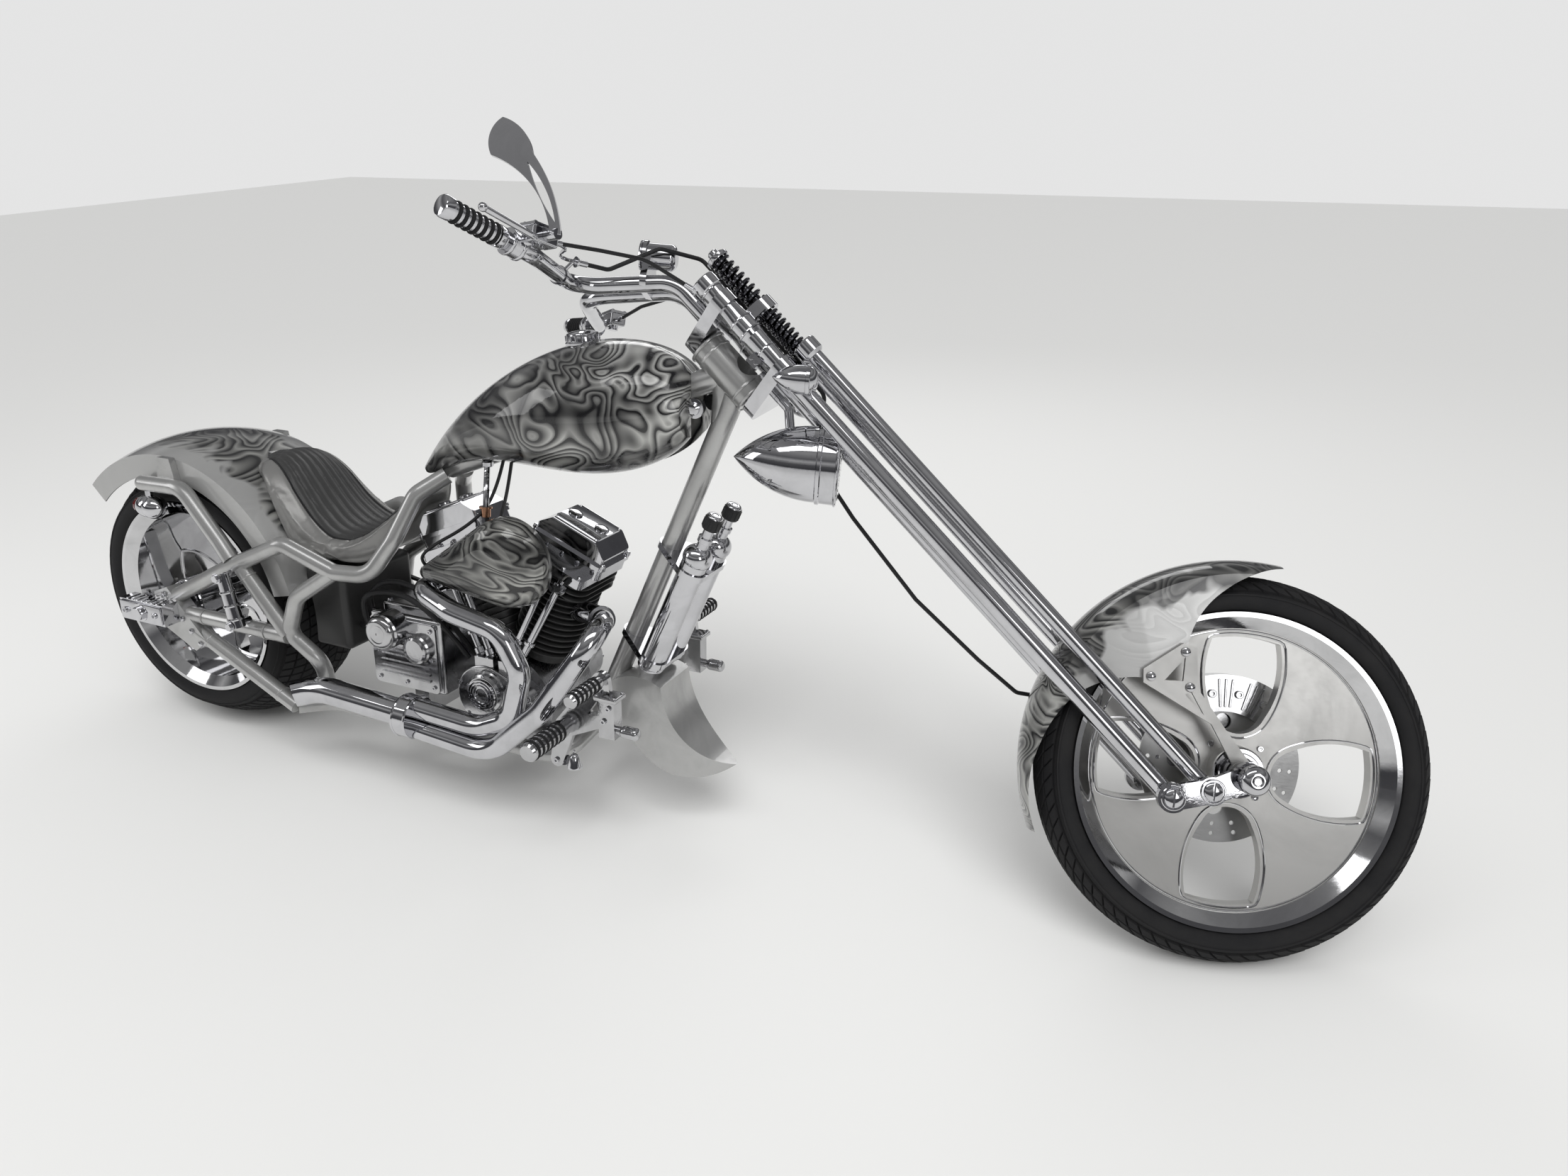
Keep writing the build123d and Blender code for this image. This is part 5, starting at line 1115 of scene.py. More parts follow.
@dataclass(frozen=True)
class Coil:
    """Wound spring with closed ends, along Z from the origin.

    Attributes:
        radius: Outer radius.
        wire: Radius of the wire.
        length: Length over its ends.
        turns: Number of turns.
    """

    radius: float
    wire: float
    length: float
    turns: int = 7

    def mesh(self) -> Shape:
        """The wound wire, closed at both ends."""
        bm = bmesh.new()
        bmesh.ops.create_circle(bm, segments=8, radius=self.wire)
        steps = 20 * self.turns
        rise = self.length - 2 * self.wire
        place = (Matrix.Translation((self.radius - self.wire, 0.0, self.wire))
                 @ Matrix.Rotation(math.pi / 2, 4, "X"))
        bmesh.ops.transform(bm, matrix=place, verts=bm.verts)
        bmesh.ops.spin(bm, geom=bm.verts[:] + bm.edges[:], cent=(0, 0, 0), axis=(0, 0, 1),
                       dvec=(0, 0, rise / steps), angle=2 * math.pi * self.turns, steps=steps)
        ends = [edge for edge in bm.edges if len(edge.link_faces) == 1]
        bmesh.ops.holes_fill(bm, edges=ends, sides=8)
        bmesh.ops.recalc_face_normals(bm, faces=bm.faces)
        return bm

    def collars(self) -> Shape:
        """Guide rod with a ribbed collar at each end."""
        core = self.radius - 2 * self.wire - 0.002
        parts = [rod((0, 0, 0), (0, 0, self.length), core * 0.7, 20)]
        for low in (0.0, self.length - 0.012):
            rim = core + 0.0012
            outline = [(0, low), (rim, low)]
            for rib in range(4):
                step = low + 0.0015 + rib * 0.0027
                outline += [(rim, step), (rim - 0.001, step + 0.0007), (rim, step + 0.0014)]
            parts.append(lathe(outline + [(rim, low + 0.012), (0, low + 0.012)], 28))
        return joined(parts)


@dataclass(frozen=True)
class Fork:
    """Finer pieces of the springer fork.

    Attributes:
        spring_spans: Heights of the ends of each spring.
        spring_ahead: Distance of the springs from the steering axis.
        spring_side: Half of their distance apart.
        leg_side: Half of the legs' distance apart.
        leg_ahead: Distance of the rear legs from the steering axis.
        rings: Height and radius of each ridge round a leg.
        hose_ends: Each end of the brake hose, and the next point inwards.
        cable_ends: The same of the left cable, which the right one mirrors.
        brake_pipe: Line of the pipe from the hose to the right control block.
        clip: Where the hose's clip holds the right bar.
        bar_way: Direction of the right bar at the clip.
    """

    spring_spans: Tuple[Tuple[float, float], ...] = ((1.0823, 1.1717), (1.1983, 1.3057))
    spring_ahead: float = 0.118
    spring_side: float = 0.050
    leg_side: float = 0.088
    leg_ahead: float = 0.068
    rings: Outline = ((1.262, 0.0228), (1.186, 0.0252), (1.160, 0.0252), (1.118, 0.0205),
                      (1.070, 0.0188))
    hose_ends: Tuple[Tuple[Point, Point], ...] = (((1.098, -0.120, 1.126), (1.150, -0.070, 1.130)),
                                                  ((2.352, 0.080, 0.496), (2.240, 0.112, 0.470)))
    cable_ends: Tuple[Tuple[Point, Point], ...] = (((1.094, 0.270, 1.114), (1.160, 0.190, 1.130)),
                                                   ((1.322, 0.092, 1.098), (1.229, 0.130, 1.138)))
    brake_pipe: Tuple[Point, ...] = (
        (1.105, -0.113, 1.1266), (1.079, -0.138, 1.1245), (1.092, -0.185, 1.121),
        (1.119, -0.232, 1.118), (1.094, -0.268, 1.117))
    clip: Point = (1.0733, -0.116, 1.0998)
    bar_way: Point = (-0.084, -0.996, -0.028)

    def springs(self) -> None:
        """Wound springs with their guide rods, and a cap on each upper one."""
        coils, cores, caps = [], [], []
        for side in (-1, 1):
            for low, high in self.spring_spans:
                coil = Coil(0.020, 0.0036, high - low)
                foot = STANCE.fork(low, self.spring_ahead, side * self.spring_side)
                place = toward(foot, STANCE.up_axis())
                coils.append(moved(coil.mesh(), place))
                cores.append(moved(coil.collars(), place))
            top = STANCE.fork(self.spring_spans[-1][1], self.spring_ahead, side * self.spring_side)
            cap = lathe([(0, 0), (0.021, 0), (0.022, 0.002), (0.022, 0.008), (0.018, 0.011),
                         (0.011, 0.012), (0.011, 0.019), (0.008, 0.022), (0, 0.023)], 32)
            caps.append(stood(cap, top, STANCE.up_axis()))
        piece("fork_coils", joined(coils), Body.FRONT_END, DARK_CHROME, replaces=["fork_springs"])
        piece("spring_guides", joined(cores), Body.FRONT_END, DARK_CHROME)
        piece("spring_caps", joined(caps), Body.FRONT_END, CHROME)

    def leg_rings(self) -> Shape:
        """Ridges round the leg sleeves, screws in their clamps and bolts on the yoke."""
        parts = []
        for side in (-1, 1):
            for height, radius in self.rings:
                spot = STANCE.fork(height, self.leg_ahead, side * self.leg_side)
                ridge = round_ring(radius - 0.0006, 0.0016, 0.0022, 40)
                parts.append(stood(ridge, spot, STANCE.up_axis()))
            for height in (1.110, 1.122):
                spot = STANCE.fork(height, self.leg_ahead - 0.029, side * (self.leg_side + 0.012))
                parts.append(stood(bolt(BoltHead.SOCKET, 0.0042), spot, sided(LEFT, side)))
            spot = STANCE.fork(1.0711, 0.143, side * 0.060)
            parts.append(stood(bolt(BoltHead.DOME, 0.0075), spot, STANCE.ahead()))
        return joined(parts)

    def rocker_bolts(self) -> Shape:
        """Big domed slotted bolts on both rockers, with their washers."""
        axle = STANCE.front_axle()
        up, ahead = STANCE.up_axis(), STANCE.ahead()
        spots = [axle + up * 0.061 - ahead * 0.120, axle + up * 0.025 - ahead * 0.062]

        def head() -> Shape:
            """One bolt with a slot, along Z."""
            bm = lathe([(0, 0), (0.0215, 0), (0.0215, 0.0022), (0.0200, 0.0034), (0.0188, 0.0034),
                        (0.0180, 0.0018), (0.0168, 0.0018), (0.0160, 0.0050), (0.0140, 0.0068),
                        (0.0070, 0.0082), (0, 0.0084)], 40)
            for offset in (-0.0017, 0.0017):
                bmesh.ops.bisect_plane(bm, geom=bm.verts[:] + bm.edges[:] + bm.faces[:],
                                       plane_co=(0, offset, 0), plane_no=(0, 1, 0))
            trench = [face for face in bm.faces if abs(face.calc_center_median().y) < 0.0017
                      and face.calc_center_median().z > 0.004 and face.normal.z > 0.2]
            sunk = bmesh.ops.extrude_face_region(bm, geom=trench)["geom"]
            floor = [item for item in sunk if isinstance(item, bmesh.types.BMVert)]
            for vert in floor:
                vert.co.z = min(vert.co.z, 0.0040)
            bmesh.ops.delete(bm, geom=trench, context="FACES_ONLY")
            return bm

        parts = []
        for spot in spots:
            for side in (-1, 1):
                foot = (spot.x, side * 0.1211, spot.z)
                parts.append(stood(head(), foot, sided(LEFT, side)))
        return joined(parts)

    def lamps(self) -> None:
        """Reflector, ring and ribbed glass of the headlamp, and the small lamps' glasses."""
        axle = STANCE.front_axle()
        face = axle + Vector((-0.759, 0.0, 0.474))
        bowl = lathe([(0, -0.001), (0.02, -0.001), (0.05, 0.0004), (0.0635, 0.0012),
                      (0.0635, 0.0), (0, -0.0018)], 48)
        piece("headlamp_reflector", stood(bowl, face, FORWARDS), Body.FRONT_END, LIP_METAL)
        bezel = round_ring(0.0735, 0.0026, 0.0026, 64)
        piece("headlamp_bezel", stood(bezel, face - Vector((0.004, 0, 0)), FORWARDS),
              Body.FRONT_END, CHROME)
        ribs = joined([placed(slab((0.122 - 0.02 * abs(k), 0.0014, 0.0016), 0.0004, 1),
                              (0.0, 0.011 * k, 0.0)) for k in range(-4, 5)])
        piece("headlamp_glass", stood(ribs, face + Vector((0.0008, 0, 0)), FORWARDS, UPWARDS),
              Body.FRONT_END, GLASS)
        parts = []
        for side in (-1, 1):
            spot = STANCE.fork(1.036, 0.068, side * 0.135) + Vector((0.0275, 0.0, 0.0))
            dome = lathe([(0, 0), (0.0235, 0), (0.0225, 0.005), (0.016, 0.0105), (0, 0.0132)], 28)
            parts.append(stood(dome, spot, FORWARDS))
        piece("marker_glasses", joined(parts), Body.FRONT_END, GLASS)

    @twinned
    def brackets(self) -> Shape:
        """Domed bolts on the arms of the front fender."""
        axle = STANCE.front_axle()
        spots = [axle + Vector((dx, -0.0805, dz))
                 for dx, dz in ((-0.174, 0.154), (-0.119, 0.203), (-0.105, 0.142))]
        return bolts(spots, RIGHT, BoltHead.DOME, 0.0085)

    def caliper(self) -> Shape:
        """Bolts and ribs on the face of the caliper that looks to the right."""
        axle = STANCE.front_axle()
        parts = []
        for degrees in (62, 83, 104):
            angle = math.radians(degrees)
            spot = axle + Vector((0.134 * math.cos(angle), 0.0302, 0.134 * math.sin(angle)))
            parts.append(stood(bolt(BoltHead.SOCKET, 0.0075), spot, RIGHT))
        for degrees in (68, 72.5, 77, 89, 93.5, 98):
            angle = math.radians(degrees)
            place = (Matrix.Translation(axle + Vector((0.0, 0.0295, 0.0)))
                     @ Matrix.Rotation(-angle, 4, "Y") @ Matrix.Translation((0.134, 0.0, 0.0)))
            parts.append(moved(slab((0.052, 0.0035, 0.0042), 0.001, 1), place))
        return joined(parts)

    def line_ends(self) -> None:
        """Crimped sleeves on the hose and cables, and the pipe from the hose to its block."""
        hose_end = Vector(self.hose_ends[0][0])
        ends = [(Vector(end), Vector(inward), 0.0055) for end, inward in self.hose_ends]
        for side in (-1, 1):
            ends += [(sided(end, side), sided(inward, side), 0.0050)
                     for end, inward in self.cable_ends]
        sleeves = []
        for end, inward, radius in ends:
            run = (inward - end).normalized()
            sleeves.append(rod(end, end + run * 0.028, radius, 16, 0.001))
            nut = bolt(BoltHead.HEX, radius * 1.4, 0.006)
            sleeves.append(stood(nut, end + run * 0.004, run))
        bar = Vector(self.clip)
        band = ring([(0.0158, -0.005), (0.0176, -0.005), (0.0176, 0.005), (0.0158, 0.005)], 32)
        sleeves.append(stood(band, bar, self.bar_way))
        sleeves.append(rod(bar + (hose_end - bar) * 0.42, hose_end, 0.0035, 12, 0.001))
        piece("line_sleeves", joined(sleeves), Body.FRONT_END, CHROME)
        piece("brake_pipe", pipe(self.brake_pipe, 0.0034, 12), Body.FRONT_END, CHROME)

    def build(self) -> None:
        """Makes every finer piece of the fork."""
        self.line_ends()
        self.springs()
        piece("leg_rings", self.leg_rings(), Body.FRONT_END, CHROME)
        piece("rocker_bolts", self.rocker_bolts(), Body.FRONT_END, CHROME)
        piece("fender_arm_bolts", self.brackets(), Body.FRONT_END, CHROME)
        piece("caliper_fins", self.caliper(), Body.FRONT_END, CALIPER_METAL)
        self.lamps()


@dataclass(frozen=True)
class Bars:
    """Grips, the controls' screws and the gauge on the handlebar.

    Attributes:
        root: Inner end of the left grip.
        end: Outer end of the left grip.
        radius: Radius of the grip.
        rings: Rubber rings on a grip.
        gauge_spot: Middle of the gauge's face.
    """

    root: Point = (1.028, 0.300, 1.104)
    end: Point = (0.959, 0.400, 1.120)
    radius: float = 0.019
    rings: int = 7
    gauge_spot: Point = (1.1960, 0.0, 1.181)

    def line(self, side: int) -> Tuple[Vector, Vector, float]:
        """Root, direction and length of one grip."""
        root = sided(self.root, side)
        along = sided(self.end, side) - root
        return root, along.normalized(), along.length

    def grips(self) -> None:
        """Machined grips with rows of rubber rings and domed caps."""
        metal, rubber = [], []
        for side in (-1, 1):
            root, along, length = self.line(side)
            place = toward(root, along)
            floor, full = self.radius - 0.003, self.radius
            outline = [(0, 0.0004), (full - 0.001, 0.0004), (full, 0.002), (full, 0.012),
                       (floor, 0.0135), (floor, length - 0.020), (full, length - 0.0185),
                       (full, length - 0.006), (full - 0.002, length - 0.002),
                       (full - 0.007, length - 0.0002), (0, length)]
            metal.append(moved(lathe(outline, 40), place))
            pitch = (length - 0.036) / self.rings
            for index in range(self.rings):
                low = 0.016 + index * pitch
                bead = ring([(floor - 0.0008, low), (full - 0.0006, low + 0.0008),
                             (full, low + 0.002), (full, low + pitch * 0.34),
                             (full - 0.0006, low + pitch * 0.44),
                             (floor - 0.0008, low + pitch * 0.46)], 32)
                rubber.append(moved(bead, place))
        piece("grip_tubes", joined(metal), Body.FRONT_END, CHROME, replaces=["grips"])
        piece("grip_rings", joined(rubber), Body.FRONT_END, TYRE_RUBBER)

    def control_trim(self) -> Shape:
        """Screws in the fluid blocks' lids, and collars by the grips."""
        parts = []
        for side in (-1, 1):
            root, along, _ = self.line(side)
            centre = root - along * 0.022 + Vector((0.044, 0.0, 0.016))
            flat = Vector((along.x, along.y, 0.0)).normalized()
            across = Vector((-flat.y, flat.x, 0.0))
            for run in (-1, 1):
                for wide in (-1, 1):
                    spot = centre + flat * 0.022 * run + across * 0.013 * wide
                    spot += Vector((0.0, 0.0, 0.0165))
                    parts.append(stood(bolt(BoltHead.SOCKET, 0.0032), spot, UPWARDS))
            for run in (0.011, 0.033):
                band = collar(0.0158, 0.0232, 0.0238, -0.003, 0.003, 0.001, 32)
                parts.append(stood(band, root - along * run, along))
        return joined(parts)

    def gauge(self) -> None:
        """Ring, dial, marks and needle of the gauge, facing the rider."""
        place = toward(self.gauge_spot, REARWARDS)
        rim = ring([(0.0245, 0.0), (0.029, 0.0), (0.0295, 0.0015), (0.0275, 0.0045),
                    (0.0245, 0.004)], 48)
        piece("gauge_ring", moved(rim, place), Body.FRONT_END, CHROME)
        dial = lathe([(0, 0.0008), (0.0246, 0.0008), (0.0246, 0.0), (0, 0.0)], 48)
        piece("gauge_dial", moved(dial, place), Body.FRONT_END, SOFT_BLACK)
        ticks = []
        for tick in range(13):
            angle = math.radians(-120 + 20 * tick)
            turn = Matrix.Rotation(angle, 4, "Z")
            ticks.append(moved(slab((0.0035, 0.0008, 0.0004)),
                               turn @ Matrix.Translation((0.0205, 0.0, 0.001))))
        ticks.append(moved(slab((0.019, 0.0012, 0.0005)),
                           Matrix.Rotation(math.radians(-100), 4, "Z")
                           @ Matrix.Translation((0.008, 0.0, 0.0016))))
        piece("gauge_marks", moved(joined(ticks), place), Body.FRONT_END, PALE_MARK)

    def build(self) -> None:
        """Makes the finer pieces on the bars."""
        self.grips()
        piece("control_trim", self.control_trim(), Body.FRONT_END, CHROME)
        self.gauge()


# ---- Frame, tank and seat --------------------


@dataclass(frozen=True)
class Chassis:
    """Rings, weld beads, bolts and lenses on the bare frame.

    Attributes:
        neck_rings: Height and radius of each ring on the head tube.
        axle_plate: Ends of the row of bolts on the right axle plate.
        block: Middle of the right axle block's cover.
        welds: Place and direction of each weld bead on the right truss.
        damper_foot: Lower end of the right damper's body.
        damper_way: Direction up the damper.
        lamp: Back of the right rear lamp.
    """

    neck_rings: Outline = ((1.089, 0.0375), (1.215, 0.0375), (1.108, 0.0355), (1.196, 0.0355))
    axle_plate: Tuple[Point, Point] = ((0.004, -0.2082, 0.372), (0.100, -0.2082, 0.262))
    block: Point = (-0.028, -0.2505, 0.3337)
    welds: Tuple[Tuple[Point, Point], ...] = (
        ((0.110, -0.190, 0.3254), (1, 0, 0)), ((0.300, -0.187, 0.323), (1, 0, 0)),
        ((0.268, -0.189, 0.450), (0.5, 0, -0.6)), ((0.118, -0.190, 0.2673), (-0.9, 0, 0.42)),
        ((0.322, -0.190, 0.1708), (-0.9, 0, 0.42)))
    damper_foot: Point = (0.256, -0.2268, 0.340)
    damper_way: Point = (-0.026, 0.0, 0.122)
    lamp: Point = (-0.0705, -0.172, 0.570)

    def neck(self) -> Shape:
        """Bearing cups and weld beads on the head tube."""
        return joined([stood(round_ring(radius - 0.001, 0.0022, 0.003, 56),
                             STANCE.fork(height, 0.0), STANCE.up_axis())
                       for height, radius in self.neck_rings])

    @twinned
    def plate_bolts(self) -> Shape:
        """Domed bolts along the slanted axle plates, and screws in the axle blocks."""
        start, end = Vector(self.axle_plate[0]), Vector(self.axle_plate[1])
        spots = [start.lerp(end, k / 4) for k in range(5)]
        parts = [bolts(spots, RIGHT, BoltHead.DOME, 0.0068)]
        cover = slab((0.132, 0.005, 0.044), 0.0016, 2)
        parts.append(placed(cover, self.block))
        screws = [(-0.076, -0.253, 0.3337), (0.020, -0.253, 0.3337)]
        parts.append(bolts(screws, RIGHT, BoltHead.SOCKET, 0.0075))
        for rib in range(7):
            ridge = slab((0.006, 0.034, 0.003), 0.0009, 1)
            parts.append(placed(ridge, (-0.076 + rib * 0.016, -0.228, 0.3605)))
        nut = bolt(BoltHead.HEX, 0.017, 0.012)
        parts.append(stood(nut, (-0.028, -0.2525, 0.3337), RIGHT))
        return joined(parts)

    @twinned
    def dampers(self) -> Shape:
        """Rings and bolt heads of the rear dampers."""
        parts = []
        for x, z in ((0.252, 0.346), (0.232, 0.458)):
            parts.append(stood(bolt(BoltHead.HEX, 0.0095), (x, -0.2445, z), RIGHT))
        line = Vector(self.damper_way).normalized()
        for run, radius in ((0.020, 0.0178), (0.052, 0.0172), (0.084, 0.0164)):
            spot = Vector(self.damper_foot) + line * run
            bead = ring([(radius - 0.002, -0.003), (radius, -0.003), (radius + 0.001, 0.0),
                         (radius, 0.003), (radius - 0.002, 0.003)], 32)
            parts.append(stood(bead, spot, line))
        return joined(parts)

    @twinned
    def marker_lamps(self) -> Shape:
        """Red lenses of the teardrop lamps under the struts, looking rearwards."""
        dome = lathe([(0, 0), (0.0185, 0), (0.017, 0.006), (0.011, 0.0115), (0, 0.0142)], 28)
        return stood(dome, self.lamp, REARWARDS)

    @twinned
    def rail_trim(self) -> Shape:
        """Weld beads where the tubes of each truss meet."""
        return joined([stood(round_ring(0.0181, 0.0018, 0.0028, 36), spot, along)
                       for spot, along in self.welds])

    def build(self) -> None:
        """Makes the chassis trim."""
        piece("neck_beads", self.neck(), Body.FRAME, FRAME_PAINT)
        piece("axle_plate_bolts", self.plate_bolts(), Body.FRAME, CHROME)
        piece("truss_welds", self.rail_trim(), Body.FRAME, FRAME_PAINT)
        piece("damper_trim", self.dampers(), Body.FRAME, CHROME)
        piece("rear_marker_glasses", self.marker_lamps(), Body.FRAME, RED_GLASS)


@dataclass(frozen=True)
class Seat:
    """Padded saddle: black sewn middle, silver sides and piping between them.

    Attributes:
        node: CAD node that it stands for.
        voxel: Size of the remeshing.
        pressure: Pressure that swells it.
        cap: How far a point may move.
        start: How much smaller it starts.
        channels: Sewn channels on each side of its middle.
        middle: Place along the machine and half width of the black middle there.
        seam: Depth and half width of the seam round the middle.
        channel: Depth and half width of a channel.
    """

    node: str = "seat"
    voxel: float = 0.005
    pressure: float = 4.0
    cap: float = 0.007
    start: float = 0.003
    channels: int = 4
    middle: Outline = ((0.19, 0.030), (0.26, 0.066), (0.33, 0.088), (0.44, 0.100),
                       (0.54, 0.088), (0.60, 0.060), (0.68, 0.018))
    seam: Tuple[float, float] = (0.0045, 0.0045)
    channel: Tuple[float, float] = (0.0036, 0.0032)

    def half(self, x: float) -> float:
        """Half width of the black middle at a place along the machine."""
        for (x0, w0), (x1, w1) in zip(self.middle, self.middle[1:]):
            if x <= x1:
                share = max(0.0, (x - x0) / (x1 - x0))
                return w0 + (w1 - w0) * share
        return self.middle[-1][1]

    def padded_mesh(self) -> Shape:
        """The CAD seat's outside, remeshed, swelled and smoothed, in the frame."""
        node = frame["nodes"][self.node]
        bm = bmesh.new()
        bm.from_mesh(node.data)
        bmesh.ops.transform(bm, matrix=node.matrix_world, verts=bm.verts)
        bmesh.ops.remove_doubles(bm, verts=bm.verts, dist=1e-5)
        mesh = bpy.data.meshes.new("saddle")
        bm.to_mesh(mesh)
        bm.free()
        holder = linked("saddle", mesh)
        remesh = holder.modifiers.new("remesh", "REMESH")
        remesh.mode = "VOXEL"
        remesh.voxel_size = self.voxel
        shrink = holder.modifiers.new("shrink", "DISPLACE")
        shrink.strength, shrink.mid_level = -self.start, 0.0
        ease = holder.modifiers.new("ease", "SMOOTH")
        ease.factor, ease.iterations = 0.5, 6
        base = self.applied(holder)
        holder.modifiers.clear()
        holder.data = base
        start = [vert.co.copy() for vert in base.vertices]
        cloth = holder.modifiers.new("swell", "CLOTH")
        cloth.settings.use_pressure = True
        cloth.settings.uniform_pressure_force = self.pressure
        cloth.settings.effector_weights.gravity = 0.0
        for step in range(1, 21):
            bpy.context.scene.frame_set(step)
        swelled = self.applied(holder)
        holder.modifiers.clear()
        bpy.context.scene.frame_set(1)
        for vert, spot in zip(swelled.vertices, start):
            move = vert.co - spot
            if move.length > self.cap:
                move *= self.cap / move.length
            vert.co = spot + move
        holder.data = swelled
        found = bmesh.new()
        found.from_mesh(holder.data)
        bpy.data.objects.remove(holder)
        bmesh.ops.smooth_vert(found, verts=found.verts, factor=0.5)
        return found

    @staticmethod
    def applied(holder: bpy.types.Object) -> bpy.types.Mesh:
        """Mesh of an object with its modifiers applied."""
        graph = bpy.context.evaluated_depsgraph_get()
        graph.update()
        return bpy.data.meshes.new_from_object(holder.evaluated_get(graph))

    def sewn(self, bm: Shape) -> Shape:
        """Presses seams and channels into the swelled mesh, drawn upright."""
        for vert in bm.verts:
            x, side = vert.co.x, abs(vert.co.y)
            if vert.normal.z < 0.1:
                continue
            half = self.half(x)
            depth = self.seam[0] * math.exp(-((side - half) / self.seam[1]) ** 2)
            if side < half - 0.004:
                share = side / half * self.channels
                gap = abs(share - round(share)) * half / self.channels
                depth += self.channel[0] * math.exp(-(gap / self.channel[1]) ** 2)
            vert.co -= vert.normal * depth
        return bm

    def build(self) -> None:
        """Makes the seat's padding and piping."""
        place = STANCE.matrix(Body.FRAME)
        bm = moved(self.padded_mesh(), place.inverted())
        bm.normal_update()
        self.sewn(bm)
        bm.normal_update()
        tree = BVHTree.FromBMesh(bm)
        for face in bm.faces:
            spot = face.calc_center_median()
            inside = abs(spot.y) < self.half(spot.x) and face.normal.z > 0.05
            face.material_index = 0 if inside else 1
        made = piece("seat_padding", bm, Body.FRAME, SEAT_LEATHER, replaces=[self.node],
                     sharp=math.pi)
        made.data.materials.append(SEAT_SIDES.material())
        smooth = made.modifiers.new("smooth", "SUBSURF")
        smooth.levels = smooth.render_levels = 1
        lines = []
        for side in (-1, 1):
            points = []
            for step in range(25):
                x = 0.225 + step * 0.0178
                hit = tree.ray_cast(Vector((x, side * self.half(x), 1.2)), Vector((0, 0, -1)))
                if hit[0] is not None and hit[1].z > 0.25:
                    points.append(hit[0] + Vector((0.0, 0.0, 0.0008)))
            lines.append(pipe(points, 0.0026, 8))
        piece("seat_piping", joined(lines), Body.FRAME, SOFT_BLACK)


@dataclass(frozen=True)
class Tank:
    """Fuel cap and mounting bolts of the tank.

    Attributes:
        cap_foot: Middle of the cap's foot.
        cap_way: Direction that the cap faces.
        flutes: Flutes round the cap.
        lug: Middle of the left front lug.
    """

    cap_foot: Point = (1.0600, 0.0, 1.0065)
    cap_way: Point = (-0.0965, 0.0, 0.995)
    flutes: int = 18
    lug: Point = (1.330, 0.040, 0.912)

    def cap(self) -> None:
        """Domed cap with a fluted edge and a ring."""
        place = toward(self.cap_foot, self.cap_way)
        outline = [(0, 0), (0.0355, 0), (0.0358, 0.004), (0.034, 0.006), (0.033, 0.007),
                   (0.033, 0.018), (0.031, 0.0215), (0.020, 0.0255), (0, 0.0275)]
        parts = [moved(lathe(outline, 56), place)]
        for spot in compass(self.flutes, 0.0328):
            parts.append(moved(rod((*spot, 0.0075), (*spot, 0.0185), 0.0022, 8, 0.0008), place))
        piece("fuel_cap_cover", joined(parts), Body.FRAME, CHROME, replaces=["fuel_cap"])

    def mounts(self) -> None:
        """Domed bolts with bushings at the tank's front lugs."""
        parts, soft = [], []
        for side in (-1, 1):
            spot, way = sided(self.lug, side), sided(LEFT, side)
            soft.append(stood(lathe([(0, -0.012), (0.016, -0.012), (0.0165, -0.004),
                                     (0.0165, 0.004), (0, 0.004)], 28), spot, way))
            parts.append(stood(lathe([(0, 0.004), (0.019, 0.004), (0.019, 0.006), (0.013, 0.0068),
                                      (0.0125, 0.012), (0.009, 0.0155), (0, 0.017)], 28), spot,
                               way))
        piece("tank_bolts", joined(parts), Body.FRAME, CHROME)
        piece("tank_bushings", joined(soft), Body.FRAME, SOFT_BLACK)

    def build(self) -> None:
        """Makes the tank's pieces."""
        self.cap()
        self.mounts()


# ---- Engine, exhaust and controls --------------------


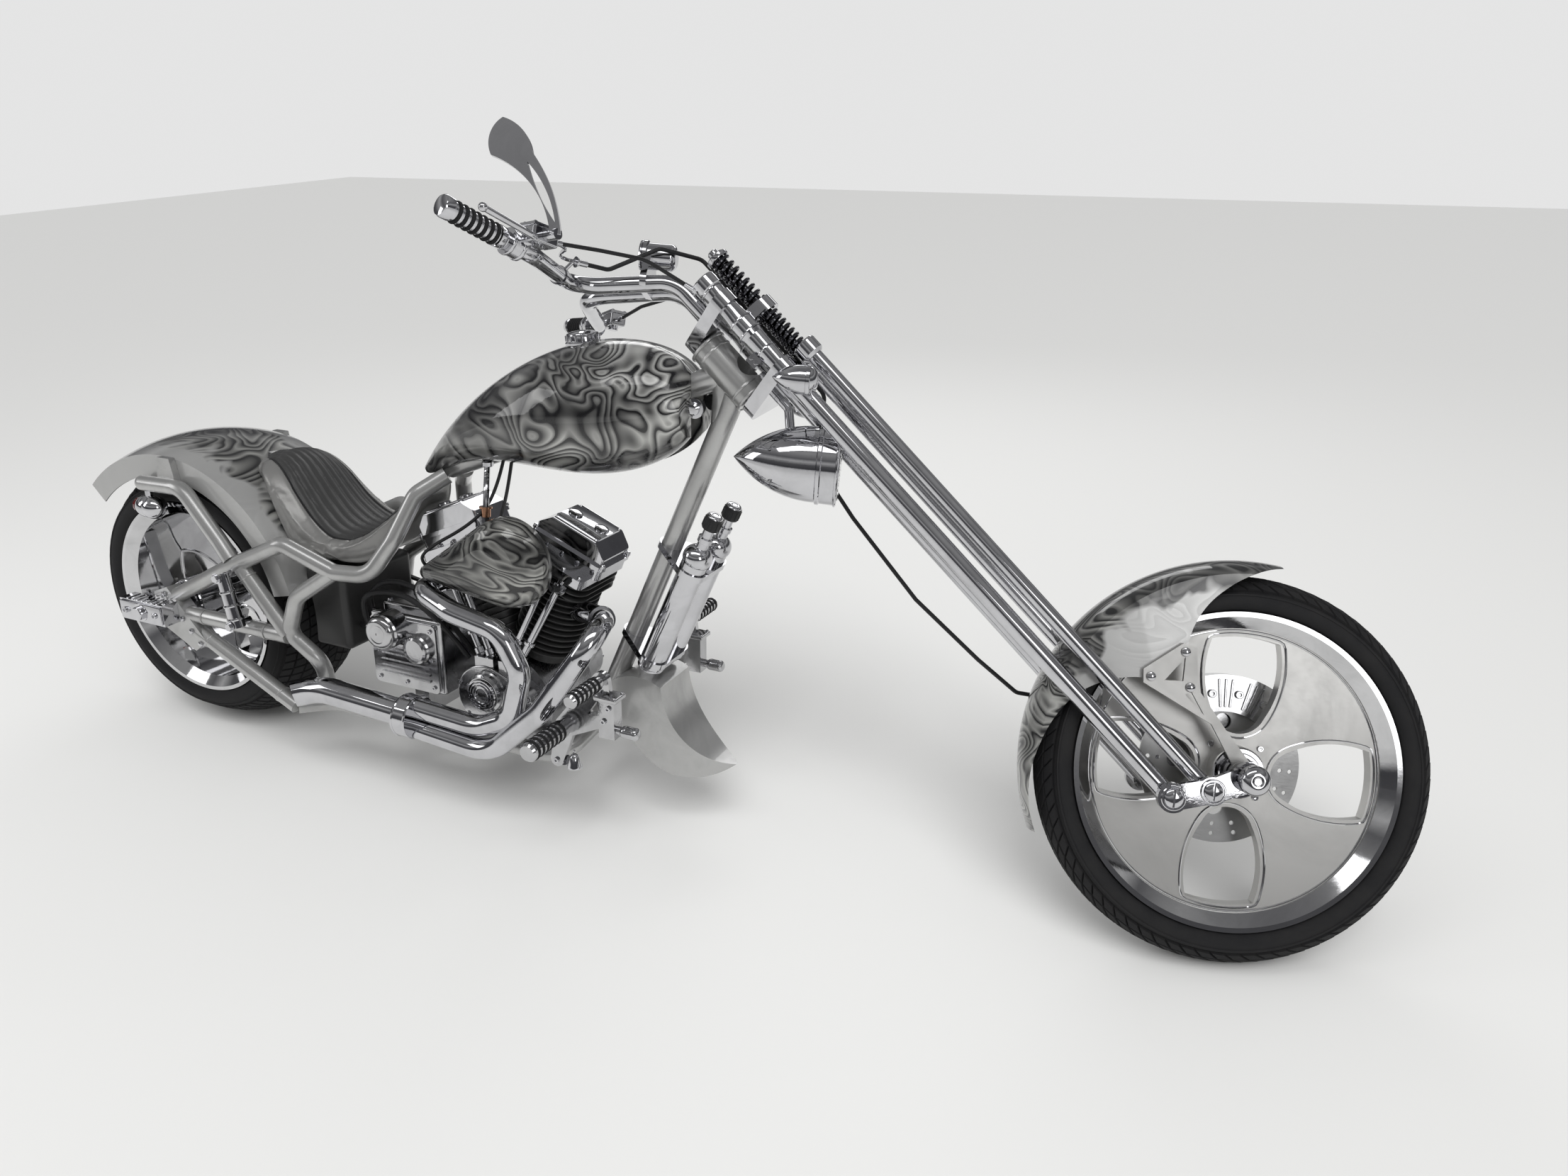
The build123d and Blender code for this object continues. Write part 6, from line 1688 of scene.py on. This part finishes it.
@dataclass(frozen=True)
class Engine:
    """Fasteners, plugs, collars, hoses, tailpipe and bottle knobs on the engine and round it.

    Attributes:
        crank: Centre of the crankshaft.
        half_angle: Half of the angle between the cylinders.
        height: Distance from the crankshaft to the rocker boxes.
        cam_cover: Middle of the round cover on the cam chest.
        chest_screws: Place of each of the cam chest's screws from the crankshaft.
        starter: Middle of the starter's end.
        pulleys: Middles of the primary cover's ends.
        tail_line: Control points of the tailpipe.
        tail_cut: Point and direction of its slash cut.
        oil_lines: Rise and side of each oil line.
        bottle_valve: Where a bottle's valve is: along, ahead of and beside the down tube.
    """

    crank: Point = (0.884, 0.0, 0.226)
    half_angle: float = math.radians(22.5)
    height: float = 0.3463
    cam_cover: Point = (0.866, -0.151, 0.266)
    chest_screws: Outline = ((-0.096, 0.045), (-0.080, -0.028), (-0.030, -0.052),
                             (0.030, -0.030), (0.074, -0.016), (0.085, 0.035))
    starter: Point = (0.592, -0.1490, 0.356)
    pulleys: Outline = ((0.604, 0.296), (0.884, 0.232))
    tail_line: Tuple[Point, ...] = (
        (0.722, -0.205, 0.208), (0.600, -0.205, 0.214), (0.535, -0.208, 0.219),
        (0.470, -0.211, 0.224), (0.405, -0.214, 0.201), (0.340, -0.217, 0.178))
    tail_cut: Tuple[Point, Point] = ((0.385, -0.215, 0.194), (-0.62, -0.75, -0.2))
    oil_lines: Outline = ((0.0, -0.072), (0.018, -0.050))
    bottle_valve: Point = (0.5515, 0.074, 0.042)

    def axes(self, side: int) -> Tuple[Vector, Vector]:
        """Directions up a cylinder, and across it along the machine."""
        along = Vector((side * math.sin(self.half_angle), 0.0, math.cos(self.half_angle)))
        return along, Vector((along.z, 0.0, -along.x))

    def cylinder(self, side: int) -> Matrix:
        """Matrix at a rocker box's foot: X along the machine, Z up the cylinder."""
        along, across = self.axes(side)
        left = along.cross(across)
        turn = Matrix((across, left, along)).transposed().to_4x4()
        return Matrix.Translation(Vector(self.crank) + along * self.height) @ turn

    def box_bolts(self) -> Shape:
        """Domed nuts, plugs and ribbed panels on the rocker boxes."""
        parts = []
        for side in (-1, 1):
            place = self.cylinder(side)
            spots = [(x, y, 0.055) for x in (-0.086, 0.086) for y in (-0.050, 0.050)]
            spots += [(x, y, 0.0200) for x in (-0.060, -0.02, 0.02, 0.060)
                      for y in (-0.079, 0.079)]
            for spot in spots:
                radius = 0.0062 if spot[2] > 0.03 else 0.0052
                head = bolt(BoltHead.DOME, radius, radius * 1.25)
                parts.append(moved(head, place @ Matrix.Translation(spot)))
            for run in (-0.034, 0.034):
                plug = lathe([(0, 0), (0.0155, 0), (0.0155, 0.004), (0.0125, 0.006),
                              (0.006, 0.0065), (0, 0.0065)], 28)
                parts.append(moved(plug, place @ Matrix.Translation((run, 0.0, 0.1024))))
            panel = slab((0.112, 0.078, 0.005), 0.0022, 2)
            parts.append(moved(panel, place @ Matrix.Translation((0.0, 0.0, 0.1005))))
            for wide in (-0.0455, 0.0455):
                rib = slab((0.098, 0.0035, 0.004), 0.0012, 1)
                parts.append(moved(rib, place @ Matrix.Translation((0.0, wide, 0.1005))))
        return joined(parts)

    def collars(self) -> Shape:
        """Stepped collars on the pushrod tubes."""
        parts = []
        crank = Vector(self.crank)
        for side in (1, -1):
            along, across = self.axes(side)
            for offset in (0, 1):
                foot = crank + Vector((side * (0.018 + 0.026 * offset), -0.100, 0.100))
                head = crank + along * 0.354 + across * side * (0.034 * offset - 0.008)
                head += Vector((0.0, -0.077, 0.0))
                line = (head - foot).normalized()
                for run, tall in ((0.014, 0.016), (0.060, 0.010),
                                  ((head - foot).length - 0.034, 0.014)):
                    band = collar(0.0079, 0.0105, 0.0125, 0.0, tall, 0.002, 24)
                    parts.append(stood(band, foot + line * run, line))
        return joined(parts)

    def plugs(self) -> None:
        """Spark plugs with hex bodies, boots and leads."""
        metal, leads = [], []
        for side in (-1, 1):
            place = self.cylinder(side)
            foot = place @ Vector((side * 0.030, -0.0815, -0.022))
            out = Vector((side * 0.12, -0.93, 0.34)).normalized()
            metal.append(rod(foot, foot + out * 0.016, 0.0065, 16, 0.001))
            metal.append(stood(bolt(BoltHead.HEX, 0.0105, 0.008), foot + out * 0.004, out))
            leads.append(rod(foot + out * 0.014, foot + out * 0.042, 0.0072, 16, 0.002))
            top = foot + out * 0.040
            middle = self.crank[0]
            leads.append(pipe([top, top + out * 0.016, top + out * 0.02 + Vector((0, 0, 0.03)),
                               (middle + side * 0.030, -0.120, 0.640),
                               (middle + side * 0.014, -0.060, 0.690),
                               (middle + side * 0.010, -0.030, 0.765)], 0.0036, 10))
        piece("spark_plugs", joined(metal), Body.FRAME, CHROME)
        piece("plug_leads", joined(leads), Body.FRAME, SOFT_BLACK)

    def cam_trim(self) -> Shape:
        """Ribbed round cover on the cam chest, its screws and the chest's own."""
        centre = Vector(self.cam_cover)
        rings = []
        for radius, rise in ((0.0335, 0.0), (0.027, 0.0008), (0.0205, 0.0012)):
            rings.append(ring([(radius - 0.0022, rise - 0.002), (radius - 0.0012, rise + 0.0016),
                               (radius + 0.0012, rise + 0.0016), (radius + 0.0022, rise - 0.002)],
                              48))
        parts = [stood(joined(rings), centre, RIGHT)]
        screws = [centre + Vector((x, 0.0085, z)) for x, z in compass(5, 0.0405, 0.3)]
        parts.append(bolts(screws, RIGHT, BoltHead.SOCKET, 0.0038))
        chest = [(self.crank[0] + x, -0.1218, self.crank[2] + z) for x, z in self.chest_screws]
        parts.append(bolts(chest, RIGHT, BoltHead.SOCKET, 0.0048))
        return joined(parts)

    def gearbox_trim(self) -> Shape:
        """Bolts round the gearbox door and studs on its top, and the starter's end."""
        parts = []
        door = [(x, z) for x in (0.544, 0.698) for z in (0.228, 0.296, 0.364)]
        door += [(0.621, 0.228), (0.621, 0.364)]
        parts.append(bolts([(x, -0.1043, z) for x, z in door], RIGHT, BoltHead.SOCKET, 0.0052))
        top = [(x, y, 0.4022) for x in (0.552, 0.692) for y in (-0.060, 0.068)]
        parts.append(bolts(top, UPWARDS, BoltHead.HEX, 0.0062))
        end = [Vector(self.starter) + Vector((x, 0.0, z)) for x, z in compass(3, 0.030, 0.5)]
        parts.append(bolts(end, RIGHT, BoltHead.SOCKET, 0.0035))
        return joined(parts)

    def primary_trim(self) -> Shape:
        """Screws round the primary cover on the left and its ends, and ribs between them."""
        spots = []
        for (x, z), (radius, first, last) in zip(self.pulleys,
                                                 ((0.099, 70, 290), (0.053, -70, 100))):
            for k in range(6):
                angle = math.radians(first + (last - first) * k / 5)
                spots.append((x + radius * math.cos(angle), 0.2125, z + radius * math.sin(angle)))
        for (x, z), reach in zip(self.pulleys, (0.066, 0.036)):
            spots += [(x + dx, 0.2165, z + dz) for dx, dz in compass(5, reach)]
        ribs = []
        for lift in (-0.026, -0.013, 0.0, 0.013, 0.026):
            rib = slab((0.098 - abs(lift) * 0.6, 0.004, 0.0045), 0.0014, 2)
            turn = Matrix.Rotation(math.radians(13), 4, "Y")
            ribs.append(moved(rib, Matrix.Translation((0.758, 0.2125, 0.263)) @ turn
                              @ Matrix.Translation((0.0, 0.0, lift))))
        return joined(ribs + [bolts(spots, LEFT, BoltHead.SOCKET, 0.0045)])

    def exhaust_trim(self) -> Shape:
        """Collars on the headers at their ports, and bands at the tailpipe's joint."""
        parts = []
        for spot, along, radius in (((0.7145, -0.090, 0.479), (0.15, -0.95, 0.1), 0.027),
                                    ((1.128, -0.074, 0.461), (0.55, -0.8, 0.25), 0.027)):
            band = collar(radius - 0.004, radius, radius + 0.001, -0.006, 0.006, 0.002, 36)
            parts.append(stood(band, spot, along))
        for x, radius in ((0.7345, 0.0472), (0.7015, 0.0472)):
            band = ring([(radius - 0.003, -0.003), (radius, -0.003), (radius + 0.0012, 0.0),
                         (radius, 0.003), (radius - 0.003, 0.003)], 48)
            parts.append(stood(band, (x, -0.205, 0.2084), (1.0, 0.0, -0.03)))
        return joined(parts)

    def tail(self) -> Shape:
        """Hollow tailpipe with a slash-cut end, and the joint's sleeve."""
        shell = [pipe(self.tail_line, radius, 32, ease=10) for radius in (0.030, 0.0278)]
        for bm in shell:
            bmesh.ops.bisect_plane(bm, geom=bm.verts[:] + bm.edges[:] + bm.faces[:],
                                   plane_co=self.tail_cut[0], plane_no=self.tail_cut[1],
                                   clear_outer=True)
        bmesh.ops.reverse_faces(shell[1], faces=shell[1].faces)
        bm = joined(shell)
        rims = [edge for edge in bm.edges if len(edge.link_faces) == 1]
        bmesh.ops.bridge_loops(bm, edges=rims)
        sleeve = lathe([(0.03, 0), (0.0455, 0), (0.047, 0.002), (0.047, 0.034), (0.0455, 0.036),
                        (0.0, 0.036), (0.0, 0.0), (0.03, 0)], 48)
        return joined([bm, stood(sleeve, (0.736, -0.205, 0.208), (-1.0, 0.0, 0.028))])

    def hoses(self) -> None:
        """Fuel line with its fitting below the tank, and the oil lines behind the engine."""
        tank = frame["nodes"]["fuel_tank"]
        back = STANCE.matrix(Body.FRAME).inverted() @ tank.matrix_world
        low = min((back @ vert.co for vert in tank.data.vertices
                   if abs((back @ vert.co).x - 0.842) < 0.03
                   and -0.075 < (back @ vert.co).y < -0.02), key=lambda spot: spot.z).z
        top = Vector((0.842, -0.045, low + 0.006))
        bends = [(0.0, 0.0, 0.0), (0.0, -0.004, -0.022), (0.012, -0.022, -0.036),
                 (0.022, -0.040, -0.062), (0.024, -0.046, -0.090)]
        elbow = [top + Vector(drop) for drop in bends]
        foot = elbow[-1]
        metal = [pipe(elbow, 0.0062, 16), rod(top - Vector((0, 0, 0.012)), top, 0.012, 20, 0.002)]
        nut = stood(bolt(BoltHead.HEX, 0.0105, 0.022), foot + Vector((0, 0, 0.006)),
                    (0.0, -0.1, -1.0))
        piece("fuel_line", joined(metal), Body.FRAME, CHROME)
        piece("fuel_fitting", nut, Body.FRAME, COPPER)
        fall = [(0.0, 0.0, 0.0), (0.002, -0.002, -0.030), (0.010, 0.010, -0.060),
                (0.022, 0.030, -0.085)]
        soft = [pipe([foot + Vector(drop) for drop in fall], 0.0055, 12)]
        for lift, side in self.oil_lines:
            soft.append(pipe([(0.468, side, 0.330 + lift), (0.498, side - 0.006, 0.335 + lift),
                              (0.512, side - 0.028, 0.372 + lift), (0.520, side - 0.036, 0.420),
                              (0.560, side - 0.030, 0.438 + lift),
                              (0.640, side - 0.020, 0.436 + lift),
                              (0.735, side - 0.016, 0.372), (0.775, side, 0.305)], 0.0062, 12))
        piece("rubber_hoses", joined(soft), Body.FRAME, SOFT_BLACK)

    def bottle_knobs(self) -> Shape:
        """Fluted knobs on the bottles' valves."""
        top, low = STANCE.fork(1.122, -0.006), Vector((1.072, 0.0, 0.206))
        along = (top - low).normalized()
        ahead = Vector((along.z, 0.0, -along.x))
        parts = []
        for side in (-1, 1):
            reach, off, beside = self.bottle_valve
            foot = low + along * reach + ahead * off + Vector((0.0, side * beside, 0.0))
            place = toward(foot, along)
            parts.append(moved(lathe([(0, 0), (0.0174, 0), (0.0182, 0.002), (0.0182, 0.022),
                                      (0.0165, 0.0265), (0.008, 0.0295), (0, 0.03)], 28), place))
            for spot in compass(12, 0.0179):
                parts.append(moved(rod((*spot, 0.003), (*spot, 0.021), 0.0016, 8, 0.0006), place))
        return joined(parts)

    def build(self) -> None:
        """Makes the engine's finer pieces."""
        self.hoses()
        piece("valve_knobs", self.bottle_knobs(), Body.FRAME, SOFT_BLACK)
        piece("tailpipe", self.tail(), Body.FRAME, CHROME, replaces=["exhaust_tail"])
        piece("rocker_box_nuts", self.box_bolts(), Body.FRAME, CHROME)
        piece("pushrod_collars", self.collars(), Body.FRAME, CHROME)
        self.plugs()
        piece("cam_cover_trim", self.cam_trim(), Body.FRAME, CHROME)
        piece("gearbox_bolts", self.gearbox_trim(), Body.FRAME, CHROME)
        piece("primary_screws", self.primary_trim(), Body.FRAME, CHROME)
        piece("exhaust_clamps", self.exhaust_trim(), Body.FRAME, CHROME)


@dataclass(frozen=True)
class FootControls:
    """Rubbers, screws and the bell on the forward controls.

    Attributes:
        pegs: Place along, height, radius, first ring's side and ring count of each right peg.
        pitch: Distance between the rings.
        bell_top: Where the bell hangs.
    """

    pegs: Tuple[Tuple[float, float, float, float, int], ...] = (
        (1.104, 0.262, 0.0198, -0.216, 7), (1.193, 0.382, 0.0148, -0.214, 6))
    pitch: float = 0.0145
    bell_top: Point = (1.1195, -0.182, 0.200)

    @twinned
    def peg_rings(self) -> Shape:
        """Rubber rings on the pegs."""
        parts = []
        for x, z, radius, start, count in self.pegs:
            for k in range(count):
                bead = ring([(radius - 0.001, -0.004), (radius + 0.001, -0.0035),
                             (radius + 0.0018, 0.0), (radius + 0.001, 0.0035),
                             (radius - 0.001, 0.004)], 28)
                parts.append(stood(bead, (x, start - k * self.pitch, z), RIGHT))
        return joined(parts)

    @twinned
    def screws(self) -> Shape:
        """Screws in the brackets and the cylinders' lids."""
        spots = [(1.080, -0.1883, 0.180), (1.204, -0.1983, 0.300), (1.216, -0.1983, 0.330)]
        lid = [(x, y, 0.3542) for x in (1.190, 1.230) for y in (-0.198, -0.168)]
        return joined([bolts(spots, RIGHT, BoltHead.SOCKET, 0.006),
                       bolts(lid, UPWARDS, BoltHead.SOCKET, 0.0032)])

    def bell(self) -> None:
        """Small bell that hangs from the right bracket."""
        bm = ring([(0.0028, 0.0), (0.0065, -0.002), (0.0105, -0.008), (0.0125, -0.018),
                   (0.0155, -0.026), (0.0162, -0.030), (0.0150, -0.030), (0.0115, -0.019),
                   (0.0095, -0.009), (0.0025, -0.004)], 32)
        loop = pipe([(0.0, 0.0, 0.0), (0.0032, 0.0, 0.005), (0.0, 0.0, 0.010),
                     (-0.0032, 0.0, 0.005)], 0.0011, 8, closed=True, ease=4)
        clapper = rod((0.0, 0.0, -0.033), (0.0, 0.0, -0.002), 0.0014, 8)
        piece("hanging_bell", placed(joined([bm, loop, clapper]), self.bell_top), Body.FRAME,
              CHROME)

    def build(self) -> None:
        """Makes the finer pieces of the controls."""
        piece("peg_rubbers", self.peg_rings(), Body.FRAME, TYRE_RUBBER)
        piece("control_screws", self.screws(), Body.FRAME, CHROME)
        self.bell()


# ---- Surroundings --------------------


@dataclass(frozen=True)
class Camera:
    """Camera at the photograph's angle.

    Attributes:
        spot: Place over the floor, from the rear wheel's contact on the floor.
        yaw: Heading of the view from +X.
        pitch: Angle of the view above the horizon.
        roll: Turn about the view.
        focal_width: Focal length over the picture's width.
        sensor: Width of its sensor, in millimetres.
    """

    spot: Point = (2.3230, -1.7849, 1.4780)
    yaw: float = math.radians(114.117)
    pitch: float = math.radians(-24.433)
    roll: float = math.radians(-0.803)
    focal_width: float = 1588.19 / 2212.0
    sensor: float = 36.0

    def build(self) -> None:
        """Adds the camera and makes it the scene's."""
        data = bpy.data.cameras.new("view")
        data.sensor_width = self.sensor
        data.lens = self.focal_width * self.sensor
        data.clip_end = 60.0
        made = linked("view", data)
        contact = STANCE.upright() @ Vector((0.0, 0.0, 0.0))
        turn = (Matrix.Rotation(self.yaw - math.pi / 2, 4, "Z")
                @ Matrix.Rotation(math.pi / 2 + self.pitch, 4, "X")
                @ Matrix.Rotation(self.roll, 4, "Z"))
        place = Vector((contact.x, contact.y, 0.0)) + Vector(self.spot)
        made.matrix_world = Matrix.Translation(place) @ turn
        bpy.context.scene.camera = made


@dataclass(frozen=True)
class Studio:
    """Pale floor, soft lamps and a plain surround.

    Attributes:
        floor_colour: Colour of the floor.
        ambient: Light from all round on matte surfaces.
        backdrop: What the camera sees beyond the floor.
        lamps: (place, aim, width, height, watts) of each soft lamp.
        sun_from: Where the even key light comes from.
        sun_strength: Its strength.
        sun_angle: Its size in the sky.
    """

    floor_colour: Colour = (0.74, 0.74, 0.73)
    ambient: Colour = (0.55, 0.55, 0.55)
    backdrop: Colour = (0.78, 0.78, 0.78)
    lamps: Tuple[Tuple[Point, Point, float, float, float], ...] = (
        ((0.4, -1.2, 3.4), (0.0, 0.0, 0.3), 3.6, 0.8, 22.0),
        ((3.6, -2.6, 2.2), (0.3, 0.0, 0.5), 1.2, 1.8, 17.0),
        ((-3.2, -1.8, 2.0), (-0.4, 0.0, 0.4), 1.0, 1.8, 13.0),
        ((-0.8, 3.2, 2.6), (0.0, 0.0, 0.6), 3.0, 0.8, 18.0),
    )
    sun_from: Point = (0.9, -1.6, 2.6)
    sun_strength: float = 1.5
    sun_angle: float = math.radians(36)

    def build(self) -> None:
        """Adds the floor, the lamps and the world."""
        bm = bmesh.new()
        bmesh.ops.create_grid(bm, x_segments=1, y_segments=1, size=14.0)
        mesh = bpy.data.meshes.new("floor")
        bm.to_mesh(mesh)
        bm.free()
        floor = linked("floor", mesh)
        mesh.materials.append(self.floor_material())
        for index, (spot, aim, width, height, watts) in enumerate(self.lamps):
            data = bpy.data.lights.new(f"soft_lamp_{index}", "AREA")
            data.shape = "RECTANGLE"
            data.size, data.size_y, data.energy = width, height, watts
            lamp = linked(data.name, data)
            lamp.matrix_world = toward(spot, Vector(spot) - Vector(aim), UPWARDS)
        self.key_light()
        self.world()

    def key_light(self) -> None:
        """Even light with soft shadows, kept out of the plating's reflections."""
        data = bpy.data.lights.new("key_light", "SUN")
        data.energy, data.angle = self.sun_strength, self.sun_angle
        lamp = linked("key_light", data)
        lamp.matrix_world = toward(self.sun_from, self.sun_from, UPWARDS)
        lamp.visible_glossy = False

    def floor_material(self) -> bpy.types.Material:
        """Pale matte floor."""
        made = bpy.data.materials.new("pale_floor")
        made.use_nodes = True
        Graph(made.node_tree).surface(Roughness=0.7, Base_Color=(*self.floor_colour, 1.0))
        return made

    def world(self) -> None:
        """Soft surround: pale for the camera, darker bands for the plating to mirror."""
        world = bpy.data.worlds.new("studio")
        bpy.context.scene.world = world
        world.use_nodes = True
        graph = Graph(world.node_tree)
        place = graph.add("ShaderNodeTexCoord").outputs["Generated"]
        split = graph.add("ShaderNodeSeparateXYZ")
        graph.link(place, split.inputs[0])
        height = graph.spread(split.outputs["Z"], 0.0, 1.0, -1.0, 1.0)
        bands = graph.ramp(height, [(0.0, (0.25, 0.25, 0.25)), (0.49, (0.55, 0.55, 0.55)),
                                    (0.52, (0.05, 0.05, 0.055)), (0.62, (0.10, 0.10, 0.105)),
                                    (0.70, (0.42, 0.42, 0.42)), (0.76, (0.12, 0.12, 0.125)),
                                    (0.88, (0.30, 0.30, 0.30)), (1.0, (0.16, 0.16, 0.165))])
        rays = graph.add("ShaderNodeLightPath")
        background = graph.add("ShaderNodeBackground", Strength=1.0)
        surround = graph.mix(rays.outputs["Is Glossy Ray"], self.ambient, bands)
        graph.link(graph.mix(rays.outputs["Is Camera Ray"], surround, self.backdrop),
                   background.inputs["Color"])
        out = graph.add("ShaderNodeOutputWorld")
        graph.link(background.outputs[0], out.inputs["Surface"])


def main() -> None:
    """Builds every sub-assembly in order and then the surroundings."""
    logging.basicConfig(level=logging.INFO, format="%(name)s %(message)s")
    dress_nodes()
    build_wheels()
    Fork().build()
    Bars().build()
    Chassis().build()
    Seat().build()
    Tank().build()
    Engine().build()
    FootControls().build()
    Camera().build()
    Studio().build()
    bpy.context.scene.view_settings.view_transform = "Standard"


if __name__ == "__main__":
    main()
